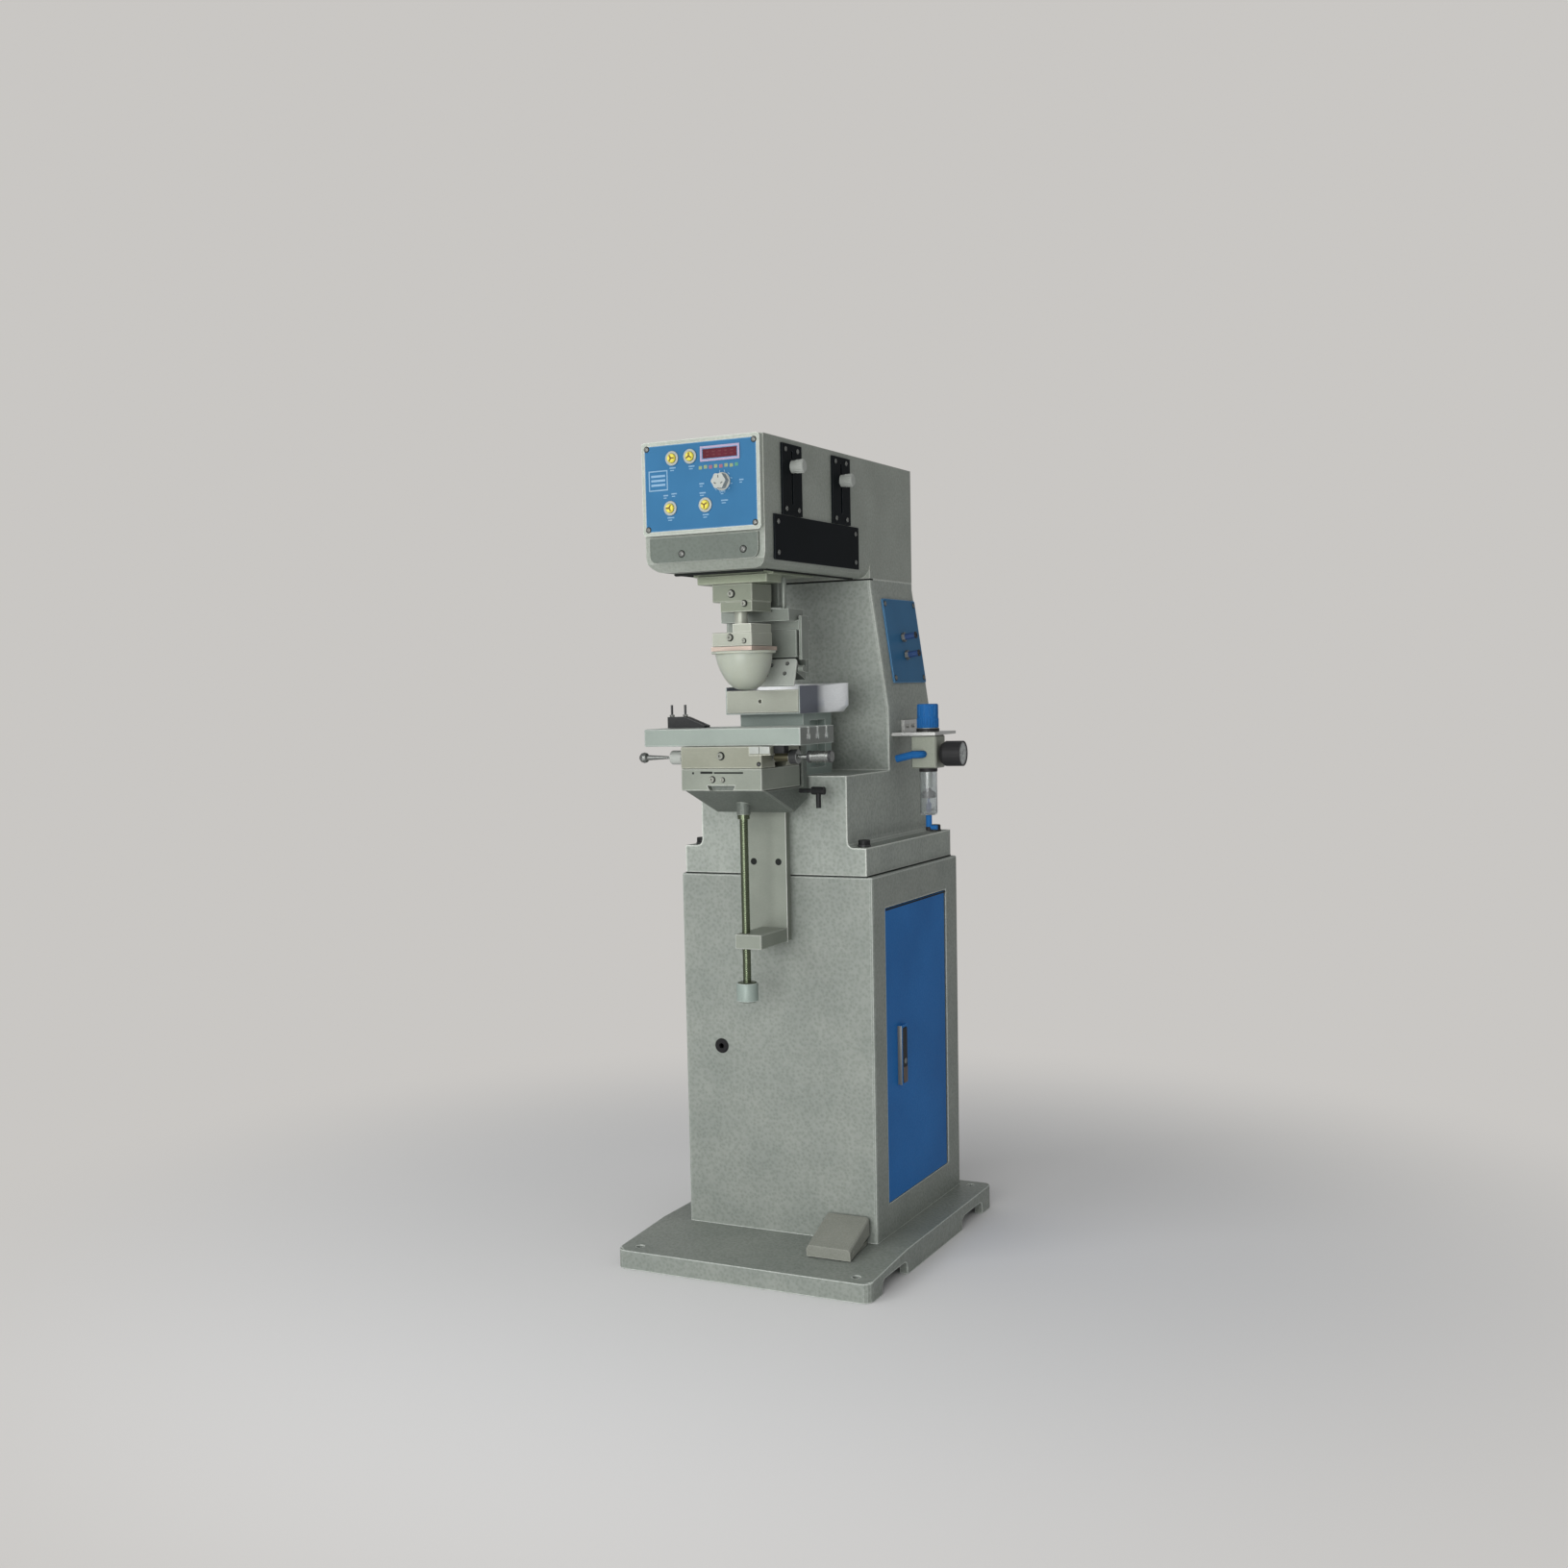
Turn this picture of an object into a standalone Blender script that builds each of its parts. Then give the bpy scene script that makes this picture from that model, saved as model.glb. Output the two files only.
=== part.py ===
# Pad printing machine. A carriage in the head takes the pad from the etched plate to the work table.
# Metres, with X to the machine's right, Y to its back and Z up.
import math

import bmesh
import bpy
from mathutils import Matrix, Vector

# Shared clearances
GAP = 0.0003
RUNNING_GAP = 0.0004
OVERRUN = 0.010
BITE = 0.001

# Base plate, a hollow casting whose deck slopes down to the front
BASE_WIDTH = 0.391
BASE_DEPTH = 0.510
BASE_HEIGHT = 0.036
BASE_FRONT_HEIGHT = 0.027
BASE_WALL = 0.012
BASE_SKIN = 0.005
BASE_CORNER = 0.014
BASE_EDGE = 0.006
ARCH_HEIGHT = 0.020
ARCH_LENGTH = 0.094
ARCH_INSET = 0.047
ARCH_CORNER = 0.010
BOLT_HOLE_RADIUS = 0.006
BOLT_INSET_X = 0.0275
BOLT_INSET_Y = 0.022

# Cabinet, with the planes that the whole frame shares
FRAME_FRONT_Y = -0.112
FRAME_BACK_Y = 0.218
CABINET_WIDTH = 0.300
CABINET_BACK_Y = 0.236
CABINET_TOP = 0.558
SHEET = 0.003
CABINET_TOP_SHEET = 0.006
CABINET_CORNER = 0.004
SEAM_EDGE = 0.0015
GROMMET_X = -0.090
GROMMET_Z = 0.305
GROMMET_RADIUS = 0.011
GROMMET_BORE = 0.004
GROMMET_LIP = 0.002
GROMMET_STEP = 0.0025

# Door, its frame and its latch
DOOR_FRONT_Y = -0.066
DOOR_BACK_Y = 0.183
DOOR_BOTTOM = 0.083
DOOR_TOP = 0.5105
DOOR_DEPTH = 0.016
DOOR_GAP = 0.0015
DOOR_SHEET = 0.002
DOOR_LIP = 0.004
DOOR_FRAME_DEPTH = 0.022
PIVOT_RADIUS = 0.003
PIVOT_LENGTH = 0.0045
LATCH_Y = -0.0125
LATCH_Z = 0.291
LATCH_WIDTH = 0.024
LATCH_LENGTH = 0.088
LATCH_RIM = 0.0035
LATCH_RIM_HEIGHT = 0.0065
LATCH_HEIGHT = 0.007
LATCH_FLOOR = 0.0005
LATCH_THICKNESS = 0.0055
LATCH_PIN_RADIUS = 0.0012
LATCH_PIN_REACH = 0.0018
LATCH_ROUND = 0.0025

# Valve manifold in the cabinet
VALVE_BANK_Y = 0.060
VALVE_BANK_Z = 0.300
VALVE_BANK_LENGTH = 0.120
VALVE_BANK_HEIGHT = 0.050
VALVE_BANK_DEPTH = 0.024
VALVE_COUNT = 4
VALVE_WIDTH = 0.022
VALVE_HEIGHT = 0.036
VALVE_DEPTH = 0.034

# Foot pedal, in a frame of its own on the sloping deck
PEDAL_X = 0.108
PEDAL_Y = -0.152
PEDAL_WIDTH = 0.066
PEDAL_LENGTH = 0.076
PEDAL_INSET = 0.0045
PEDAL_ROUND = 0.005
PEDAL_PLATE = 0.006
PEDAL_WALL = 0.003
PEDAL_FRONT_LOW = 0.002
PEDAL_FRONT_HIGH = 0.018
PEDAL_REAR_LOW = 0.0165
PEDAL_REAR_HIGH = 0.042
PEDAL_PIN_Y = -0.027
PEDAL_PIN_Z = 0.0115
PEDAL_PIN_RADIUS = 0.002
PEDAL_RIB = 0.003
PEDAL_RIB_INSET = 0.007
SWITCH_BOX_WIDTH = 0.044
SWITCH_BOX_LENGTH = 0.030
SWITCH_BOX_TOP = 0.020

# Column casting: flange, neck with its platform, and the tapering column
FLANGE_WIDTH = 0.284
FLANGE_BACK_Y = 0.229
FLANGE_TOP = 0.599
NECK_WIDTH = 0.228
NECK_FILLET = 0.009
CASTING_WALL = 0.014
PLATFORM_Z = 0.700
COLUMN_FRONT_Y = 0.050
COLUMN_EDGE = 0.004
TAPER_START = 0.790
TAPER_END = 0.970
COLUMN_TOP = 0.980

# Head housing
HEAD_WIDTH = 0.176
HEAD_FRONT_Y = -0.304
HEAD_TOP = 1.150
HEAD_WALL = 0.004
HEAD_FLOOR = 0.020
HEAD_ROUND = 0.020
HEAD_CHAMFER = 0.0117
CARRIAGE_SLOT_WIDTH = 0.131
CARRIAGE_SLOT_FRONT_Y = -0.262
CARRIAGE_SLOT_BACK_Y = 0.035

# Front cover with the control panel
FRONT_COVER_FRONT_Y = -0.312
COVER_WIDTH = 0.173
COVER_BOTTOM = 1.028
COVER_CORNER = 0.004
PANEL_WIDTH = 0.163
PANEL_BOTTOM = 1.0335
PANEL_TOP = 1.1445
PANEL_SEAT = 0.0015
RING_RADIUS = 0.008
RING_HEIGHT = 0.0012
BUTTON_RADIUS = 0.0059
BUTTON_HEIGHT = 0.0045
BUTTON_TRAVEL = 0.002
BUTTON_EDGE = 0.0012
BUTTON_PLACES = ((-0.0405, 1.1270), (-0.0138, 1.1274), (-0.0446, 1.0627), (0.0072, 1.0635))
SELECTOR_X = 0.0324
SELECTOR_Z = 1.0917
SELECTOR_RADIUS = 0.0096
SELECTOR_LOBE = 0.0008
SELECTOR_LOBES = 6
SELECTOR_HEIGHT = 0.012
SELECTOR_STEM_RADIUS = 0.003
DISPLAY_X = 0.030
DISPLAY_Z = 1.1287
DISPLAY_WIDTH = 0.056
DISPLAY_HEIGHT = 0.0185
DISPLAY_BORDER = 0.003
WINDOW_THICKNESS = 0.0008

# Nose cover below the front cover
NOSE_WIDTH = 0.160
NOSE_FRONT_Y = -0.308
NOSE_BOTTOM = 0.992
NOSE_TOP = 1.0255
NOSE_CORNER = 0.010

# Stroke setting strips and knobs on the head's right side
STRIP_THICKNESS = 0.0025
STRIP_WIDTH = 0.062
STRIP_BOTTOM = 1.0505
STRIP_TOP = 1.143
STRIP_SLOT_BOTTOM = 1.065
STRIP_SLOT_TOP = 1.1345
STRIP_SLOT_WIDTH = 0.006
STROKE_KNOBS = (("front", -0.222, 1.114), ("rear", -0.057, 1.1105))
STROKE_KNOB_RADIUS = 0.0085
STROKE_KNOB_LENGTH = 0.0175
STROKE_KNOB_EDGE = 0.0012
STROKE_STUD_RADIUS = 0.0025
STROKE_NUT_RADIUS = 0.006
STROKE_NUT_THICKNESS = 0.004

# Side guard along the head's lower right edge
GUARD_THICKNESS = 0.0022
GUARD_FRONT_Y = -0.279
GUARD_BACK_Y = 0.0025
GUARD_BOTTOM = 0.9905
GUARD_TOP = 1.0495

# Valve panel on the tapering right side, with its two fittings
VALVE_PANEL_FRONT_Y = 0.083
VALVE_PANEL_BACK_Y = 0.214
VALVE_PANEL_Z = 0.8895
VALVE_PANEL_HEIGHT = 0.126
VALVE_PANEL_THICKNESS = 0.0025
VALVE_PANEL_CORNER = 0.003
FITTINGS = (("upper", 0.141, 0.0055), ("lower", 0.144, -0.0215))
FITTING_HEX = 0.0055
FITTING_HEX_LENGTH = 0.006
FITTING_SLEEVE = 0.0047
FITTING_LENGTH = 0.022
FITTING_BORE = 0.0025
FITTING_BORE_DEPTH = 0.010

# Air preparation unit
REGULATOR_X = 0.160
REGULATOR_Y = 0.088
REGULATOR_SIZE = 0.039
REGULATOR_BOTTOM = 0.7015
REGULATOR_TOP = 0.7495
REGULATOR_EDGE = 0.002
BRACKET_THICKNESS = 0.0045
BRACKET_FRONT_Y = 0.060
BRACKET_BACK_Y = 0.150
BRACKET_REACH = 0.021
BRACKET_FLANGE_FRONT_Y = 0.099
BRACKET_FLANGE_BACK_Y = 0.151
BRACKET_FLANGE_HEIGHT = 0.022
BRACKET_BOLT_RADIUS = 0.003
BRACKET_BOLT_Y = (0.114, 0.137)
COLLAR_RADIUS = 0.0165
COLLAR_HEIGHT = 0.0055
COLLAR_NECK_RADIUS = 0.0115
SPIGOT_RADIUS = 0.008
SPIGOT_HEIGHT = 0.010
REGULATOR_KNOB_RADIUS = 0.0155
REGULATOR_KNOB_HEIGHT = 0.035
REGULATOR_KNOB_EDGE = 0.0015
REGULATOR_KNOB_FLUTES = 12
REGULATOR_FLUTE = 0.0012
GAUGE_Z = 0.7223
GAUGE_END_X = 0.2145
GAUGE_RADIUS = 0.0185
GAUGE_STEM_RADIUS = 0.0055
GAUGE_NECK_RADIUS = 0.0145
GAUGE_CASE_LENGTH = 0.026
GAUGE_NECK_LENGTH = 0.006
GAUGE_BEZEL = 0.0018
GAUGE_DIAL_DEPTH = 0.004
NEEDLE_LENGTH = 0.0125
NEEDLE_TAIL = 0.004
NEEDLE_WIDTH = 0.0012
NEEDLE_HUB = 0.0022
NEEDLE_THICKNESS = 0.0008
NEEDLE_PIN_RADIUS = 0.0008
NEEDLE_REST = math.radians(45)
BOWL_RADIUS = 0.0128
BOWL_BOTTOM = 0.632
BOWL_SHOULDER = 0.003
DRAIN_RADIUS = 0.0045
DRAIN_BOTTOM = 0.609
DRAIN_TAP_RADIUS = 0.0035
DRAIN_TAP_LENGTH = 0.013
ELBOW_RADIUS = 0.0055
ELBOW_REACH = 0.013
ELBOW_END_X = 0.123
ELBOW_DROP = 0.006

# Dovetail guide and the nut of the lift screw
GUIDE_NECK_WIDTH = 0.044
GUIDE_HEAD_WIDTH = 0.062
GUIDE_STRIP_WIDTH = 0.052
GUIDE_STRIP_DEPTH = 0.012
GUIDE_HEAD_DEPTH = 0.012
GUIDE_BOTTOM = 0.4665
GUIDE_TOP = 0.745
NUT_BRACKET_LEFT_X = -0.010
NUT_BRACKET_RIGHT_X = 0.030
NUT_BRACKET_FRONT_Y = -0.221
NUT_BRACKET_HEIGHT = 0.0205
NUT_BRACKET_ROUND = 0.008

# Knee and lift screw
KNEE_WIDTH = 0.120
KNEE_FRONT_Y = -0.265
KNEE_TOP = 0.688
KNEE_DEPTH = 0.036
KNEE_LIP_Y = -0.225
KNEE_LIP_DEPTH = 0.015
KNEE_HEEL_Y = -0.168
KNEE_BACK_DEPTH = 0.020
KNEE_BOSS_RADIUS = 0.0095
KNEE_WALL = 0.0155
KNEE_WALL_HEIGHT = 0.057
KNEE_EDGE = 0.0015
LIFT_SCREW_Y = -0.206
LIFT_SCREW_RADIUS = 0.0056
LIFT_SCREW_BOTTOM = 0.419
LIFT_COLLAR_RADIUS = 0.0085
LIFT_COLLAR_HEIGHT = 0.006
LIFT_KNOB_RADIUS = 0.0135
LIFT_KNOB_HEIGHT = 0.028
LIFT_KNOB_EDGE = 0.0015

# Cross slides and work table
SLIDE_WIDTH = 0.121
SLIDE_FRONT_Y = -0.272
SLIDE_BACK_Y = -0.150
SLIDE_HEIGHT = 0.0295
SLIDE_EDGE = 0.001
RAIL_END_INSET = 0.022
RAIL_DOVETAIL_NECK = 0.034
RAIL_DOVETAIL_HEAD = 0.042
RAIL_DOVETAIL_HEIGHT = 0.007
TABLE_LEFT_X = -0.120
TABLE_RIGHT_X = 0.115
TABLE_FRONT_Y = -0.266
TABLE_BACK_Y = -0.155
TABLE_THICKNESS = 0.024
TABLE_EDGE = 0.001
T_SLOT_PITCH = 0.0295
T_SLOT_NECK = 0.006
T_SLOT_NECK_DEPTH = 0.010
T_SLOT_HEAD = 0.011
T_SLOT_HEAD_DEPTH = 0.007
TABLE_SCREW_Y = -0.235
TABLE_SCREW_HEIGHT = 0.044
TABLE_SCREW_RADIUS = 0.003
TABLE_SCREW_BORE = 0.0035
TABLE_BALL_X = -0.1375
TABLE_BALL_RADIUS = 0.0075
TABLE_COLLAR_RADIUS = 0.0095
TABLE_COLLAR_LENGTH = 0.032
TABLE_DISC_LEFT_X = 0.0865
TABLE_DISC_RIGHT_X = 0.098
TABLE_KNOB_LEFT_X = 0.112
TABLE_KNOB_RIGHT_X = 0.147
TABLE_KNOB_RADIUS = 0.0075
STOP_BLOCK_LEFT_X = 0.043
STOP_BLOCK_RIGHT_X = 0.0745
STOP_BLOCK_FRONT_Y = -0.2735
STOP_BLOCK_BACK_Y = -0.260
STOP_BLOCK_BOTTOM = 0.7355
STOP_BLOCK_TOP = 0.7470

# Clamp lever on the knee's right side
CLAMP_Y = -0.150
CLAMP_DEPTH = 0.0065
CLAMP_STUD_RADIUS = 0.003
CLAMP_STUD_LENGTH = 0.0185
CLAMP_STUD_SEAT = 0.008
CLAMP_HUB_RADIUS = 0.0055
CLAMP_HUB_LENGTH = 0.0186
CLAMP_HANDLE_RADIUS = 0.0036
CLAMP_HANDLE_LENGTH = 0.024

# Toe clamp on the table's left
TOE_Y = -0.2105
TOE_BODY_LEFT_X = -0.108
TOE_BODY_RIGHT_X = -0.082
TOE_TIP_X = -0.051
TOE_WIDTH = 0.018
TOE_BODY_HEIGHT = 0.0155
TOE_TIP_HEIGHT = 0.003
TOE_PIN_RADIUS = 0.0017
TOE_PIN_HEIGHT = 0.032
TOE_PIN_SPACING = 0.021
TOE_NUT_WIDTH = 0.010
TOE_NUT_LENGTH = 0.020
TOE_NUT_HEIGHT = 0.005
TOE_NECK_WIDTH = 0.005

# Carriage and its rails
CARRIAGE_WIDTH = 0.105
CARRIAGE_FRONT_Y = -0.227
CARRIAGE_BACK_Y = -0.180
CARRIAGE_BOTTOM = 0.966
CARRIAGE_THICKNESS = 0.0115
CARRIAGE_EDGE = 0.001
BLOCK_WIDTH = 0.120
BLOCK_FRONT_Y = -0.222
BLOCK_BACK_Y = -0.092
BLOCK_TOP = 1.040
CARRIAGE_TRAVEL = 0.105
RAIL_RADIUS = 0.006
RAIL_X = 0.045
RAIL_Z = 1.020
PAD_CYLINDER_RADIUS = 0.020
PAD_CYLINDER_TOP = 1.120
STROKE_CYLINDER_RADIUS = 0.016
STROKE_CYLINDER_FRONT_Y = 0.030
STROKE_BORE_RADIUS = 0.0085
STROKE_ROD_RADIUS = 0.004
STROKE_ROD_ENGAGEMENT = 0.030

# Pad and its ram
PAD_Y = -0.200
RAM_BLOCK_WIDTH = 0.060
RAM_BLOCK_FRONT_Y = -0.2265
RAM_BLOCK_BACK_Y = -0.165
RAM_BLOCK_HEIGHT = 0.0243
RAM_STEP_LEFT_X = -0.0184
RAM_STEP_RIGHT_X = 0.029
RAM_STEP_HEIGHT = 0.0133
PAD_ROD_RADIUS = 0.009
PAD_ROD_TOP = 1.062
PAD_HOLDER_WIDTH = 0.060
PAD_HOLDER_FRONT_Y = -0.2305
PAD_HOLDER_BACK_Y = -0.166
PAD_HOLDER_BOTTOM = 0.8816
PAD_HOLDER_TOP = 0.9005
PAD_STEP_LEFT_X = 0.0015
PAD_STEP_RIGHT_X = 0.029
PAD_STEP_TOP = 0.9117
BACKING_WIDTH = 0.061
BACKING_FRONT_Y = -0.2325
BACKING_BACK_Y = -0.152
BACKING_THICKNESS = 0.0055
PAD_RIM_RADIUS = 0.044
PAD_RIM_THICKNESS = 0.0035
PAD_SHOULDER_RADIUS = 0.039
PAD_DEPTH = 0.0533
PAD_APEX_RADIUS = 0.006

# Doctor unit. Each block bites into the next one, and no two of them share a plane.
BLADE_HANGER_WIDTH = 0.054
BLADE_HANGER_FRONT_Y = -0.1355
BLADE_HANGER_BACK_Y = -0.1085
BLADE_HANGER_BOTTOM = 0.9368
BLADE_ROD_X = 0.034
BLADE_ROD_Y = -0.134
BLADE_ROD_RADIUS = 0.0036
BLADE_ROD_TOP = 0.996
BLADE_TOP_WIDTH = 0.104
BLADE_TOP_FRONT_Y = -0.158
BLADE_TOP_BACK_Y = -0.110
BLADE_TOP_BOTTOM = 0.916
BLADE_TOP_Z = 0.9325
BLADE_BAR_WIDTH = 0.110
BLADE_BAR_FRONT_Y = -0.1312
BLADE_BAR_BACK_Y = -0.094
BLADE_BAR_BOTTOM = 0.9037
BLADE_BAR_TOP = 0.9172
BLADE_BODY_WIDTH = 0.104
BLADE_BODY_FRONT_Y = -0.134
BLADE_BODY_BACK_Y = -0.092
BLADE_BODY_BOTTOM = 0.866
BLADE_BODY_TOP = 0.9049
BLADE_BACK_WIDTH = 0.1015
BLADE_BACK_FRONT_Y = -0.100
BLADE_BACK_Y = -0.091
BLADE_BACK_BOTTOM = 0.845
BLADE_BACK_TOP = 0.900
BLADE_CHEEK_INNER_X = 0.054
BLADE_CHEEK_OUTER_X = 0.058
BLADE_CHEEK_FRONT_Y = -0.1295
BLADE_CHEEK_BACK_Y = -0.106
BLADE_CHEEK_BOTTOM = 0.8625
BLADE_CHEEK_TOP = 0.923
BLADE_EDGE = 0.001
BLADE_DROP = 0.0044
SPATULA_WIDTH = 0.100
SPATULA_LENGTH = 0.039
SPATULA_THICKNESS = 0.003
SPATULA_Y = -0.1335
SPATULA_TILT = math.radians(19.4)
SPATULA_CORNER = 0.004
SPATULA_BAR_LOW = 0.002
SPATULA_BAR_HIGH = 0.014
SPATULA_BAR_REACH = 0.034
SPATULA_KNOB_RADIUS = 0.005
SPATULA_KNOB_LENGTH = 0.006
SPATULA_SHAFT_RADIUS = 0.0025
SPATULA_SHAFT_REACH = 0.002

# Plate station
RISER_WIDTH = 0.098
RISER_FRONT_Y = -0.110
RISER_BACK_Y = -0.012
RISER_RECESS = 0.012
RISER_POST = 0.022
RISER_CAP = 0.010
HOLDER_WIDTH = 0.111
HOLDER_FRONT_Y = -0.140
HOLDER_BACK_Y = -0.030
HOLDER_EDGE = 0.001
HOLDER_HOLE_X = -0.003
HOLDER_HOLE_Z = 0.806
HOLDER_HOLE_RADIUS = 0.003
HOLDER_HOLE_DEPTH = 0.010
PLATE_SIZE = 0.100
PLATE_THICKNESS = 0.010
PLATE_FRONT_Y = -0.136
PLATE_TOP = 0.8215
TRAY_SHEET = 0.0015
TRAY_BOTTOM = 0.788
TRAY_TOP = 0.8265
TRAY_FRONT_Y = -0.1426
TRAY_FLARE_Y = -0.058
TRAY_WIDE_Y = -0.020
TRAY_WIDE_WIDTH = 0.158
TRAY_BACK_Y = -0.008
TRAY_CORNER = 0.011
TRAY_SLOPE = 0.008
TRAY_SLOPE_HEIGHT = 0.009

# Facets
ROUND_SIDES = 24
SMALL_SIDES = 12
LOBE_POINTS = 36
ARC_STEPS = 6
SMOOTH_ANGLE = math.radians(35)

# Levels and planes that follow from the sizes above
BASE_FRONT_Y = -BASE_DEPTH / 2
BASE_CAVITY_TOP = BASE_FRONT_HEIGHT - BASE_SKIN
DECK_SLOPE = math.atan2(BASE_HEIGHT - BASE_FRONT_HEIGHT, FRAME_FRONT_Y - BASE_FRONT_Y)
SIDE_X = CABINET_WIDTH / 2
HINGE_X = SIDE_X - DOOR_DEPTH / 2
HINGE_Y = DOOR_BACK_Y - DOOR_GAP - DOOR_DEPTH / 2
FLANGE_BOTTOM = CABINET_TOP + GAP
HEAD_BOTTOM = COLUMN_TOP + GAP
HEAD_SIDE_X = HEAD_WIDTH / 2
HEAD_CAVITY_BOTTOM = HEAD_BOTTOM + HEAD_FLOOR
COVER_BACK_Y = HEAD_FRONT_Y - GAP
PANEL_BACK_Y = FRONT_COVER_FRONT_Y + PANEL_SEAT - GAP
SELECTOR_FRONT_Y = FRONT_COVER_FRONT_Y - GAP - SELECTOR_HEIGHT
STRIP_X = HEAD_SIDE_X + GAP
TAPER_TILT = math.atan2((NECK_WIDTH - HEAD_WIDTH) / 2, TAPER_END - TAPER_START)
BRACKET_BOTTOM = REGULATOR_TOP + GAP
BRACKET_TOP = BRACKET_BOTTOM + BRACKET_THICKNESS
COLLAR_BOTTOM = BRACKET_TOP + GAP
COLLAR_TOP = COLLAR_BOTTOM + COLLAR_HEIGHT
GUIDE_BACK_Y = FRAME_FRONT_Y - GAP
GUIDE_NECK_Y = GUIDE_BACK_Y - GUIDE_STRIP_DEPTH
GUIDE_FRONT_Y = GUIDE_NECK_Y - GUIDE_HEAD_DEPTH
KNEE_BACK_Y = GUIDE_NECK_Y - GAP
KNEE_BOTTOM = KNEE_TOP - KNEE_DEPTH
KNEE_LIP_Z = KNEE_TOP - KNEE_LIP_DEPTH
KNEE_BACK_Z = KNEE_TOP - KNEE_BACK_DEPTH
KNEE_WALL_TOP = KNEE_TOP + KNEE_WALL_HEIGHT
CLAMP_Z = KNEE_TOP - CLAMP_DEPTH
TABLE_SCREW_Z = KNEE_TOP + TABLE_SCREW_HEIGHT
SLIDE_LOWER_BOTTOM = KNEE_TOP + GAP
SLIDE_UPPER_BOTTOM = SLIDE_LOWER_BOTTOM + SLIDE_HEIGHT + GAP
SLIDE_UPPER_TOP = SLIDE_UPPER_BOTTOM + SLIDE_HEIGHT
SLIDE_MIDDLE_Y = (SLIDE_FRONT_Y + SLIDE_BACK_Y) / 2
TABLE_BOTTOM = SLIDE_UPPER_TOP + GAP
TABLE_TOP = TABLE_BOTTOM + TABLE_THICKNESS
TABLE_MIDDLE_Y = (TABLE_FRONT_Y + TABLE_BACK_Y) / 2
CARRIAGE_TOP = CARRIAGE_BOTTOM + CARRIAGE_THICKNESS
RAM_BLOCK_TOP = CARRIAGE_BOTTOM - GAP
RAM_BLOCK_BOTTOM = RAM_BLOCK_TOP - RAM_BLOCK_HEIGHT
PAD_BACKING_TOP = PAD_HOLDER_BOTTOM - GAP
PAD_TOP = PAD_BACKING_TOP - BACKING_THICKNESS - GAP
HOLDER_BOTTOM = TRAY_BOTTOM + TRAY_SHEET + GAP
BLADE_CLEAR_Z = PLATE_TOP + BLADE_DROP + GAP
SPATULA_SPAN = SPATULA_LENGTH * math.cos(SPATULA_TILT) + SPATULA_THICKNESS * math.sin(SPATULA_TILT)
SPATULA_Z = BLADE_CLEAR_Z + SPATULA_SPAN / 2

for old in list(bpy.data.objects):
    bpy.data.objects.remove(old, do_unlink=True)
MACHINE = bpy.data.collections.new("pad_printing_machine")
CUTTERS = bpy.data.collections.new("cutters_and_additions")
bpy.context.scene.collection.children.link(MACHINE)
bpy.context.scene.collection.children.link(CUTTERS)


# Placing and combining

def pivot(name, place, parent=None, turn=(0, 0, 0)):
    """An empty on a joint's axis; its own children are placed in the machine's coordinates."""
    empty = bpy.data.objects.new(name, None)
    empty.location = place
    empty.rotation_euler = turn
    MACHINE.objects.link(empty)
    if parent:
        hang(empty, parent)
    return empty


def hang(obj, parent):
    """Parents an object; its own location stays a place in the machine's frame."""
    obj.parent = parent
    obj.matrix_parent_inverse = Matrix() if parent == ROOT else parent.matrix_basis.inverted()


def ride(joint, *objects):
    for obj in objects:
        hang(obj, joint)


def put(name, mesh, place):
    """Turns a bmesh into an object of the machine at a place."""
    data = bpy.data.meshes.new(name)
    mesh.to_mesh(data)
    mesh.free()
    obj = bpy.data.objects.new(name, data)
    obj.location = place
    MACHINE.objects.link(obj)
    obj.parent = ROOT
    return obj


def as_helper(obj, target):
    MACHINE.objects.unlink(obj)
    CUTTERS.objects.link(obj)
    obj.hide_render = True
    obj.display_type = "WIRE"
    hang(obj, target)


def combine(target, tools, operation):
    for tool in tools:
        as_helper(tool, target)
        modifier = target.modifiers.new(tool.name, "BOOLEAN")
        modifier.operation = operation
        modifier.object = tool
    return target


def add(target, *tools):
    return combine(target, tools, "UNION")


def cut(target, *tools):
    return combine(target, tools, "DIFFERENCE")


def finish(obj, colour, roughness, metallic=0.0):
    """Gives a sub-part its own material and smooth round faces."""
    material = bpy.data.materials.new(obj.name)
    material.use_nodes = True
    shader = material.node_tree.nodes["Principled BSDF"]
    shader.inputs["Base Color"].default_value = (*colour, 1)
    shader.inputs["Roughness"].default_value = roughness
    shader.inputs["Metallic"].default_value = metallic
    material.diffuse_color = (*colour, 1)
    obj.data.materials.clear()
    obj.data.materials.append(material)
    obj.data.shade_smooth()
    obj.data.set_sharp_from_angle(angle=SMOOTH_ANGLE)
    return obj


def applied(obj):
    """Bakes an object's modifiers into its mesh."""
    bpy.context.view_layer.update()
    evaluated = obj.evaluated_get(bpy.context.evaluated_depsgraph_get())
    baked = bpy.data.meshes.new_from_object(evaluated)
    obj.modifiers.clear()
    obj.data = baked
    return obj


# Shapes

def centred(size, middle=0.0):
    return (middle - size / 2, middle + size / 2)


def block(name, x, y, z):
    low = Vector((x[0], y[0], z[0]))
    high = Vector((x[1], y[1], z[1]))
    mesh = bmesh.new()
    bmesh.ops.create_cube(mesh, size=1, matrix=Matrix.Diagonal((high - low).to_4d()))
    return put(name, mesh, (low + high) / 2)


TOWARD = {"X": Vector((1, 0, 0)), "Y": Vector((0, 1, 0)), "Z": Vector((0, 0, 1))}


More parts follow.
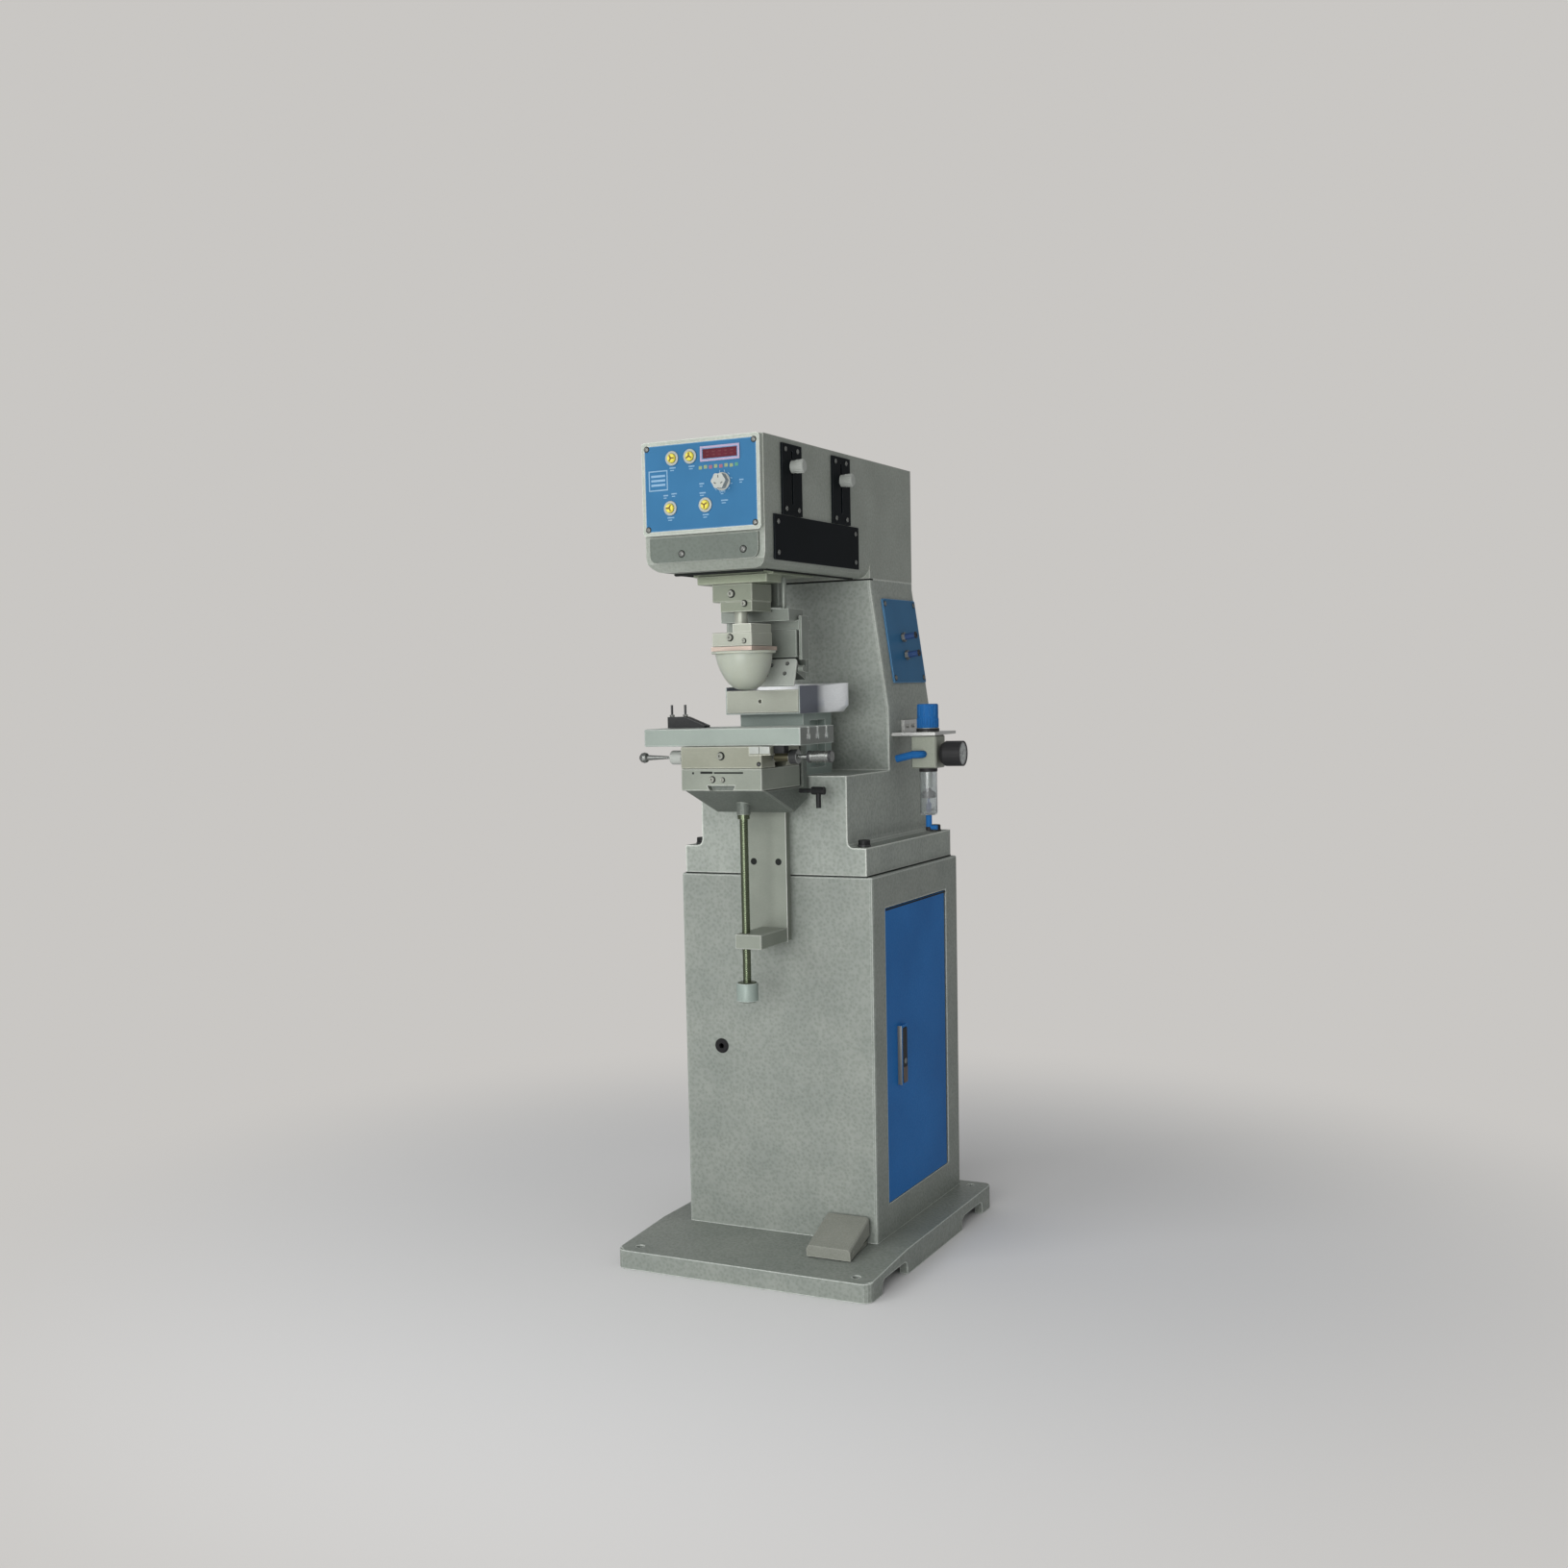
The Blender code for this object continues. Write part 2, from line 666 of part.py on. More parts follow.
def rod(name, axis, centre, radius, limits, sides=ROUND_SIDES):
    """A cylinder along an axis; centre holds the two other coordinates."""
    place = list(centre)
    place.insert("XYZ".index(axis), sum(limits) / 2)
    mesh = bmesh.new()
    turn = TOWARD[axis].to_track_quat("Z", "Y").to_matrix().to_4x4()
    bmesh.ops.create_cone(mesh, cap_ends=True, segments=sides, radius1=radius, radius2=radius,
                          depth=limits[1] - limits[0], matrix=turn)
    return put(name, mesh, place)


def turned(name, place, toward, profile, sides=ROUND_SIDES):
    """A profile of (radius, height) pairs, from its far end to its near end, turned about an axis."""
    mesh = bmesh.new()
    ring = [mesh.verts.new((radius, 0, height)) for radius, height in profile]
    for first, second in zip(ring, ring[1:]):
        mesh.edges.new((first, second))
    obj = put(name, mesh, place)
    obj.rotation_euler = Vector(toward).to_track_quat("Z", "Y").to_euler()
    screw = obj.modifiers.new("turn", "SCREW")
    screw.steps = sides
    screw.render_steps = sides
    screw.use_merge_vertices = True
    screw.merge_threshold = 0.00001
    screw.use_smooth_shade = True
    return obj


PLANES = {
    "XY": Matrix(((1, 0, 0), (0, 1, 0), (0, 0, 1))),
    "XZ": Matrix(((1, 0, 0), (0, 0, -1), (0, 1, 0))),
    "YZ": Matrix(((0, 0, 1), (1, 0, 0), (0, 1, 0))),
}


def prism(name, plane, points, limits):
    """A flat outline in a plane, extruded between two limits on the third axis."""
    curve = bpy.data.curves.new(name, "CURVE")
    curve.dimensions = "2D"
    curve.fill_mode = "BOTH"
    curve.extrude = (limits[1] - limits[0]) / 2
    line = curve.splines.new("POLY")
    line.points.add(len(points) - 1)
    for point, (a, b) in zip(line.points, points):
        point.co = (a, b, 0, 1)
    line.use_cyclic_u = True
    drawn = bpy.data.objects.new(name + "_outline", curve)
    turn = PLANES[plane]
    third = turn.col[2] * (1 if plane != "XZ" else -1)
    drawn.matrix_world = Matrix.Translation(third * sum(limits) / 2) @ turn.to_4x4()
    return solid_of(name, drawn)


def tube(name, points, radius, sides_step=2):
    """A bent rod along a list of points, with filled ends."""
    curve = bpy.data.curves.new(name, "CURVE")
    curve.dimensions = "3D"
    curve.bevel_depth = radius
    curve.bevel_resolution = sides_step
    curve.use_fill_caps = True
    line = curve.splines.new("POLY")
    line.points.add(len(points) - 1)
    for point, place in zip(line.points, points):
        point.co = (*place, 1)
    return solid_of(name, bpy.data.objects.new(name + "_path", curve))


def solid_of(name, drawn):
    """The mesh of a curve object with its caps welded; the curve is removed."""
    MACHINE.objects.link(drawn)
    bpy.context.view_layer.update()
    evaluated = drawn.evaluated_get(bpy.context.evaluated_depsgraph_get())
    data = bpy.data.meshes.new_from_object(evaluated)
    mesh = bmesh.new()
    mesh.from_mesh(data)
    bmesh.ops.remove_doubles(mesh, verts=mesh.verts, dist=0.000001)
    bmesh.ops.recalc_face_normals(mesh, faces=mesh.faces)
    mesh.transform(drawn.matrix_world)
    middle = sum((vert.co for vert in mesh.verts), Vector()) / len(mesh.verts)
    mesh.transform(Matrix.Translation(-middle))
    bpy.data.objects.remove(drawn, do_unlink=True)
    bpy.data.meshes.remove(data)
    return put(name, mesh, middle)


def arc(centre, radius, start, end, steps=ARC_STEPS):
    """Points on an arc, with its angles in degrees."""
    angles = [math.radians(start + (end - start) * i / steps) for i in range(steps + 1)]
    return [(centre[0] + radius * math.cos(a), centre[1] + radius * math.sin(a)) for a in angles]


def round_edges(obj, width, chosen, segments=2):
    """Rounds the edges that chosen() picks, in the object's own mesh."""
    mesh = bmesh.new()
    mesh.from_mesh(obj.data)
    mesh.normal_update()
    edges = [edge for edge in mesh.edges if chosen(edge)]
    bmesh.ops.bevel(mesh, geom=edges, offset=width, offset_type="OFFSET", segments=segments,
                    profile=0.5, affect="EDGES", clamp_overlap=True)
    mesh.to_mesh(obj.data)
    mesh.free()
    return obj


def soften(obj, width, segments=1):
    """A small bevel on every sharp edge."""
    bevel = obj.modifiers.new("soften", "BEVEL")
    bevel.width = width
    bevel.segments = segments
    bevel.limit_method = "ANGLE"
    bevel.angle_limit = SMOOTH_ANGLE
    return obj


def along(axis):
    """Picks the edges that run along an axis."""
    def chosen(edge):
        line = edge.verts[1].co - edge.verts[0].co
        return abs(line.normalized().dot(TOWARD[axis])) > math.cos(SMOOTH_ANGLE)
    return chosen


def along_low(axis):
    """Picks the edges along an axis on the lower half of an object."""
    runs = along(axis)
    return lambda edge: runs(edge) and (edge.verts[0].co + edge.verts[1].co).z < 0


def top_rim(edge):
    """Picks the edges between an upward face and a side face."""
    slopes = sorted(face.normal.z for face in edge.link_faces)
    return abs(slopes[0]) < math.sin(SMOOTH_ANGLE) and slopes[1] > math.cos(SMOOTH_ANGLE)


def bottom_rim(edge):
    """Picks the edges between a downward face and a side face."""
    slopes = sorted(face.normal.z for face in edge.link_faces)
    return slopes[0] < -math.cos(SMOOTH_ANGLE) and abs(slopes[1]) < math.sin(SMOOTH_ANGLE)


# The machine's own frame stands at the middle of its bounding box, on the floor
ROOT = bpy.data.objects.new("machine_frame", None)
ROOT.location = (-(GAUGE_END_X - BASE_WIDTH / 2) / 2, -(SELECTOR_FRONT_Y + BASE_DEPTH / 2) / 2, 0)
MACHINE.objects.link(ROOT)


# Base plate

def base_plate():
    deck = ((BASE_FRONT_Y, 0), (BASE_FRONT_Y, BASE_FRONT_HEIGHT), (FRAME_FRONT_Y, BASE_HEIGHT),
            (-BASE_FRONT_Y, BASE_HEIGHT), (-BASE_FRONT_Y, 0))
    base = prism("base_plate", "YZ", deck, centred(BASE_WIDTH))
    round_edges(base, BASE_CORNER, along("Z"), segments=4)
    round_edges(base, BASE_EDGE, top_rim, segments=3)
    cut(base, block("base_cavity", centred(BASE_WIDTH - 2 * BASE_WALL), centred(BASE_DEPTH - 2 * BASE_WALL),
                    (-OVERRUN, BASE_CAVITY_TOP)))
    for side in (-1, 1):
        middle = side * (BASE_DEPTH / 2 - ARCH_INSET - ARCH_LENGTH / 2)
        arch = block("base_arch", centred(BASE_WIDTH + 2 * OVERRUN), centred(ARCH_LENGTH, middle),
                     (-OVERRUN, ARCH_HEIGHT))
        round_edges(arch, ARCH_CORNER, lambda edge: along("X")(edge) and edge.verts[0].co.z > 0)
        cut(base, arch)
        for across in (-1, 1):
            place = (across * (BASE_WIDTH / 2 - BOLT_INSET_X), side * (BASE_DEPTH / 2 - BOLT_INSET_Y))
            cut(base, rod("base_bolt_hole", "Z", place, BOLT_HOLE_RADIUS,
                          (BASE_CAVITY_TOP - OVERRUN, BASE_HEIGHT + OVERRUN), SMALL_SIDES))
    finish(base, (0.27, 0.30, 0.27), 0.5)


# Cabinet, door and latch

def cabinet():
    body = block("cabinet", centred(CABINET_WIDTH), (FRAME_FRONT_Y, CABINET_BACK_Y),
                 (BASE_HEIGHT + GAP, CABINET_TOP))
    round_edges(body, CABINET_CORNER, along("Z"))
    round_edges(body, SEAM_EDGE, top_rim, segments=1)
    cut(body, block("cabinet_cavity", centred(CABINET_WIDTH - 2 * SHEET),
                    (FRAME_FRONT_Y + SHEET, CABINET_BACK_Y - SHEET),
                    (BASE_HEIGHT + GAP + SHEET, CABINET_TOP - CABINET_TOP_SHEET)))
    add(body, block("door_frame", (SIDE_X - DOOR_FRAME_DEPTH, SIDE_X - SHEET / 2),
                    (DOOR_FRONT_Y - DOOR_LIP, DOOR_BACK_Y + DOOR_LIP),
                    (DOOR_BOTTOM - DOOR_LIP, DOOR_TOP + DOOR_LIP)))
    cut(body, block("door_opening", (SIDE_X - DOOR_FRAME_DEPTH - OVERRUN, SIDE_X + OVERRUN),
                    (DOOR_FRONT_Y, DOOR_BACK_Y), (DOOR_BOTTOM, DOOR_TOP)))
    cut(body, rod("door_pivot_holes", "Z", (HINGE_X, HINGE_Y), PIVOT_RADIUS + RUNNING_GAP,
                  (DOOR_BOTTOM - DOOR_LIP - OVERRUN, DOOR_TOP + DOOR_LIP + OVERRUN), SMALL_SIDES))
    cut(body, rod("grommet_hole", "Y", (GROMMET_X, GROMMET_Z), GROMMET_RADIUS - GROMMET_STEP + GAP,
                  (FRAME_FRONT_Y - OVERRUN, FRAME_FRONT_Y + SHEET + OVERRUN)))
    finish(body, (0.27, 0.30, 0.27), 0.5)


def cabinet_grommet():
    inner = GROMMET_RADIUS - GROMMET_STEP
    profile = ((GROMMET_BORE, GROMMET_LIP), (inner, GROMMET_LIP), (GROMMET_RADIUS, GAP),
               (inner, GAP), (inner, -SHEET - GAP), (GROMMET_BORE, -SHEET - GAP), (GROMMET_BORE, GROMMET_LIP))
    ring = turned("cabinet_grommet", (GROMMET_X, FRAME_FRONT_Y, GROMMET_Z), (0, -1, 0), profile)
    finish(ring, (0.02, 0.02, 0.02), 0.6)


def door():
    hinge = pivot("door_hinge", (HINGE_X, HINGE_Y, DOOR_BOTTOM), ROOT)
    front = DOOR_FRONT_Y + DOOR_GAP
    low = DOOR_BOTTOM + DOOR_GAP
    high = DOOR_TOP - DOOR_GAP
    leaf = block("door", (SIDE_X - DOOR_DEPTH, SIDE_X), (front, HINGE_Y), (low, high))
    cut(leaf, block("door_tray", (SIDE_X - DOOR_DEPTH - OVERRUN, SIDE_X - DOOR_SHEET),
                    (front + DOOR_SHEET, HINGE_Y - DOOR_DEPTH / 2), (low + DOOR_SHEET, high - DOOR_SHEET)))
    add(leaf, rod("door_round_edge", "Z", (HINGE_X, HINGE_Y), DOOR_DEPTH / 2, (low, high)))
    add(leaf, rod("door_pivots", "Z", (HINGE_X, HINGE_Y), PIVOT_RADIUS,
                  (low - PIVOT_LENGTH, high + PIVOT_LENGTH), SMALL_SIDES))
    across = centred(LATCH_WIDTH, LATCH_Y)
    up = centred(LATCH_LENGTH, LATCH_Z)
    rim = block("latch_rim", (SIDE_X - DOOR_SHEET / 2, SIDE_X + LATCH_RIM_HEIGHT), across, up)
    round_edges(rim, LATCH_RIM, along("X"))
    add(leaf, rim)
    cut(leaf, block("latch_pocket", (SIDE_X - LATCH_FLOOR, SIDE_X + OVERRUN),
                    (across[0] + LATCH_RIM, across[1] - LATCH_RIM), (up[0] + LATCH_RIM, up[1] - LATCH_RIM)))
    cut(leaf, rod("latch_pin_holes", "Y", latch_axis(), LATCH_PIN_RADIUS + GAP,
                  (across[0] + LATCH_RIM - LATCH_PIN_REACH - 2 * GAP, across[1] - LATCH_RIM + LATCH_PIN_REACH + 2 * GAP),
                  SMALL_SIDES))
    finish(leaf, (0.03, 0.11, 0.27), 0.45)
    ride(hinge, leaf)
    return hinge


def latch_axis():
    """X and Z of the latch lever's pin."""
    return (SIDE_X + LATCH_HEIGHT - LATCH_THICKNESS / 2, LATCH_Z + LATCH_LENGTH / 2 - LATCH_RIM - LATCH_THICKNESS / 2)


def door_latch(hinge):
    x, z = latch_axis()
    pin = pivot("latch_hinge", (x, LATCH_Y, z), hinge)
    across = centred(LATCH_WIDTH - 2 * LATCH_RIM - 2 * GAP, LATCH_Y)
    low = LATCH_Z - LATCH_LENGTH / 2 + LATCH_RIM + DOOR_GAP
    high = LATCH_Z + LATCH_LENGTH / 2 - LATCH_RIM - GAP
    lever = block("door_latch", centred(LATCH_THICKNESS, x), across, (low, high))
    round_edges(lever, LATCH_ROUND, along("Y"))
    add(lever, rod("latch_pins", "Y", (x, z), LATCH_PIN_RADIUS,
                   (across[0] - LATCH_PIN_REACH, across[1] + LATCH_PIN_REACH), SMALL_SIDES))
    finish(lever, (0.05, 0.05, 0.05), 0.5)
    ride(pin, lever)


def valve_bank():
    wall = -CABINET_WIDTH / 2 + SHEET + GAP
    bank = block("valve_bank", (wall, wall + VALVE_BANK_DEPTH), centred(VALVE_BANK_LENGTH, VALVE_BANK_Y),
                 centred(VALVE_BANK_HEIGHT, VALVE_BANK_Z))
    pitch = VALVE_BANK_LENGTH / VALVE_COUNT
    for i in range(VALVE_COUNT):
        y = VALVE_BANK_Y + pitch * (i - (VALVE_COUNT - 1) / 2)
        add(bank, block("valve_body", (wall + VALVE_BANK_DEPTH - BITE, wall + VALVE_BANK_DEPTH + VALVE_DEPTH),
                        centred(VALVE_WIDTH, y), centred(VALVE_HEIGHT, VALVE_BANK_Z)))
    finish(bank, (0.45, 0.46, 0.48), 0.4, 0.6)


# Foot pedal

def in_pedal(*objects):
    """Moves pieces that were drawn about the origin into the pedal's frame."""
    for obj in objects:
        obj.parent = PEDAL
        obj.matrix_parent_inverse = Matrix()


def wedge(shift_front, shift_back, drop, low):
    """The treadle's side outline, with its walls moved in and its top lowered."""
    front = -PEDAL_LENGTH / 2 + shift_front
    back = PEDAL_LENGTH / 2 - shift_back
    rise = (PEDAL_REAR_HIGH - PEDAL_FRONT_HIGH) / PEDAL_LENGTH
    under = (PEDAL_REAR_LOW - PEDAL_FRONT_LOW) / PEDAL_LENGTH
    return ((front, PEDAL_FRONT_LOW + under * shift_front - low), (back, PEDAL_REAR_LOW - under * shift_back - low),
            (back, PEDAL_REAR_HIGH - rise * shift_back - drop), (front, PEDAL_FRONT_HIGH + rise * shift_front - drop))


def pedal():
    base = block("pedal_base", centred(PEDAL_WIDTH - 2 * PEDAL_INSET), centred(PEDAL_LENGTH - 2 * PEDAL_INSET),
                 (GAP, PEDAL_PLATE))
    soften(base, GAP)
    add(base, block("switch_box", centred(SWITCH_BOX_WIDTH), (0, SWITCH_BOX_LENGTH),
                    (PEDAL_PLATE / 2, SWITCH_BOX_TOP)))
    add(base, block("pedal_rib", centred(PEDAL_WIDTH - 2 * PEDAL_RIB_INSET), centred(PEDAL_RIB, PEDAL_PIN_Y),
                    (PEDAL_PLATE / 2, PEDAL_PIN_Z)))
    add(base, rod("pedal_pin", "X", (PEDAL_PIN_Y, PEDAL_PIN_Z), PEDAL_PIN_RADIUS,
                  centred(PEDAL_WIDTH - 2 * GAP), SMALL_SIDES))
    finish(base, (0.10, 0.10, 0.09), 0.6)
    treadle = prism("pedal_treadle", "YZ", wedge(0, 0, 0, 0), centred(PEDAL_WIDTH))
    round_edges(treadle, PEDAL_ROUND,
                lambda edge: max(end.co.z for end in edge.verts) > PEDAL_REAR_LOW + GAP, segments=3)
    cut(treadle, prism("treadle_hollow", "YZ", wedge(PEDAL_WALL, PEDAL_WALL, PEDAL_WALL, OVERRUN),
                       centred(PEDAL_WIDTH - 2 * PEDAL_WALL)))
    cut(treadle, rod("treadle_pin_holes", "X", (PEDAL_PIN_Y, PEDAL_PIN_Z), PEDAL_PIN_RADIUS + GAP,
                     centred(PEDAL_WIDTH + 2 * OVERRUN), SMALL_SIDES))
    finish(treadle, (0.21, 0.22, 0.19), 0.55)
    in_pedal(base, treadle)


# Column casting

def column():
    half = NECK_WIDTH / 2
    top = HEAD_WIDTH / 2
    low = FLANGE_TOP - OVERRUN
    foot = arc((half + NECK_FILLET, FLANGE_TOP + NECK_FILLET), NECK_FILLET, 270, 180, ARC_STEPS // 2)
    side = ((half + NECK_FILLET, low), *foot, (half, TAPER_START), (top, TAPER_END), (top, COLUMN_TOP))
    outline = side + tuple((-x, z) for x, z in reversed(side))
    body = prism("column", "XZ", outline, (FRAME_FRONT_Y, FRAME_BACK_Y))
    flange = block("column_flange", centred(FLANGE_WIDTH), (FRAME_FRONT_Y, FLANGE_BACK_Y),
                   (FLANGE_BOTTOM, FLANGE_TOP))
    round_edges(flange, SEAM_EDGE, bottom_rim, segments=1)
    add(body, flange)
    heel = arc((FRAME_BACK_Y + NECK_FILLET, FLANGE_TOP + NECK_FILLET), NECK_FILLET, 180, 270, ARC_STEPS // 2)
    inside = FRAME_BACK_Y - OVERRUN
    heel = ((inside, low), (inside, FLANGE_TOP + NECK_FILLET), *heel, (FRAME_BACK_Y + NECK_FILLET, low))
    add(body, prism("neck_heel", "YZ", heel, centred(NECK_WIDTH)))
    cut(body, block("column_front", centred(NECK_WIDTH + 4 * OVERRUN), (FRAME_FRONT_Y - OVERRUN, COLUMN_FRONT_Y),
                    (PLATFORM_Z, COLUMN_TOP + OVERRUN)))
    rear = FRAME_BACK_Y - CASTING_WALL
    cut(body, block("neck_core", centred(NECK_WIDTH - 2 * CASTING_WALL), (FRAME_FRONT_Y + CASTING_WALL, rear),
                    (FLANGE_BOTTOM - OVERRUN, PLATFORM_Z - CASTING_WALL)))
    cut(body, block("column_core", centred(HEAD_WIDTH - 2 * CASTING_WALL), (COLUMN_FRONT_Y + CASTING_WALL, rear - BITE),
                    (PLATFORM_Z - CASTING_WALL - OVERRUN, COLUMN_TOP - CASTING_WALL)))
    applied(body)

    def place(vert):
        return vert.co + body.location

    def front_edge(edge):
        ends = [place(vert) for vert in edge.verts]
        level = abs(ends[0].z - ends[1].z) < GAP
        return not level and all(abs(end.y - COLUMN_FRONT_Y) < GAP and end.z > PLATFORM_Z - GAP for end in ends)

    round_edges(body, COLUMN_EDGE, front_edge)
    finish(body, (0.27, 0.30, 0.27), 0.5)


# Head housing and what is screwed on it

def head_housing():
    front = block("head_housing", centred(HEAD_WIDTH), (HEAD_FRONT_Y, COLUMN_FRONT_Y), (HEAD_BOTTOM, HEAD_TOP))
    round_edges(front, HEAD_ROUND, along_low("Y"), segments=4)
    add(front, block("head_rear", centred(HEAD_WIDTH), (COLUMN_FRONT_Y - BITE, FRAME_BACK_Y),
                     (HEAD_BOTTOM, HEAD_TOP)))
    nose = ((HEAD_FRONT_Y - OVERRUN, HEAD_BOTTOM - OVERRUN),
            (HEAD_FRONT_Y + HEAD_CHAMFER + OVERRUN, HEAD_BOTTOM - OVERRUN),
            (HEAD_FRONT_Y - OVERRUN, HEAD_BOTTOM + HEAD_CHAMFER + OVERRUN))
    cut(front, prism("head_nose", "YZ", nose, centred(HEAD_WIDTH + 2 * OVERRUN)))
    cut(front, block("head_cavity", centred(HEAD_WIDTH - 2 * HEAD_WALL),
                     (HEAD_FRONT_Y + HEAD_WALL, FRAME_BACK_Y - HEAD_WALL),
                     (HEAD_CAVITY_BOTTOM, HEAD_TOP - HEAD_WALL)))
    cut(front, block("carriage_slot", centred(CARRIAGE_SLOT_WIDTH), (CARRIAGE_SLOT_FRONT_Y, CARRIAGE_SLOT_BACK_Y),
                     (HEAD_BOTTOM - OVERRUN, HEAD_CAVITY_BOTTOM + OVERRUN)))
    for name, y, z in STROKE_KNOBS:
        cut(front, stroke_slot("head_slot_" + name, y, (HEAD_SIDE_X - HEAD_WALL - OVERRUN, HEAD_SIDE_X + OVERRUN)))
    finish(front, (0.27, 0.30, 0.27), 0.5)


def stroke_slot(name, y, x):
    return block(name, x, centred(STRIP_SLOT_WIDTH, y), (STRIP_SLOT_BOTTOM, STRIP_SLOT_TOP))


def front_cover():
    cover = block("head_front_cover", centred(COVER_WIDTH), (FRONT_COVER_FRONT_Y, COVER_BACK_Y),
                  (COVER_BOTTOM, HEAD_TOP))
    round_edges(cover, COVER_CORNER, along("Y"))
    cut(cover, block("panel_seat", centred(PANEL_WIDTH + 2 * GAP), (FRONT_COVER_FRONT_Y - OVERRUN,
                     FRONT_COVER_FRONT_Y + PANEL_SEAT), (PANEL_BOTTOM - GAP, PANEL_TOP + GAP)))
    through = (FRONT_COVER_FRONT_Y - OVERRUN, COVER_BACK_Y + OVERRUN)
    for place in BUTTON_PLACES:
        cut(cover, rod("cover_button_hole", "Y", place, BUTTON_RADIUS + GAP, through))
    cut(cover, rod("cover_selector_hole", "Y", (SELECTOR_X, SELECTOR_Z), SELECTOR_STEM_RADIUS + GAP, through,
                   SMALL_SIDES))
    finish(cover, (0.62, 0.60, 0.57), 0.45)


def control_panel():
    panel = block("control_panel", centred(PANEL_WIDTH), (FRONT_COVER_FRONT_Y, PANEL_BACK_Y),
                  (PANEL_BOTTOM, PANEL_TOP))
    proud = (FRONT_COVER_FRONT_Y - RING_HEIGHT, FRONT_COVER_FRONT_Y + GAP)
    through = (FRONT_COVER_FRONT_Y - OVERRUN, PANEL_BACK_Y + OVERRUN)
    add(panel, block("display_frame", centred(DISPLAY_WIDTH, DISPLAY_X), proud, centred(DISPLAY_HEIGHT, DISPLAY_Z)))
    for place in BUTTON_PLACES:
        add(panel, rod("button_ring", "Y", place, RING_RADIUS, proud))
        cut(panel, rod("panel_button_hole", "Y", place, BUTTON_RADIUS + GAP, through))
    cut(panel, rod("panel_selector_hole", "Y", (SELECTOR_X, SELECTOR_Z), SELECTOR_STEM_RADIUS + GAP, through,
                   SMALL_SIDES))
    cut(panel, block("window_seat", centred(DISPLAY_WIDTH - 2 * DISPLAY_BORDER, DISPLAY_X),
                     (FRONT_COVER_FRONT_Y - OVERRUN, FRONT_COVER_FRONT_Y - GAP),
                     centred(DISPLAY_HEIGHT - 2 * DISPLAY_BORDER, DISPLAY_Z)))
    finish(panel, (0.05, 0.21, 0.46), 0.45)


def display_window():
    inner = 2 * (DISPLAY_BORDER + GAP)
    back = FRONT_COVER_FRONT_Y - 2 * GAP
    window = block("display_window", centred(DISPLAY_WIDTH - inner, DISPLAY_X), (back - WINDOW_THICKNESS, back),
                   centred(DISPLAY_HEIGHT - inner, DISPLAY_Z))
    finish(window, (0.12, 0.01, 0.01), 0.1)


def push_buttons():
    front = FRONT_COVER_FRONT_Y - BUTTON_HEIGHT
    depth = COVER_BACK_Y - BUTTON_TRAVEL - front
    profile = ((0, depth), (BUTTON_RADIUS - BUTTON_EDGE, depth), (BUTTON_RADIUS, depth - BUTTON_EDGE),
               (BUTTON_RADIUS, 0), (0, 0))
    for number, (x, z) in enumerate(BUTTON_PLACES, start=1):
        slide = pivot(f"push_button_{number}_slide", (x, FRONT_COVER_FRONT_Y, z), ROOT)
        button = turned(f"push_button_{number}", (x, front + depth, z), (0, -1, 0), profile)
        finish(button, (0.80, 0.62, 0.10), 0.4)
        ride(slide, button)


def selector_knob():
    spindle = pivot("selector_turn", (SELECTOR_X, FRONT_COVER_FRONT_Y, SELECTOR_Z), ROOT)
    points = []
    for i in range(LOBE_POINTS):
        angle = 2 * math.pi * i / LOBE_POINTS
        reach = SELECTOR_RADIUS + SELECTOR_LOBE * math.cos(SELECTOR_LOBES * angle)
        points.append((SELECTOR_X + reach * math.cos(angle), SELECTOR_Z + reach * math.sin(angle)))
    face = FRONT_COVER_FRONT_Y - GAP
    knob = prism("selector_knob", "XZ", points, (SELECTOR_FRONT_Y, face))
    add(knob, rod("selector_stem", "Y", (SELECTOR_X, SELECTOR_Z), SELECTOR_STEM_RADIUS,
                  (face - BITE, COVER_BACK_Y - GAP), SMALL_SIDES))
    finish(knob, (0.60, 0.60, 0.58), 0.4)
    ride(spindle, knob)


def nose_cover():
    cover = block("nose_cover", centred(NOSE_WIDTH), (NOSE_FRONT_Y, COVER_BACK_Y), (NOSE_BOTTOM, NOSE_TOP))
    round_edges(cover, NOSE_CORNER, along_low("Y"), segments=3)
    finish(cover, (0.62, 0.60, 0.57), 0.45)


def stroke_setting():
    for name, y, z in STROKE_KNOBS:
        strip = block("stroke_strip_" + name, (STRIP_X, STRIP_X + STRIP_THICKNESS), centred(STRIP_WIDTH, y),
                      (STRIP_BOTTOM, STRIP_TOP))
        cut(strip, stroke_slot("strip_slot_" + name, y, (STRIP_X - OVERRUN, STRIP_X + STRIP_THICKNESS + OVERRUN)))
        finish(strip, (0.03, 0.03, 0.03), 0.4)
        slide = pivot(f"stroke_knob_{name}_slide", (STRIP_X, y, z), ROOT)
        face = STRIP_X + STRIP_THICKNESS + GAP
        nut = HEAD_SIDE_X - HEAD_WALL - GAP
        end = STROKE_KNOB_LENGTH
        near = nut - face
        profile = ((0, end), (STROKE_KNOB_RADIUS - STROKE_KNOB_EDGE, end),
                   (STROKE_KNOB_RADIUS, end - STROKE_KNOB_EDGE), (STROKE_KNOB_RADIUS, 0),
                   (STROKE_STUD_RADIUS, 0), (STROKE_STUD_RADIUS, near), (STROKE_NUT_RADIUS, near),
                   (STROKE_NUT_RADIUS, near - STROKE_NUT_THICKNESS), (0, near - STROKE_NUT_THICKNESS))
        knob = turned("stroke_knob_" + name, (face, y, z), (1, 0, 0), profile)
        finish(knob, (0.66, 0.66, 0.64), 0.35)
        ride(slide, knob)


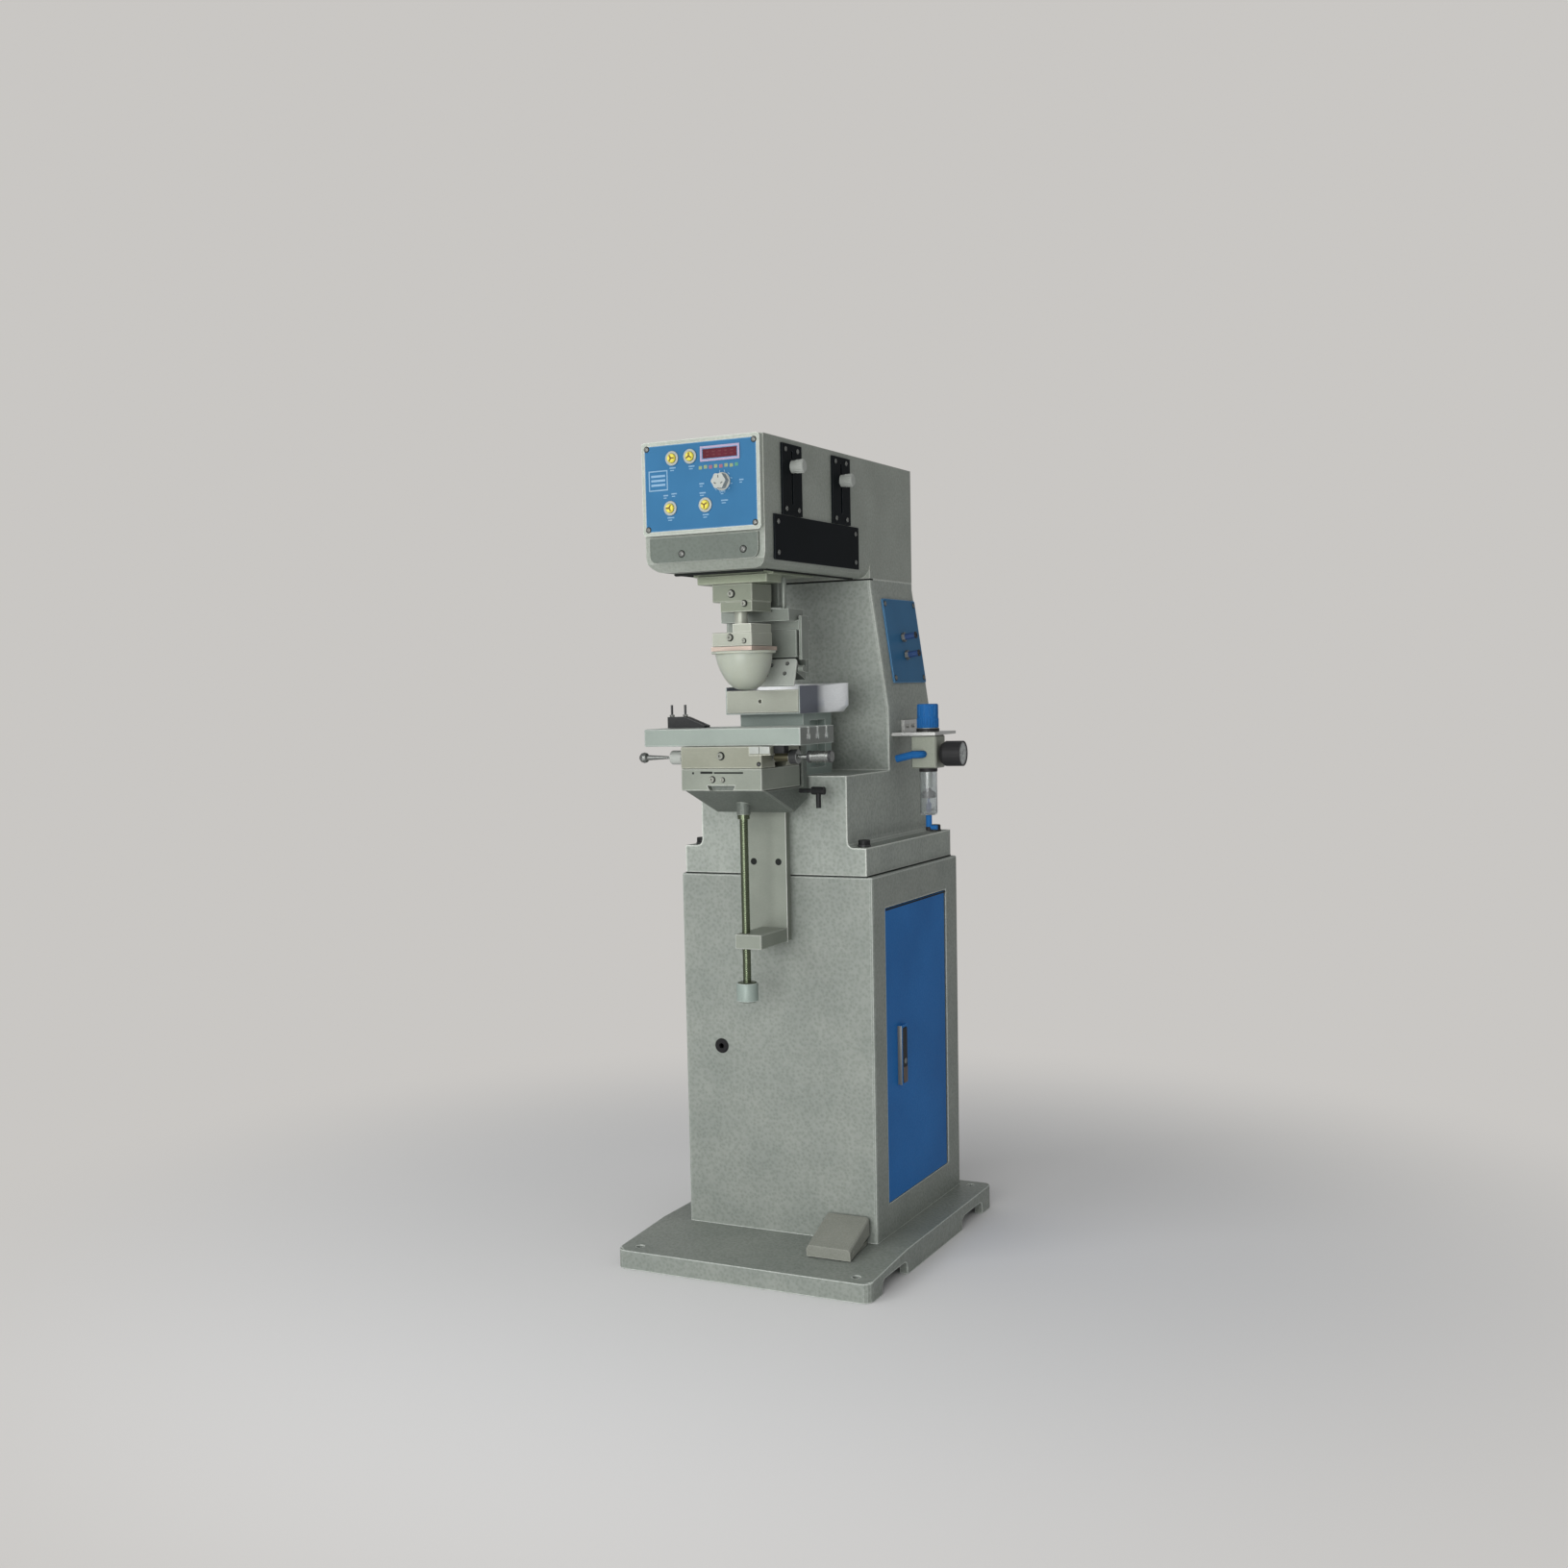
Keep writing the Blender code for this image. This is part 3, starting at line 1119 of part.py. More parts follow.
def side_guard():
    guard = block("side_guard", (STRIP_X, STRIP_X + GUARD_THICKNESS), (GUARD_FRONT_Y, GUARD_BACK_Y),
                  (GUARD_BOTTOM, GUARD_TOP))
    finish(guard, (0.03, 0.03, 0.03), 0.4)


# Valve panel, drawn upright on the column's right side and then tilted with it

def on_taper(*objects):
    """Hangs pieces drawn about the origin on the tapering side; their X runs out of its face."""
    for obj in objects:
        obj.parent = TAPER
        obj.matrix_parent_inverse = Matrix()


def valve_panel():
    panel = block("valve_panel", (GAP, GAP + VALVE_PANEL_THICKNESS), (VALVE_PANEL_FRONT_Y, VALVE_PANEL_BACK_Y),
                  centred(VALVE_PANEL_HEIGHT))
    round_edges(panel, VALVE_PANEL_CORNER, along("X"))
    finish(panel, (0.05, 0.21, 0.46), 0.45)
    on_taper(panel)
    face = GAP + VALVE_PANEL_THICKNESS + GAP
    for name, y, z in FITTINGS:
        end = FITTING_LENGTH
        profile = ((FITTING_BORE, end), (FITTING_SLEEVE, end), (FITTING_SLEEVE, FITTING_HEX_LENGTH),
                   (FITTING_HEX, FITTING_HEX_LENGTH), (FITTING_HEX, 0), (0, 0),
                   (0, end - FITTING_BORE_DEPTH), (FITTING_BORE, end - FITTING_BORE_DEPTH), (FITTING_BORE, end))
        fitting = turned("air_fitting_" + name, (face, y, z), (1, 0, 0), profile, SMALL_SIDES)
        finish(fitting, (0.05, 0.10, 0.30), 0.4)
        on_taper(fitting)


# Air preparation unit

def regulator_bracket():
    wall = NECK_WIDTH / 2 + GAP
    end = REGULATOR_X + BRACKET_REACH
    bracket = block("regulator_bracket", (wall, end), (BRACKET_FRONT_Y, BRACKET_BACK_Y),
                    (BRACKET_BOTTOM, BRACKET_TOP))
    add(bracket, block("bracket_flange", (wall, wall + BRACKET_THICKNESS),
                       (BRACKET_FLANGE_FRONT_Y, BRACKET_FLANGE_BACK_Y),
                       (BRACKET_BOTTOM, BRACKET_BOTTOM + BRACKET_FLANGE_HEIGHT)))
    cut(bracket, rod("bracket_bore", "Z", (REGULATOR_X, REGULATOR_Y), COLLAR_NECK_RADIUS + GAP,
                     (BRACKET_BOTTOM - OVERRUN, BRACKET_TOP + OVERRUN)))
    for y in BRACKET_BOLT_Y:
        z = BRACKET_TOP + (BRACKET_FLANGE_HEIGHT - BRACKET_THICKNESS) / 2
        bolt = rod("bracket_bolt", "X", (y, z), BRACKET_BOLT_RADIUS,
                   (wall + BRACKET_THICKNESS / 2, wall + BRACKET_THICKNESS + BRACKET_BOLT_RADIUS), SMALL_SIDES)
        add(bracket, bolt)
    finish(bracket, (0.62, 0.62, 0.60), 0.35, 0.8)


def regulator_body():
    across = centred(REGULATOR_SIZE, REGULATOR_X)
    deep = centred(REGULATOR_SIZE, REGULATOR_Y)
    body = block("regulator_body", across, deep, (REGULATOR_BOTTOM, REGULATOR_TOP))
    soften(body, REGULATOR_EDGE)
    top = COLLAR_TOP + SPIGOT_HEIGHT
    profile = ((0, top), (SPIGOT_RADIUS, top), (SPIGOT_RADIUS, COLLAR_TOP), (COLLAR_RADIUS, COLLAR_TOP),
               (COLLAR_RADIUS, COLLAR_BOTTOM), (COLLAR_NECK_RADIUS, COLLAR_BOTTOM),
               (COLLAR_NECK_RADIUS, REGULATOR_TOP - OVERRUN), (0, REGULATOR_TOP - OVERRUN))
    add(body, turned("regulator_collar", (REGULATOR_X, REGULATOR_Y, 0), (0, 0, 1), profile))
    finish(body, (0.48, 0.48, 0.44), 0.4, 0.3)


def regulator_knob():
    spindle = pivot("regulator_turn", (REGULATOR_X, REGULATOR_Y, COLLAR_TOP), ROOT)
    low = COLLAR_TOP + GAP
    high = low + REGULATOR_KNOB_HEIGHT
    bore_top = COLLAR_TOP + SPIGOT_HEIGHT + GAP
    bore = SPIGOT_RADIUS + GAP
    edge = REGULATOR_KNOB_EDGE
    radius = REGULATOR_KNOB_RADIUS
    profile = ((0, high), (radius - edge, high), (radius, high - edge), (radius, low), (bore, low),
               (bore, bore_top), (0, bore_top))
    knob = turned("regulator_knob", (REGULATOR_X, REGULATOR_Y, 0), (0, 0, 1), profile)
    for i in range(REGULATOR_KNOB_FLUTES):
        angle = 2 * math.pi * i / REGULATOR_KNOB_FLUTES
        place = (REGULATOR_X + radius * math.cos(angle), REGULATOR_Y + radius * math.sin(angle))
        cut(knob, rod("knob_flute", "Z", place, REGULATOR_FLUTE, (low + REGULATOR_KNOB_HEIGHT / 2, high + OVERRUN),
                      SMALL_SIDES // 2))
    finish(knob, (0.06, 0.25, 0.52), 0.45)
    ride(spindle, knob)


def gauge():
    stem = REGULATOR_X + REGULATOR_SIZE / 2 + GAP
    case = GAUGE_END_X - GAUGE_CASE_LENGTH
    neck = case - GAUGE_NECK_LENGTH
    dial = GAUGE_END_X - GAUGE_DIAL_DEPTH
    bezel = GAUGE_RADIUS - GAUGE_BEZEL
    pin_end = dial + GAUGE_DIAL_DEPTH / 4
    profile = ((bezel, GAUGE_END_X), (GAUGE_RADIUS, GAUGE_END_X), (GAUGE_RADIUS, case),
               (GAUGE_NECK_RADIUS, neck), (GAUGE_STEM_RADIUS, neck), (GAUGE_STEM_RADIUS, stem), (0, stem),
               (0, pin_end), (NEEDLE_PIN_RADIUS, pin_end), (NEEDLE_PIN_RADIUS, dial), (bezel, dial),
               (bezel, GAUGE_END_X))
    body = turned("gauge_body", (0, REGULATOR_Y, GAUGE_Z), (1, 0, 0), profile)
    finish(body, (0.03, 0.03, 0.03), 0.4)
    back = pin_end + GAP
    spindle = pivot("needle_turn", (back, REGULATOR_Y, GAUGE_Z), ROOT)
    shape = ((-NEEDLE_WIDTH / 2, NEEDLE_TAIL), (-NEEDLE_WIDTH / 4, -NEEDLE_LENGTH),
             (NEEDLE_WIDTH / 4, -NEEDLE_LENGTH), (NEEDLE_WIDTH / 2, NEEDLE_TAIL))
    rest = Matrix.Rotation(-NEEDLE_REST, 2)
    points = [Vector((REGULATOR_Y, GAUGE_Z)) + rest @ Vector(point) for point in shape]
    needle = prism("gauge_needle", "YZ", points, (back, back + NEEDLE_THICKNESS))
    add(needle, rod("needle_hub", "X", (REGULATOR_Y, GAUGE_Z), NEEDLE_HUB, (back, back + NEEDLE_THICKNESS + GAP),
                    SMALL_SIDES))
    finish(needle, (0.02, 0.02, 0.02), 0.4)
    ride(spindle, needle)


def filter_bowl():
    top = REGULATOR_BOTTOM - GAP
    profile = ((0, top), (BOWL_RADIUS, top), (BOWL_RADIUS, BOWL_BOTTOM + BOWL_SHOULDER),
               (BOWL_RADIUS - BOWL_SHOULDER, BOWL_BOTTOM), (0, BOWL_BOTTOM))
    bowl = turned("filter_bowl", (REGULATOR_X, REGULATOR_Y, 0), (0, 0, 1), profile)
    finish(bowl, (0.70, 0.72, 0.70), 0.15)
    drain = rod("bowl_drain", "Z", (REGULATOR_X, REGULATOR_Y), DRAIN_RADIUS, (DRAIN_BOTTOM, BOWL_BOTTOM - GAP),
                SMALL_SIDES)
    tap_z = DRAIN_BOTTOM + DRAIN_TAP_RADIUS + BITE
    add(drain, rod("drain_tap", "X", (REGULATOR_Y, tap_z), DRAIN_TAP_RADIUS,
                   (REGULATOR_X, REGULATOR_X + DRAIN_TAP_LENGTH), SMALL_SIDES))
    finish(drain, (0.04, 0.12, 0.42), 0.4)


def regulator_elbow():
    front = REGULATOR_Y - REGULATOR_SIZE / 2 - GAP
    corner = front - ELBOW_REACH
    bend = 2 * ELBOW_RADIUS
    z = GAUGE_Z
    path = [(REGULATOR_X, front, z)]
    for x, y in arc((REGULATOR_X - bend, corner + bend), bend, 0, -90, ARC_STEPS):
        path.append((x, y, z))
    path.append((ELBOW_END_X, corner, z - ELBOW_DROP))
    finish(tube("regulator_elbow", path, ELBOW_RADIUS), (0.04, 0.14, 0.50), 0.35)


# Dovetail guide, nut, knee and lift screw

def dovetail(neck, head, foot, tip, spread=0.0):
    """Right half of a dovetail from its foot to its tip, widened by spread; mirrored by the caller."""
    return ((neck / 2 + spread, foot), (head / 2 + spread, tip))


def guide_plate():
    half = ((GUIDE_STRIP_WIDTH / 2, GUIDE_BACK_Y), (GUIDE_STRIP_WIDTH / 2, GUIDE_NECK_Y),
            *dovetail(GUIDE_NECK_WIDTH, GUIDE_HEAD_WIDTH, GUIDE_NECK_Y, GUIDE_FRONT_Y))
    outline = half + tuple((-x, y) for x, y in reversed(half))
    finish(prism("guide_plate", "XY", outline, (GUIDE_BOTTOM, GUIDE_TOP)), (0.50, 0.52, 0.48), 0.35, 0.9)


def nut_bracket():
    """The nut stands in front of the guide, so its front lies past the guide's face."""
    x = (NUT_BRACKET_LEFT_X, NUT_BRACKET_RIGHT_X)
    z = (GUIDE_BOTTOM, GUIDE_BOTTOM + NUT_BRACKET_HEIGHT)
    bracket = block("nut_bracket", x, (NUT_BRACKET_FRONT_Y, GUIDE_FRONT_Y - GAP), z)
    soften(bracket, BITE)
    cut(bracket, rod("nut_bore", "Z", (0, LIFT_SCREW_Y), LIFT_SCREW_RADIUS + RUNNING_GAP,
                     (z[0] - OVERRUN, z[1] + OVERRUN)))
    finish(bracket, (0.50, 0.50, 0.42), 0.4, 0.6)


def knee():
    slide = pivot("knee_lift", (0, GUIDE_FRONT_Y, KNEE_BOTTOM), ROOT)
    wall = GUIDE_FRONT_Y - GAP - (KNEE_WALL - GUIDE_HEAD_DEPTH)
    side = ((KNEE_FRONT_Y, KNEE_TOP), (KNEE_LIP_Y, KNEE_LIP_Z), (KNEE_HEEL_Y, KNEE_BOTTOM),
            (KNEE_BACK_Y, KNEE_BACK_Z), (KNEE_BACK_Y, KNEE_WALL_TOP), (wall, KNEE_WALL_TOP), (wall, KNEE_TOP))
    body = prism("knee", "YZ", side, centred(KNEE_WIDTH))
    soften(body, KNEE_EDGE)
    neck, head = dovetail(GUIDE_NECK_WIDTH, GUIDE_HEAD_WIDTH, GUIDE_NECK_Y, GUIDE_FRONT_Y - GAP, GAP)
    slope = (head[0] - neck[0]) / (head[1] - neck[1])
    mouth = (neck[0] - slope * OVERRUN, neck[1] + OVERRUN)
    half = (mouth, head)
    channel = half + tuple((-x, y) for x, y in reversed(half))
    cut(body, prism("knee_channel", "XY", channel, (KNEE_BOTTOM - OVERRUN, KNEE_WALL_TOP + OVERRUN)))
    add(body, rod("screw_boss", "Z", (0, LIFT_SCREW_Y), KNEE_BOSS_RADIUS, (KNEE_BOTTOM, KNEE_LIP_Z + BITE)),
        slide_rail("knee_rail", "XZ", 0, KNEE_TOP, (SLIDE_FRONT_Y + OVERRUN, wall + BITE), 0))
    cut(body, rod("clamp_hole", "X", (CLAMP_Y, CLAMP_Z), CLAMP_STUD_RADIUS + GAP,
                  (KNEE_WIDTH / 2 - CLAMP_STUD_SEAT - GAP, KNEE_WIDTH / 2 + OVERRUN), SMALL_SIDES))
    finish(body, (0.40, 0.44, 0.41), 0.4, 0.7)
    ride(slide, body)
    return slide


def slide_rail(name, plane, middle, foot, limits, spread):
    """A dovetail rail on a slide's top face, or with spread its groove in the slide above."""
    tip = foot + RAIL_DOVETAIL_HEIGHT + spread
    neck, head = dovetail(RAIL_DOVETAIL_NECK, RAIL_DOVETAIL_HEAD, foot, tip, spread)
    low = (neck[0], foot - BITE)
    half = (low, neck, head)
    outline = tuple((middle + x, z) for x, z in half) + tuple((middle - x, z) for x, z in reversed(half))
    return prism(name, plane, outline, limits)


def lift_screw(slide):
    """Screw, thrust collar and hand knob in one turned piece under the knee."""
    spindle = pivot("lift_screw_turn", (0, LIFT_SCREW_Y, KNEE_BOTTOM), slide)
    top = KNEE_BOTTOM - GAP
    knob = LIFT_SCREW_BOTTOM - LIFT_KNOB_HEIGHT
    edge = LIFT_KNOB_EDGE
    profile = ((0, top), (LIFT_COLLAR_RADIUS, top), (LIFT_COLLAR_RADIUS, top - LIFT_COLLAR_HEIGHT),
               (LIFT_SCREW_RADIUS, top - LIFT_COLLAR_HEIGHT), (LIFT_SCREW_RADIUS, LIFT_SCREW_BOTTOM),
               (LIFT_KNOB_RADIUS - edge, LIFT_SCREW_BOTTOM), (LIFT_KNOB_RADIUS, LIFT_SCREW_BOTTOM - edge),
               (LIFT_KNOB_RADIUS, knob + edge), (LIFT_KNOB_RADIUS - edge, knob), (0, knob))
    screw = turned("lift_screw", (0, LIFT_SCREW_Y, 0), (0, 0, 1), profile)
    finish(screw, (0.55, 0.56, 0.55), 0.35, 0.8)
    ride(spindle, screw)


def clamp_lever(slide):
    side = KNEE_WIDTH / 2
    spindle = pivot("clamp_turn", (side, CLAMP_Y, CLAMP_Z), slide)
    hub_start = side + GAP + CLAMP_STUD_LENGTH
    hub_end = hub_start + CLAMP_HUB_LENGTH
    lever = rod("clamp_lever", "X", (CLAMP_Y, CLAMP_Z), CLAMP_HUB_RADIUS, (hub_start, hub_end), SMALL_SIDES)
    add(lever, rod("clamp_stud", "X", (CLAMP_Y, CLAMP_Z), CLAMP_STUD_RADIUS,
                   (side - CLAMP_STUD_SEAT, hub_start + BITE), SMALL_SIDES))
    add(lever, rod("clamp_handle", "Z", ((hub_start + hub_end) / 2, CLAMP_Y), CLAMP_HANDLE_RADIUS,
                   (CLAMP_Z - CLAMP_HANDLE_LENGTH, CLAMP_Z), SMALL_SIDES))
    finish(lever, (0.03, 0.03, 0.03), 0.4)
    ride(spindle, lever)


# Cross slides and work table

def slides(knee_slide):
    lower_slide = pivot("table_slide_y", (0, SLIDE_MIDDLE_Y, SLIDE_LOWER_BOTTOM), knee_slide)
    y = (SLIDE_FRONT_Y, SLIDE_BACK_Y)
    lower_top = SLIDE_LOWER_BOTTOM + SLIDE_HEIGHT
    lower = block("slide_lower", centred(SLIDE_WIDTH), y, (SLIDE_LOWER_BOTTOM, lower_top))
    soften(lower, SLIDE_EDGE)
    cut(lower, slide_rail("lower_groove", "XZ", 0, KNEE_TOP, (SLIDE_FRONT_Y - OVERRUN, SLIDE_BACK_Y + OVERRUN), GAP))
    half = SLIDE_WIDTH / 2 - RAIL_END_INSET
    add(lower, slide_rail("lower_rail", "YZ", SLIDE_MIDDLE_Y, lower_top, (-half, half), 0))
    finish(lower, (0.46, 0.49, 0.43), 0.35, 0.8)
    ride(lower_slide, lower)
    upper_slide = pivot("table_slide_x", (0, SLIDE_MIDDLE_Y, SLIDE_UPPER_BOTTOM), lower_slide)
    upper = block("slide_upper", centred(SLIDE_WIDTH), y, (SLIDE_UPPER_BOTTOM, SLIDE_UPPER_TOP))
    soften(upper, SLIDE_EDGE)
    cut(upper, slide_rail("upper_groove", "YZ", SLIDE_MIDDLE_Y, lower_top,
                          centred(SLIDE_WIDTH + 2 * OVERRUN), GAP))
    cut(upper, rod("table_screw_bore", "X", (TABLE_SCREW_Y, TABLE_SCREW_Z), TABLE_SCREW_BORE,
                   centred(SLIDE_WIDTH + 2 * OVERRUN), SMALL_SIDES))
    add(upper, block("stop_block", (STOP_BLOCK_LEFT_X, STOP_BLOCK_RIGHT_X),
                     (STOP_BLOCK_FRONT_Y, STOP_BLOCK_BACK_Y), (STOP_BLOCK_BOTTOM, STOP_BLOCK_TOP)))
    finish(upper, (0.46, 0.49, 0.43), 0.35, 0.8)
    ride(upper_slide, upper)
    return upper_slide


def t_slot(name, y):
    """The neck and the wider head of a slot that runs the table's whole length."""
    x = (TABLE_LEFT_X - OVERRUN, TABLE_RIGHT_X + OVERRUN)
    shoulder = TABLE_TOP - T_SLOT_NECK_DEPTH
    floor = shoulder - T_SLOT_HEAD_DEPTH
    half = ((T_SLOT_NECK / 2, TABLE_TOP + OVERRUN), (T_SLOT_NECK / 2, shoulder), (T_SLOT_HEAD / 2, shoulder),
            (T_SLOT_HEAD / 2, floor))
    outline = tuple((y + a, z) for a, z in half) + tuple((y - a, z) for a, z in reversed(half))
    return prism(name, "YZ", outline, x)


def work_table(upper_slide):
    table = block("work_table", (TABLE_LEFT_X, TABLE_RIGHT_X), (TABLE_FRONT_Y, TABLE_BACK_Y),
                  (TABLE_BOTTOM, TABLE_TOP))
    soften(table, TABLE_EDGE)
    for i in (-1, 0, 1):
        cut(table, t_slot("t_slot", TABLE_MIDDLE_Y + i * T_SLOT_PITCH))
    finish(table, (0.47, 0.52, 0.49), 0.35, 0.7)
    ride(upper_slide, table)


def table_screw(upper_slide):
    """One spindle: ball, rod, knurled collar, disc and hand knob."""
    spindle = pivot("table_screw_turn", (0, TABLE_SCREW_Y, TABLE_SCREW_Z), upper_slide)
    half = SLIDE_WIDTH / 2 + GAP
    r = TABLE_SCREW_RADIUS
    knob = TABLE_KNOB_RADIUS
    edge = BITE
    ball = [(TABLE_BALL_RADIUS * math.sin(math.radians(a)), TABLE_BALL_X + TABLE_BALL_RADIUS * math.cos(math.radians(a)))
            for a in range(30, 180, 30)]
    profile = ((0, TABLE_KNOB_RIGHT_X), (knob - edge, TABLE_KNOB_RIGHT_X), (knob, TABLE_KNOB_RIGHT_X - edge),
               (knob, TABLE_KNOB_LEFT_X + edge), (knob - edge, TABLE_KNOB_LEFT_X), (r, TABLE_KNOB_LEFT_X),
               (r, TABLE_DISC_RIGHT_X), (TABLE_COLLAR_RADIUS, TABLE_DISC_RIGHT_X),
               (TABLE_COLLAR_RADIUS, TABLE_DISC_LEFT_X), (r, TABLE_DISC_LEFT_X), (r, -half),
               (TABLE_COLLAR_RADIUS, -half), (TABLE_COLLAR_RADIUS, -half - TABLE_COLLAR_LENGTH),
               (r / 2, -half - TABLE_COLLAR_LENGTH), *ball[:], (0, TABLE_BALL_X - TABLE_BALL_RADIUS))
    screw = turned("table_screw", (0, TABLE_SCREW_Y, TABLE_SCREW_Z), (1, 0, 0), profile, SMALL_SIDES + 4)
    finish(screw, (0.20, 0.20, 0.20), 0.3, 0.8)
    ride(spindle, screw)


def toe_clamp(upper_slide):
    low = TABLE_TOP + GAP
    across = centred(TOE_WIDTH, TOE_Y)
    side = ((TOE_BODY_LEFT_X, low), (TOE_TIP_X, low), (TOE_TIP_X, low + TOE_TIP_HEIGHT),
            (TOE_BODY_RIGHT_X, low + TOE_BODY_HEIGHT), (TOE_BODY_LEFT_X, low + TOE_BODY_HEIGHT))
    clamp = prism("toe_clamp", "XZ", side, across)
    for i in (-1, 1):
        x = (TOE_BODY_LEFT_X + TOE_BODY_RIGHT_X) / 2 + i * TOE_PIN_SPACING / 2
        add(clamp, rod("toe_pin", "Z", (x, TOE_Y), TOE_PIN_RADIUS, (low + BITE, low + TOE_PIN_HEIGHT), SMALL_SIDES))
    middle = (TOE_BODY_LEFT_X + TOE_BODY_RIGHT_X) / 2
    shoulder = TABLE_TOP - T_SLOT_NECK_DEPTH - GAP
    add(clamp, block("toe_neck", centred(TOE_NECK_WIDTH, middle), centred(TOE_NECK_WIDTH, TOE_Y),
                     (shoulder - BITE, low + BITE)))
    add(clamp, block("toe_nut", centred(TOE_NUT_LENGTH, middle), centred(TOE_NUT_WIDTH, TOE_Y),
                     (shoulder - TOE_NUT_HEIGHT, shoulder)))
    finish(clamp, (0.05, 0.05, 0.05), 0.4)
    ride(upper_slide, clamp)


# Carriage with the pad and the doctor unit

def carriage():
    slide = pivot("carriage_slide", (0, (BLOCK_FRONT_Y + BLOCK_BACK_Y) / 2, RAIL_Z), ROOT)
    body = block("carriage", centred(CARRIAGE_WIDTH), (CARRIAGE_FRONT_Y, CARRIAGE_BACK_Y),
                 (CARRIAGE_BOTTOM, CARRIAGE_TOP))
    soften(body, CARRIAGE_EDGE)
    add(body, block("carriage_block", centred(BLOCK_WIDTH), (BLOCK_FRONT_Y, BLOCK_BACK_Y),
                    (CARRIAGE_TOP - BITE, BLOCK_TOP)))
    add(body, rod("pad_cylinder", "Z", (0, PAD_Y), PAD_CYLINDER_RADIUS, (BLOCK_TOP - BITE, PAD_CYLINDER_TOP)))
    add(body, rod("stroke_rod", "Y", (0, RAIL_Z), STROKE_ROD_RADIUS,
                  (BLOCK_BACK_Y - BITE, STROKE_CYLINDER_FRONT_Y + STROKE_ROD_ENGAGEMENT), SMALL_SIDES))
    for side in (-1, 1):
        cut(body, rod("rail_bore", "Y", (side * RAIL_X, RAIL_Z), RAIL_RADIUS + RUNNING_GAP,
                      (BLOCK_FRONT_Y - OVERRUN, BLOCK_BACK_Y + OVERRUN)))
        cut(body, rod("blade_rod_bore", "Z", (side * BLADE_ROD_X, BLADE_ROD_Y), BLADE_ROD_RADIUS + RUNNING_GAP,
                      (CARRIAGE_BOTTOM - OVERRUN, BLADE_ROD_TOP + RUNNING_GAP), SMALL_SIDES))
    cut(body, rod("pad_rod_bore", "Z", (0, PAD_Y), PAD_ROD_RADIUS + RUNNING_GAP,
                  (CARRIAGE_BOTTOM - OVERRUN, PAD_ROD_TOP + RUNNING_GAP)))
    finish(body, (0.40, 0.42, 0.38), 0.4, 0.7)
    ride(slide, body)
    return slide


def rails():
    y = (HEAD_FRONT_Y + HEAD_WALL + GAP, FRAME_BACK_Y - HEAD_WALL - GAP)
    for name, side in (("left", -1), ("right", 1)):
        finish(rod("rail_" + name, "Y", (side * RAIL_X, RAIL_Z), RAIL_RADIUS, y), (0.6, 0.6, 0.6), 0.2, 1.0)
    cylinder = rod("stroke_cylinder", "Y", (0, RAIL_Z), STROKE_CYLINDER_RADIUS, (STROKE_CYLINDER_FRONT_Y, y[1]))
    depth = STROKE_ROD_ENGAGEMENT + CARRIAGE_TRAVEL + GAP
    cut(cylinder, rod("stroke_bore", "Y", (0, RAIL_Z), STROKE_BORE_RADIUS,
                      (STROKE_CYLINDER_FRONT_Y - OVERRUN, STROKE_CYLINDER_FRONT_Y + depth)))
    finish(cylinder, (0.55, 0.55, 0.56), 0.3, 0.9)


def pad_ram_block(slide):
    y = (RAM_BLOCK_FRONT_Y, RAM_BLOCK_BACK_Y)
    upper = block("pad_ram_block", centred(RAM_BLOCK_WIDTH), y, (RAM_BLOCK_BOTTOM, RAM_BLOCK_TOP))
    soften(upper, CARRIAGE_EDGE)
    low = RAM_BLOCK_BOTTOM - RAM_STEP_HEIGHT
    add(upper, block("ram_step", (RAM_STEP_LEFT_X, RAM_STEP_RIGHT_X), (y[0] + BITE, y[1] - BITE),
                     (low, RAM_BLOCK_BOTTOM + BITE)))
    cut(upper, rod("ram_bore", "Z", (0, PAD_Y), PAD_ROD_RADIUS + RUNNING_GAP,
                   (low - OVERRUN, RAM_BLOCK_TOP + OVERRUN)))
    finish(upper, (0.46, 0.49, 0.43), 0.35, 0.7)
    ride(slide, upper)


def pad_unit(slide):
    ram = pivot("pad_stroke", (0, PAD_Y, PAD_HOLDER_TOP), slide)
    holder = block("pad_rod", centred(PAD_HOLDER_WIDTH), (PAD_HOLDER_FRONT_Y, PAD_HOLDER_BACK_Y),
                   (PAD_HOLDER_BOTTOM, PAD_HOLDER_TOP))
    soften(holder, BITE)
    add(holder, block("pad_step", (PAD_STEP_LEFT_X, PAD_STEP_RIGHT_X),
                      (PAD_HOLDER_FRONT_Y + BITE, PAD_HOLDER_BACK_Y - BITE), (PAD_HOLDER_TOP - BITE, PAD_STEP_TOP)),
        rod("pad_rod_shaft", "Z", (0, PAD_Y), PAD_ROD_RADIUS, (PAD_HOLDER_TOP - BITE, PAD_ROD_TOP)))
    finish(holder, (0.50, 0.53, 0.50), 0.35, 0.6)
    backing = block("pad_backing", centred(BACKING_WIDTH), (BACKING_FRONT_Y, BACKING_BACK_Y),
                    (PAD_BACKING_TOP - BACKING_THICKNESS, PAD_BACKING_TOP))
    finish(backing, (0.52, 0.42, 0.36), 0.7)
    pad = turned("silicone_pad", (0, PAD_Y, 0), (0, 0, 1), pad_profile())
    finish(pad, (0.58, 0.60, 0.55), 0.45)
    ride(ram, holder, backing, pad)


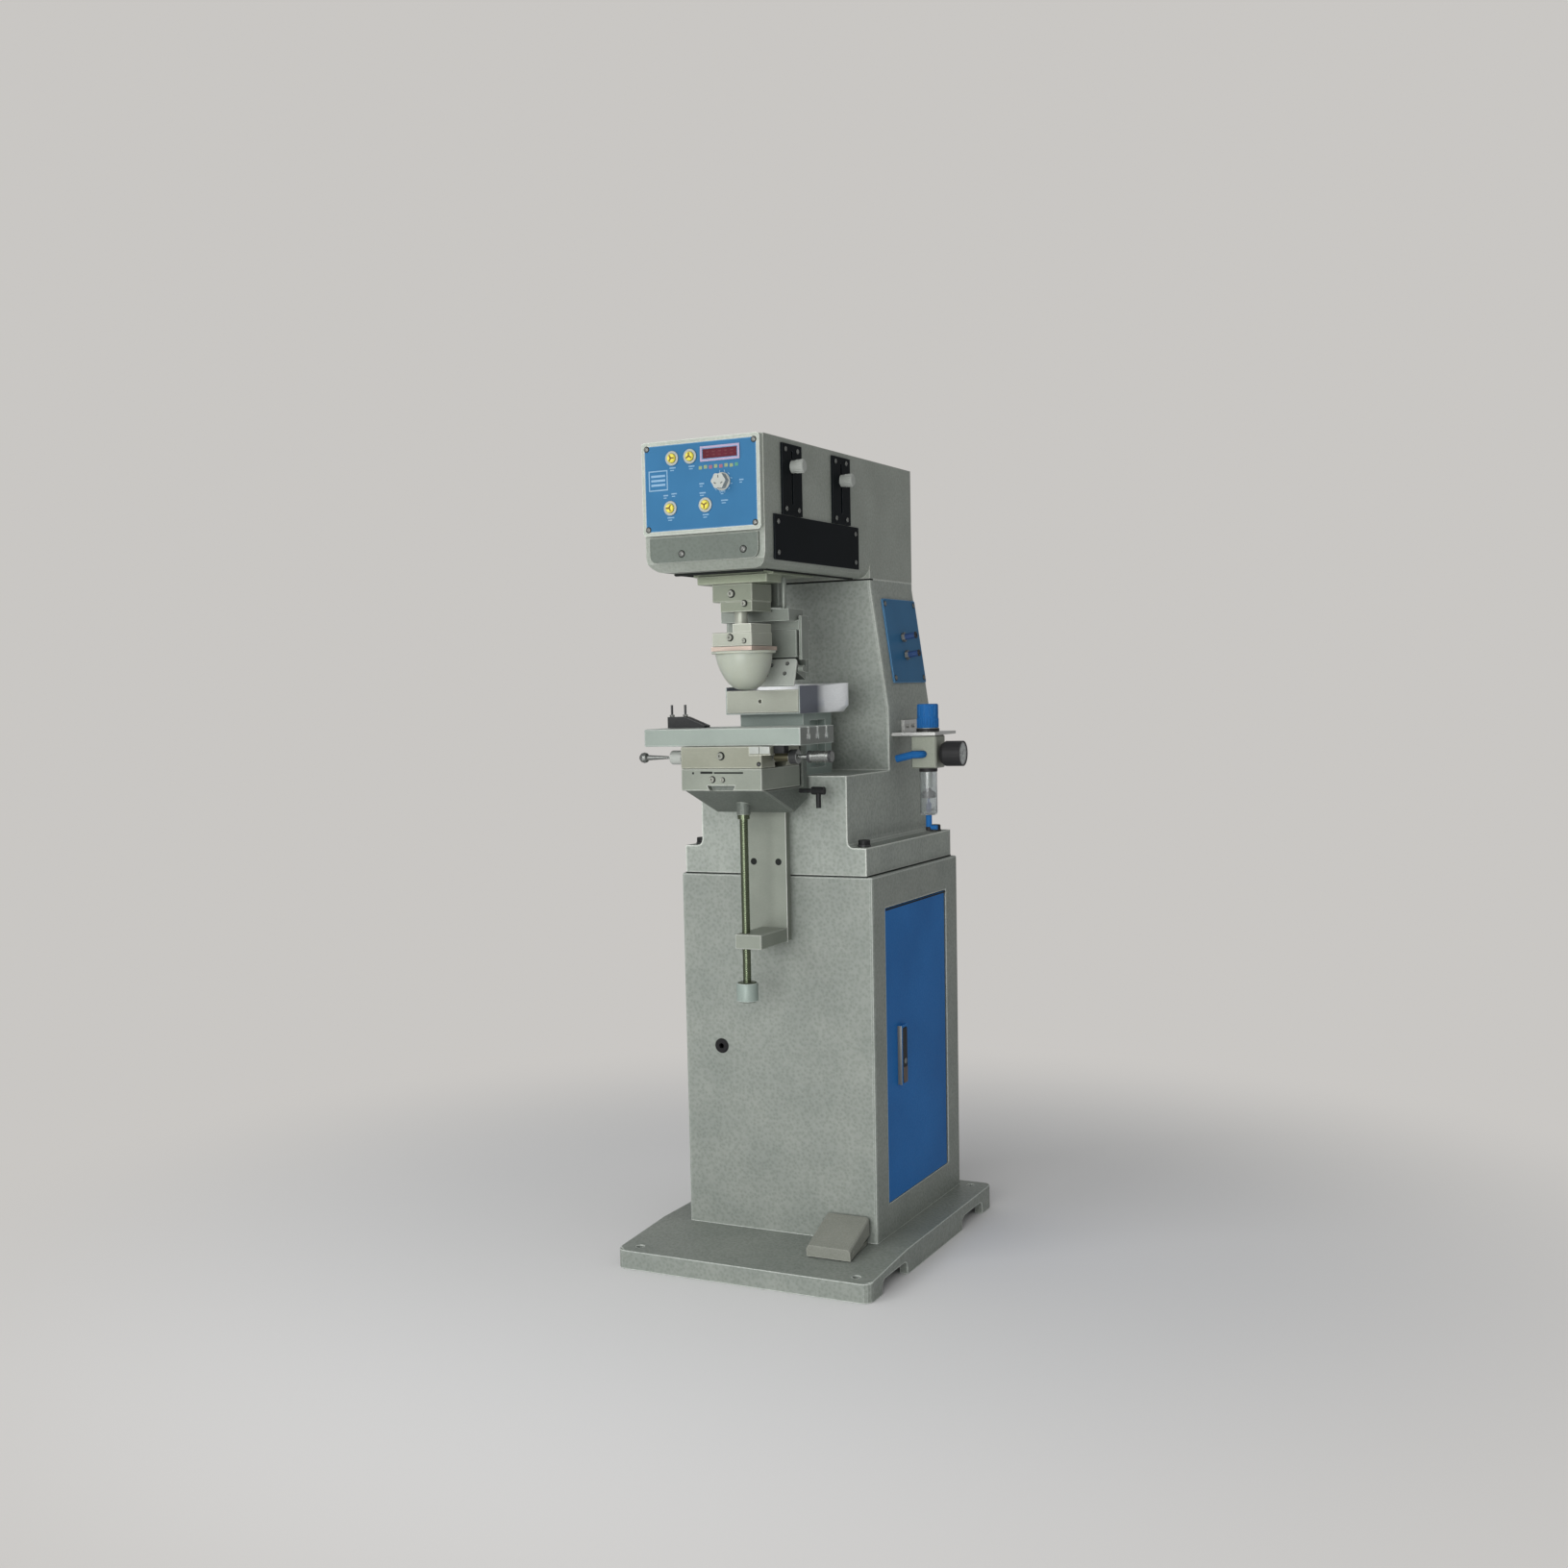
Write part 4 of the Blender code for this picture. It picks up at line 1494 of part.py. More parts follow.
def pad_profile():
    """Flat rim, then a shoulder that closes in a long curve to a small blunt point."""
    under = PAD_TOP - PAD_RIM_THICKNESS
    apex = PAD_TOP - PAD_DEPTH
    steps = 2 * ARC_STEPS
    profile = [(0, PAD_TOP), (PAD_RIM_RADIUS, PAD_TOP), (PAD_RIM_RADIUS, under)]
    for i in range(steps + 1):
        angle = math.radians(90 * i / steps)
        radius = PAD_APEX_RADIUS + (PAD_SHOULDER_RADIUS - PAD_APEX_RADIUS) * math.cos(angle)
        profile.append((radius, under - (under - apex) * math.sin(angle) ** 1.25))
    return profile + [(0, apex)]


def blade_hanger(slide):
    """The block under the carriage that the doctor unit's cylinder sits in."""
    hanger = block("blade_hanger", centred(BLADE_HANGER_WIDTH), (BLADE_HANGER_FRONT_Y, BLADE_HANGER_BACK_Y),
                   (BLADE_HANGER_BOTTOM, CARRIAGE_TOP - BITE - GAP))
    soften(hanger, BITE)
    finish(hanger, (0.30, 0.32, 0.30), 0.4, 0.6)
    ride(slide, hanger)


def spatula_frame():
    """The frame of the tilted spatula: X along its edge, Y through it to the back, Z up its slope."""
    return Matrix.Translation((0, SPATULA_Y, SPATULA_Z)) @ Matrix.Rotation(-SPATULA_TILT, 4, "X")


def tilted(obj):
    """Takes a piece drawn in the spatula's frame to its place in the machine."""
    obj.matrix_basis = spatula_frame() @ obj.matrix_basis
    return obj


def blade_unit(slide):
    drop = pivot("blade_lift", (0, BLADE_ROD_Y, BLADE_TOP_Z), slide)
    body = block("blade_holder", centred(BLADE_BODY_WIDTH), (BLADE_BODY_FRONT_Y, BLADE_BODY_BACK_Y),
                 (BLADE_BODY_BOTTOM, BLADE_BODY_TOP))
    soften(body, BLADE_EDGE)
    bar = block("blade_bar", centred(BLADE_BAR_WIDTH), (BLADE_BAR_FRONT_Y, BLADE_BAR_BACK_Y),
                (BLADE_BAR_BOTTOM, BLADE_BAR_TOP))
    top = block("blade_top", centred(BLADE_TOP_WIDTH), (BLADE_TOP_FRONT_Y, BLADE_TOP_BACK_Y),
                (BLADE_TOP_BOTTOM, BLADE_TOP_Z))
    back = block("blade_back", centred(BLADE_BACK_WIDTH), (BLADE_BACK_FRONT_Y, BLADE_BACK_Y),
                 (BLADE_BACK_BOTTOM, BLADE_BACK_TOP))
    add(body, bar, top, back)
    for side in (-1, 1):
        across = sorted((side * BLADE_CHEEK_INNER_X, side * BLADE_CHEEK_OUTER_X))
        add(body, block("blade_cheek", across, (BLADE_CHEEK_FRONT_Y, BLADE_CHEEK_BACK_Y),
                        (BLADE_CHEEK_BOTTOM, BLADE_CHEEK_TOP)))
        add(body, rod("blade_rod", "Z", (side * BLADE_ROD_X, BLADE_ROD_Y), BLADE_ROD_RADIUS,
                      (BLADE_TOP_Z - BITE, BLADE_ROD_TOP), SMALL_SIDES))
    near = SPATULA_THICKNESS / 2 + GAP
    bar = block("spatula_bar", centred(SPATULA_WIDTH - 2 * BITE), (near, near + SPATULA_BAR_REACH),
                (SPATULA_BAR_LOW, SPATULA_BAR_HIGH))
    add(body, tilted(bar))
    shaft = (SPATULA_WIDTH / 2 - OVERRUN, SPATULA_WIDTH / 2 + SPATULA_SHAFT_REACH)
    middle = (SPATULA_BAR_LOW + SPATULA_BAR_HIGH) / 2
    depth = near + (SPATULA_BAR_HIGH - SPATULA_BAR_LOW) / 2
    add(body, tilted(rod("spatula_shaft", "X", (depth, middle), SPATULA_SHAFT_RADIUS, shaft, SMALL_SIDES)))
    add(body, tilted(rod("spatula_knob", "X", (depth, middle), SPATULA_KNOB_RADIUS,
                         (shaft[1] - BITE, shaft[1] + SPATULA_KNOB_LENGTH), SMALL_SIDES)))
    finish(body, (0.20, 0.22, 0.22), 0.4, 0.6)
    spatula = block("doctor_blade", centred(SPATULA_WIDTH), centred(SPATULA_THICKNESS), centred(SPATULA_LENGTH))
    round_edges(spatula, SPATULA_CORNER, lambda edge: along("Y")(edge) and edge.verts[0].co.z > 0)
    tilted(spatula)
    finish(spatula, (0.62, 0.66, 0.64), 0.25, 0.9)
    ride(drop, body, spatula)


# Plate station on the platform

def tray_riser():
    low = PLATFORM_Z + GAP
    high = TRAY_BOTTOM - GAP
    riser = block("tray_riser", centred(RISER_WIDTH), (RISER_FRONT_Y, RISER_BACK_Y), (low, high))
    for side in (-1, 1):
        edge = side * RISER_WIDTH / 2
        x = sorted((edge - side * RISER_RECESS, edge + side * OVERRUN))
        cut(riser, block("riser_recess", x, (RISER_FRONT_Y + RISER_POST, RISER_BACK_Y - RISER_POST),
                         (low + RISER_CAP, high - RISER_CAP)))
    finish(riser, (0.30, 0.33, 0.31), 0.5)


def plate_holder():
    holder = block("plate_holder", centred(HOLDER_WIDTH), (HOLDER_FRONT_Y, HOLDER_BACK_Y), (HOLDER_BOTTOM, PLATE_TOP))
    soften(holder, HOLDER_EDGE)
    cut(holder, block("plate_pocket", centred(PLATE_SIZE + 2 * GAP),
                      (PLATE_FRONT_Y - GAP, PLATE_FRONT_Y + PLATE_SIZE + GAP),
                      (PLATE_TOP - PLATE_THICKNESS - GAP, PLATE_TOP + OVERRUN)))
    cut(holder, rod("holder_hole", "Y", (HOLDER_HOLE_X, HOLDER_HOLE_Z), HOLDER_HOLE_RADIUS,
                    (HOLDER_FRONT_Y - OVERRUN, HOLDER_FRONT_Y + HOLDER_HOLE_DEPTH), SMALL_SIDES))
    finish(holder, (0.50, 0.52, 0.44), 0.35, 0.6)
    plate = block("cliche_plate", centred(PLATE_SIZE), (PLATE_FRONT_Y, PLATE_FRONT_Y + PLATE_SIZE),
                  (PLATE_TOP - PLATE_THICKNESS, PLATE_TOP))
    finish(plate, (0.45, 0.47, 0.45), 0.15, 1.0)


def tray_outline(inset):
    """The pan's outline from its right front to its left front, drawn in by the inset behind the plate."""
    narrow = HOLDER_WIDTH / 2 + GAP + TRAY_SHEET
    wide = TRAY_WIDE_WIDTH / 2
    half = [(narrow, TRAY_FRONT_Y)]
    for i in range(ARC_STEPS + 1):
        part = i / ARC_STEPS
        ease = part * part * (3 - part - part)
        half.append((narrow + (wide - inset - narrow) * ease, TRAY_FLARE_Y + (TRAY_WIDE_Y - TRAY_FLARE_Y) * part))
    half += arc((wide - TRAY_CORNER, TRAY_BACK_Y - TRAY_CORNER), TRAY_CORNER - inset, 0, 90)
    return half + [(-x, y) for x, y in reversed(half)]


def ink_tray():
    """A sheet pan, open at the front, whose walls rise from a sloping foot behind the plate."""
    mesh = bmesh.new()
    rings = []
    levels = ((TRAY_BOTTOM, TRAY_SLOPE), (TRAY_BOTTOM + TRAY_SLOPE_HEIGHT, 0), (TRAY_TOP, 0))
    for z, inset in levels:
        rings.append([mesh.verts.new((x, y, z)) for x, y in tray_outline(inset)])
    mesh.faces.new(reversed(rings[0]))
    for low, high in zip(rings, rings[1:]):
        for i in range(len(low) - 1):
            mesh.faces.new((low[i], low[i + 1], high[i + 1], high[i]))
    tray = put("ink_tray", mesh, (0, 0, 0))
    shell = tray.modifiers.new("sheet", "SOLIDIFY")
    shell.thickness = TRAY_SHEET
    shell.offset = -1
    shell.use_even_offset = True
    finish(tray, (0.55, 0.57, 0.60), 0.12, 1.0)


base_plate()
cabinet()
cabinet_grommet()
door_latch(door())
valve_bank()
PEDAL = pivot("pedal_frame", (PEDAL_X, PEDAL_Y, BASE_HEIGHT + (PEDAL_Y - FRAME_FRONT_Y) * math.tan(DECK_SLOPE)),
              ROOT, (DECK_SLOPE, 0, 0))
pedal()
column()
head_housing()
front_cover()
control_panel()
display_window()
push_buttons()
selector_knob()
nose_cover()
stroke_setting()
side_guard()
taper_x = NECK_WIDTH / 2 - (VALVE_PANEL_Z - TAPER_START) * math.tan(TAPER_TILT)
TAPER = pivot("taper_frame", (taper_x, 0, VALVE_PANEL_Z), ROOT, (0, -TAPER_TILT, 0))
valve_panel()
regulator_bracket()
regulator_body()
regulator_knob()
gauge()
filter_bowl()
regulator_elbow()
guide_plate()
nut_bracket()
knee_slide = knee()
lift_screw(knee_slide)
clamp_lever(knee_slide)
upper_slide = slides(knee_slide)
work_table(upper_slide)
table_screw(upper_slide)
toe_clamp(upper_slide)
carriage_slide = carriage()
rails()
pad_ram_block(carriage_slide)
pad_unit(carriage_slide)
blade_hanger(carriage_slide)
blade_unit(carriage_slide)
tray_riser()
ink_tray()
plate_holder()
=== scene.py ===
import bpy
import math
from mathutils import Matrix, Vector


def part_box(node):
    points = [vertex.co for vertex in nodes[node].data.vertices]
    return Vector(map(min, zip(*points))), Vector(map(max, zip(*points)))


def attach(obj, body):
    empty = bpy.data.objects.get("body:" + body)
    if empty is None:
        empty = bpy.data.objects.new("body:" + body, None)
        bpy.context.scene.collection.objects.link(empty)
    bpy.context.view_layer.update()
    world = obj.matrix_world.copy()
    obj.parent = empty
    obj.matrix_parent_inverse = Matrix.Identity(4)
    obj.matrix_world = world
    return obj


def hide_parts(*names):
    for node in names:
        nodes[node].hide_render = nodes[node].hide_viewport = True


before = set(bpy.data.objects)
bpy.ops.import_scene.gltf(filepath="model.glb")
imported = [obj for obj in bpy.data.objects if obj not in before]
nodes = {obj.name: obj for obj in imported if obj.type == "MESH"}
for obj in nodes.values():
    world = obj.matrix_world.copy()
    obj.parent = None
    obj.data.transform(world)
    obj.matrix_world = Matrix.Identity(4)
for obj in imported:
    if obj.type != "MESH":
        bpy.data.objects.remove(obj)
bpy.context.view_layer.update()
baseLow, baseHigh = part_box("base_plate")
# Every place below is measured from the middle of the base plate's foot
origin = Vector(((baseLow[0] + baseHigh[0]) / 2, (baseLow[1] + baseHigh[1]) / 2, baseLow[2]))
scene = bpy.context.scene
print("frame loaded", len(nodes), "nodes")


# One recipe for all surfaces: two cloudy shades, a fine grain, rubbed edges with a painted highlight, uneven
# gloss, matching relief
def makeFinish(name, s):
    mat = bpy.data.materials.new(name)
    mat.use_nodes = True
    tree = mat.node_tree
    shader = tree.nodes["Principled BSDF"]

    def node(kind, inputs=(), **values):
        made = tree.nodes.new("ShaderNode" + kind)
        for key, value in values.items():
            setattr(made, key, value)
        for key, value in dict(inputs).items():
            if isinstance(value, bpy.types.NodeSocket):
                tree.links.new(value, made.inputs[key])
            else:
                made.inputs[key].default_value = value
        return made

    def mix(amount, first, second, way="MIX"):
        made = node("Mix", data_type="RGBA", blend_type=way)
        for index, value in ((0, amount), (6, first), (7, second)):  # the colour mix's own sockets
            if isinstance(value, bpy.types.NodeSocket):
                tree.links.new(value, made.inputs[index])
            else:
                made.inputs[index].default_value = value if index == 0 else (*value, 1)
        return made.outputs[2]

    def ramp(value, low, high, start=0.0, end=1.0):
        made = node("MapRange", {0: value, 1: low, 2: high, 3: start, 4: end})
        return made.outputs[0]

    place = node("TexCoord").outputs["Object"]
    stretch = node("Mapping", {"Vector": place, "Scale": s.get("stretch", (1.0, 1.0, 1.0))}).outputs[0]
    cloud = node("TexNoise", {"Vector": place, "Scale": s.get("cloud", 14.0), "Detail": 4.0}).outputs["Fac"]
    grain = node("TexNoise", {"Vector": stretch, "Scale": s.get("grain", 900.0), "Detail": 5.0,
                              "Roughness": 0.62}).outputs["Fac"]
    relief = grain
    colour = mix(ramp(cloud, 0.35, 0.65), s["colour"], s["second"])
    if "pebble" in s:  # hammered or cast skin, darker in its hollows
        cell = node("TexVoronoi", {"Vector": place, "Scale": s["pebble"]}, feature="SMOOTH_F1")
        cell.inputs["Smoothness"].default_value = 0.7
        relief = ramp(cell.outputs["Distance"], 0.0, 0.85)
        colour = mix(ramp(relief, 0.15, 0.75), mix(1.0, colour, s["hollow"], "MULTIPLY"), colour)
    colour = mix(ramp(grain, 0.30, 0.72, 0.0, s.get("fleck", 0.35)), colour, s["grime"])
    if "edge" in s:  # paint or polish worn off where the surface turns, and a painted highlight along those edges
        bevel = node("Bevel", {"Radius": s.get("edgeWidth", 0.0016)}, samples=6).outputs[0]
        flat = node("NewGeometry").outputs["Normal"]
        turn = node("VectorMath", {0: bevel, 1: flat}, operation="DOT_PRODUCT").outputs["Value"]
        rubbedAndHighlit = node("Math", {0: ramp(turn, 0.995, 0.93), 1: ramp(grain, 0.35, 0.55, 0.35, 1.0)},
                      operation="MULTIPLY")
        colour = mix(rubbedAndHighlit.outputs[0], colour, s["edge"])
    if "fade" in s:  # painted reflection: a dark stretch along one axis, where a polished sheet mirrors dark surroundings
        axis, start, end, far = s["fade"]
        along = node("SeparateXYZ", {0: place}).outputs[axis]
        colour = mix(ramp(along, start, end), far, colour)
    if "rightShade" in s:  # painted shade: the faces that look to the right are made dark, as the table's right end lies in shadow, with grime in the grain
        side = node("SeparateXYZ", {0: node("NewGeometry").outputs["True Normal"]}).outputs[0]
        colour = mix(ramp(side, 0.85, 0.95), colour, mix(ramp(grain, 0.35, 0.65), s["rightShade"], s["grime"]))
    low, high = s["rough"]
    tree.links.new(colour, shader.inputs["Base Color"])
    tree.links.new(ramp(grain, 0.25, 0.75, low, high), shader.inputs["Roughness"])
    bump = node("Bump", {"Height": relief, "Strength": s.get("bump", 0.25),
                         "Distance": s.get("depth", 0.0004)})
    tree.links.new(bump.outputs[0], shader.inputs["Normal"])
    shader.inputs["Metallic"].default_value = s.get("metal", 0.0)
    shader.inputs["Specular IOR Level"].default_value = s.get("shine", 0.3)
    for key in ("Transmission Weight", "IOR", "Subsurface Weight"):
        if key in s:
            shader.inputs[key].default_value = s[key]
    if "Subsurface Weight" in s:
        shader.inputs["Subsurface Radius"].default_value = (0.012, 0.010, 0.007)
        shader.inputs["Subsurface Scale"].default_value = 1.0
    return mat


# Values that several surfaces share
hammered = {"hollow": (0.78, 0.80, 0.78), "rough": (0.38, 0.55), "pebble": 210.0, "grain": 700.0,
            "bump": 0.35, "depth": 0.0012, "fleck": 0.3, "shine": 0.25}
cast = {"hollow": (0.85, 0.86, 0.84), "rough": (0.35, 0.5), "pebble": 260.0, "grain": 900.0, "bump": 0.18,
        "depth": 0.0008, "shine": 0.25}
milled = {"rough": (0.3, 0.46), "metal": 0.25, "grain": 260.0, "stretch": (1.0, 9.0, 9.0), "bump": 0.12,
          "fleck": 0.4}
moulded = {"grain": 1500.0, "edgeWidth": 0.0005}
printed = {"rough": (0.45, 0.6), "grain": 1800.0, "bump": 0.05, "fleck": 0.6}

# colour and second are the two shades, grime lies in the grain, edge shows at rubbed corners with a painted
# highlight, hollow tints the pebbled skin's hollows, rough is the least and the most roughness, and fade is
# axis, start, end and far colour of a painted dark reflection
finishes = {name: makeFinish(name, settings) for name, settings in {
    "hammer paint": {
        **hammered, "colour": (0.256, 0.277, 0.251), "second": (0.221, 0.244, 0.221),
        "grime": (0.158, 0.172, 0.153), "edge": (0.60, 0.64, 0.60), "edgeWidth": 0.0026},
    "cover paint": {
        **cast, "colour": (0.30, 0.325, 0.29), "second": (0.26, 0.285, 0.25), "grime": (0.18, 0.19, 0.17),
        "edge": (0.46, 0.47, 0.43)},
    "nose paint": {
        **cast, "colour": (0.126, 0.149, 0.129), "second": (0.108, 0.126, 0.11),
        "grime": (0.09, 0.104, 0.09), "edge": (0.34, 0.36, 0.32)},
    "rim paint": {
        **cast, "colour": (0.40, 0.43, 0.385), "second": (0.35, 0.38, 0.34), "grime": (0.24, 0.26, 0.23),
        "edge": (0.56, 0.59, 0.54), "bump": 0.15, "depth": 0.0006},
    # painted light: a lighter copy of the frame's hammer paint, brightening the column the head shades; its
    # wide edge paints the bright line on the front corner
    "lit column paint": {
        **hammered, "colour": (0.315, 0.341, 0.31), "second": (0.263, 0.289, 0.263),
        "grime": (0.179, 0.194, 0.173), "edge": (0.62, 0.65, 0.60), "edgeWidth": 0.0042},
    # painted shade: a darker copy of the machined cream, for the ram block standing in shade
    "shaded ram metal": {
        **milled, "colour": (0.205, 0.228, 0.176), "second": (0.167, 0.186, 0.143),
        "grime": (0.0952, 0.105, 0.081), "edge": (0.55, 0.57, 0.50)},
    "slide cream": {
        **milled, "colour": (0.26, 0.269, 0.215), "second": (0.22, 0.228, 0.179),
        "grime": (0.161, 0.166, 0.134), "edge": (0.58, 0.59, 0.52)},
    "black paint": {
        "colour": (0.012, 0.013, 0.014), "second": (0.008, 0.009, 0.010), "grime": (0.03, 0.03, 0.028),
        "edge": (0.10, 0.10, 0.095), "rough": (0.4, 0.58), "grain": 1100.0, "bump": 0.2,
        "edgeWidth": 0.0005, "shine": 0.15},
    "riser metal": {
        "colour": (0.27, 0.325, 0.295), "second": (0.23, 0.28, 0.255), "grime": (0.14, 0.17, 0.155),
        "edge": (0.58, 0.62, 0.59), "rough": (0.36, 0.52), "metal": 0.1, "grain": 420.0,
        "stretch": (1.0, 1.0, 6.0), "bump": 0.12, "fleck": 0.4},
    "bright rod": {
        "colour": (0.60, 0.62, 0.60), "second": (0.52, 0.54, 0.52), "grime": (0.25, 0.26, 0.25),
        "edge": (0.72, 0.74, 0.72), "rough": (0.2, 0.32), "metal": 0.7, "grain": 600.0, "bump": 0.05,
        "edgeWidth": 0.0004},
    "gasket black": {
        "colour": (0.016, 0.018, 0.017), "second": (0.011, 0.013, 0.012), "grime": (0.03, 0.033, 0.03),
        "rough": (0.6, 0.8), "grain": 1400.0, "bump": 0.2, "shine": 0.1},
    "door blue": {
        "colour": (0.0176, 0.161, 0.462), "second": (0.0121, 0.127, 0.378), "grime": (0.022, 0.103, 0.252),
        "hollow": (0.86, 0.9, 0.95), "edge": (0.05, 0.22, 0.52), "rough": (0.36, 0.52), "pebble": 330.0,
        "grain": 800.0, "bump": 0.18, "depth": 0.0006, "cloud": 6.0, "shine": 0.06},
    "panel blue": {
        "colour": (0.032, 0.138, 0.277), "second": (0.028, 0.124, 0.251), "grime": (0.05, 0.12, 0.202),
        "edge": (0.20, 0.36, 0.55), "rough": (0.4, 0.52), "grain": 1400.0, "bump": 0.12, "fleck": 0.2,
        "shine": 0.08},
    "machined cream": {
        **milled, "colour": (0.359, 0.376, 0.32), "second": (0.301, 0.317, 0.269),
        "grime": (0.262, 0.273, 0.227), "edge": (0.72, 0.73, 0.66), "rough": (0.28, 0.46)},
    "carriage metal": {
        "colour": (0.30, 0.335, 0.245), "second": (0.22, 0.26, 0.19), "grime": (0.11, 0.125, 0.09),
        "edge": (0.55, 0.58, 0.48), "rough": (0.3, 0.5), "metal": 0.3, "grain": 300.0,
        "stretch": (1.0, 7.0, 7.0), "bump": 0.12, "fleck": 0.45},
    "table metal": {
        "colour": (0.271, 0.318, 0.285), "second": (0.234, 0.276, 0.248), "grime": (0.225, 0.243, 0.225),
        "edge": (0.68, 0.71, 0.68), "rough": (0.26, 0.42), "metal": 0.25, "grain": 220.0,
        # rightShade paints shade on the table's right end
        "stretch": (1.0, 10.0, 10.0), "bump": 0.1, "fleck": 0.4, "rightShade": (0.07, 0.078, 0.068)},
    "slide metal": {
        "colour": (0.251, 0.275, 0.232), "second": (0.204, 0.226, 0.19), "grime": (0.14, 0.149, 0.131),
        "edge": (0.60, 0.62, 0.58), "rough": (0.32, 0.5), "metal": 0.2, "grain": 240.0,
        "stretch": (1.0, 8.0, 8.0), "bump": 0.12, "fleck": 0.4},
    "knee casting": {
        "colour": (0.167, 0.187, 0.167), "second": (0.128, 0.145, 0.128), "grime": (0.0616, 0.0704, 0.0616),
        "hollow": (0.75, 0.77, 0.75), "edge": (0.34, 0.36, 0.32), "rough": (0.42, 0.6), "metal": 0.25,
        "pebble": 320.0, "grain": 700.0, "bump": 0.3, "depth": 0.0007},
    "ground steel": {
        "colour": (0.22, 0.23, 0.20), "second": (0.16, 0.17, 0.145), "grime": (0.07, 0.075, 0.06),
        "edge": (0.42, 0.43, 0.38), "rough": (0.34, 0.5), "metal": 0.5, "grain": 320.0,
        "stretch": (9.0, 1.0, 9.0), "bump": 0.08},
    "bright chrome": {
        "colour": (0.24, 0.25, 0.24), "second": (0.18, 0.19, 0.18), "grime": (0.07, 0.07, 0.065),
        "edge": (0.55, 0.56, 0.54), "rough": (0.2, 0.34), "metal": 0.9, "grain": 500.0, "bump": 0.04,
        "edgeWidth": 0.0005},
    "screw steel": {
        "colour": (0.20, 0.205, 0.195), "second": (0.15, 0.155, 0.145), "grime": (0.06, 0.06, 0.055),
        "edge": (0.42, 0.43, 0.41), "rough": (0.34, 0.5), "metal": 0.5, "grain": 1200.0, "bump": 0.08,
        "edgeWidth": 0.0004},
    "thread steel": {
        "colour": (0.12, 0.14, 0.0912), "second": (0.085, 0.104, 0.0648), "grime": (0.03, 0.0416, 0.024),
        "edge": (0.26, 0.30, 0.20), "rough": (0.2, 0.34), "metal": 0.9, "grain": 600.0, "bump": 0.1,
        "edgeWidth": 0.0005},
    "black oxide": {
        "colour": (0.035, 0.037, 0.038), "second": (0.025, 0.026, 0.028), "grime": (0.07, 0.07, 0.065),
        "edge": (0.16, 0.16, 0.16), "rough": (0.28, 0.45), "metal": 0.2, "grain": 700.0, "bump": 0.15,
        "edgeWidth": 0.0006, "shine": 0.2},
    "black plate": {
        "colour": (0.004, 0.006, 0.008), "second": (0.003, 0.005, 0.006), "grime": (0.008, 0.010, 0.012),
        "edge": (0.05, 0.055, 0.06), "rough": (0.5, 0.65), "grain": 1100.0, "bump": 0.15,
        "edgeWidth": 0.0007, "shine": 0.05},
    "black plastic": {
        **moulded, "colour": (0.022, 0.022, 0.024), "second": (0.017, 0.017, 0.018),
        "grime": (0.045, 0.045, 0.043), "edge": (0.07, 0.07, 0.07), "rough": (0.4, 0.58), "bump": 0.2,
        "shine": 0.2},
    "doctor grey": {
        "colour": (0.23, 0.255, 0.225), "second": (0.185, 0.205, 0.18), "grime": (0.08, 0.09, 0.08),
        "edge": (0.42, 0.45, 0.41), "rough": (0.32, 0.5), "metal": 0.25, "grain": 420.0,
        "stretch": (1.0, 4.0, 4.0), "bump": 0.12},
    "doctor bright": {
        "colour": (0.50, 0.535, 0.49), "second": (0.43, 0.46, 0.42), "grime": (0.18, 0.19, 0.17),
        "edge": (0.66, 0.68, 0.64), "rough": (0.25, 0.4), "metal": 0.1, "grain": 260.0,
        "stretch": (9.0, 1.0, 1.0), "bump": 0.1},
    "polished tray": {
        "colour": (0.80, 0.82, 0.82), "second": (0.74, 0.76, 0.77), "grime": (0.34, 0.36, 0.38),
        "edge": (0.62, 0.64, 0.64), "rough": (0.26, 0.36), "metal": 0.35, "grain": 200.0,
        "stretch": (1.0, 1.0, 6.0), "bump": 0.015, "cloud": 20.0, "fleck": 0.25,
        # its fade paints a dark reflection over the front of the sheet
        "fade": (1, -0.045, -0.02, (0.12, 0.13, 0.155))},
    "cliche steel": {
        "colour": (0.45, 0.47, 0.46), "second": (0.38, 0.40, 0.39), "grime": (0.20, 0.21, 0.21),
        "edge": (0.70, 0.72, 0.70), "rough": (0.14, 0.26), "metal": 0.9, "grain": 240.0,
        "stretch": (8.0, 1.0, 1.0), "bump": 0.05},
    "yellow plastic": {
        "colour": (0.66, 0.58, 0.07), "second": (0.60, 0.53, 0.06), "grime": (0.42, 0.36, 0.06),
        "edge": (0.80, 0.74, 0.22), "rough": (0.3, 0.42), "grain": 1600.0, "bump": 0.08, "fleck": 0.2,
        "edgeWidth": 0.0005},
    "white plastic": {
        **moulded, "colour": (0.36, 0.38, 0.355), "second": (0.32, 0.34, 0.315),
        "grime": (0.26, 0.27, 0.245), "edge": (0.58, 0.60, 0.57), "rough": (0.3, 0.44), "bump": 0.08,
        "fleck": 0.22},
    "knob blue": {
        **moulded, "colour": (0.016, 0.135, 0.40), "second": (0.013, 0.115, 0.34),
        "grime": (0.03, 0.09, 0.2), "edge": (0.09, 0.25, 0.50), "rough": (0.5, 0.62), "bump": 0.12,
        "shine": 0.05},
    "fitting blue": {
        **moulded, "colour": (0.03, 0.07, 0.19), "second": (0.022, 0.055, 0.16),
        "grime": (0.04, 0.06, 0.10), "edge": (0.10, 0.18, 0.34), "rough": (0.3, 0.45), "bump": 0.1,
        "edgeWidth": 0.0004},
    "cast beige": {
        "colour": (0.30, 0.32, 0.265), "second": (0.26, 0.28, 0.23), "grime": (0.15, 0.16, 0.13),
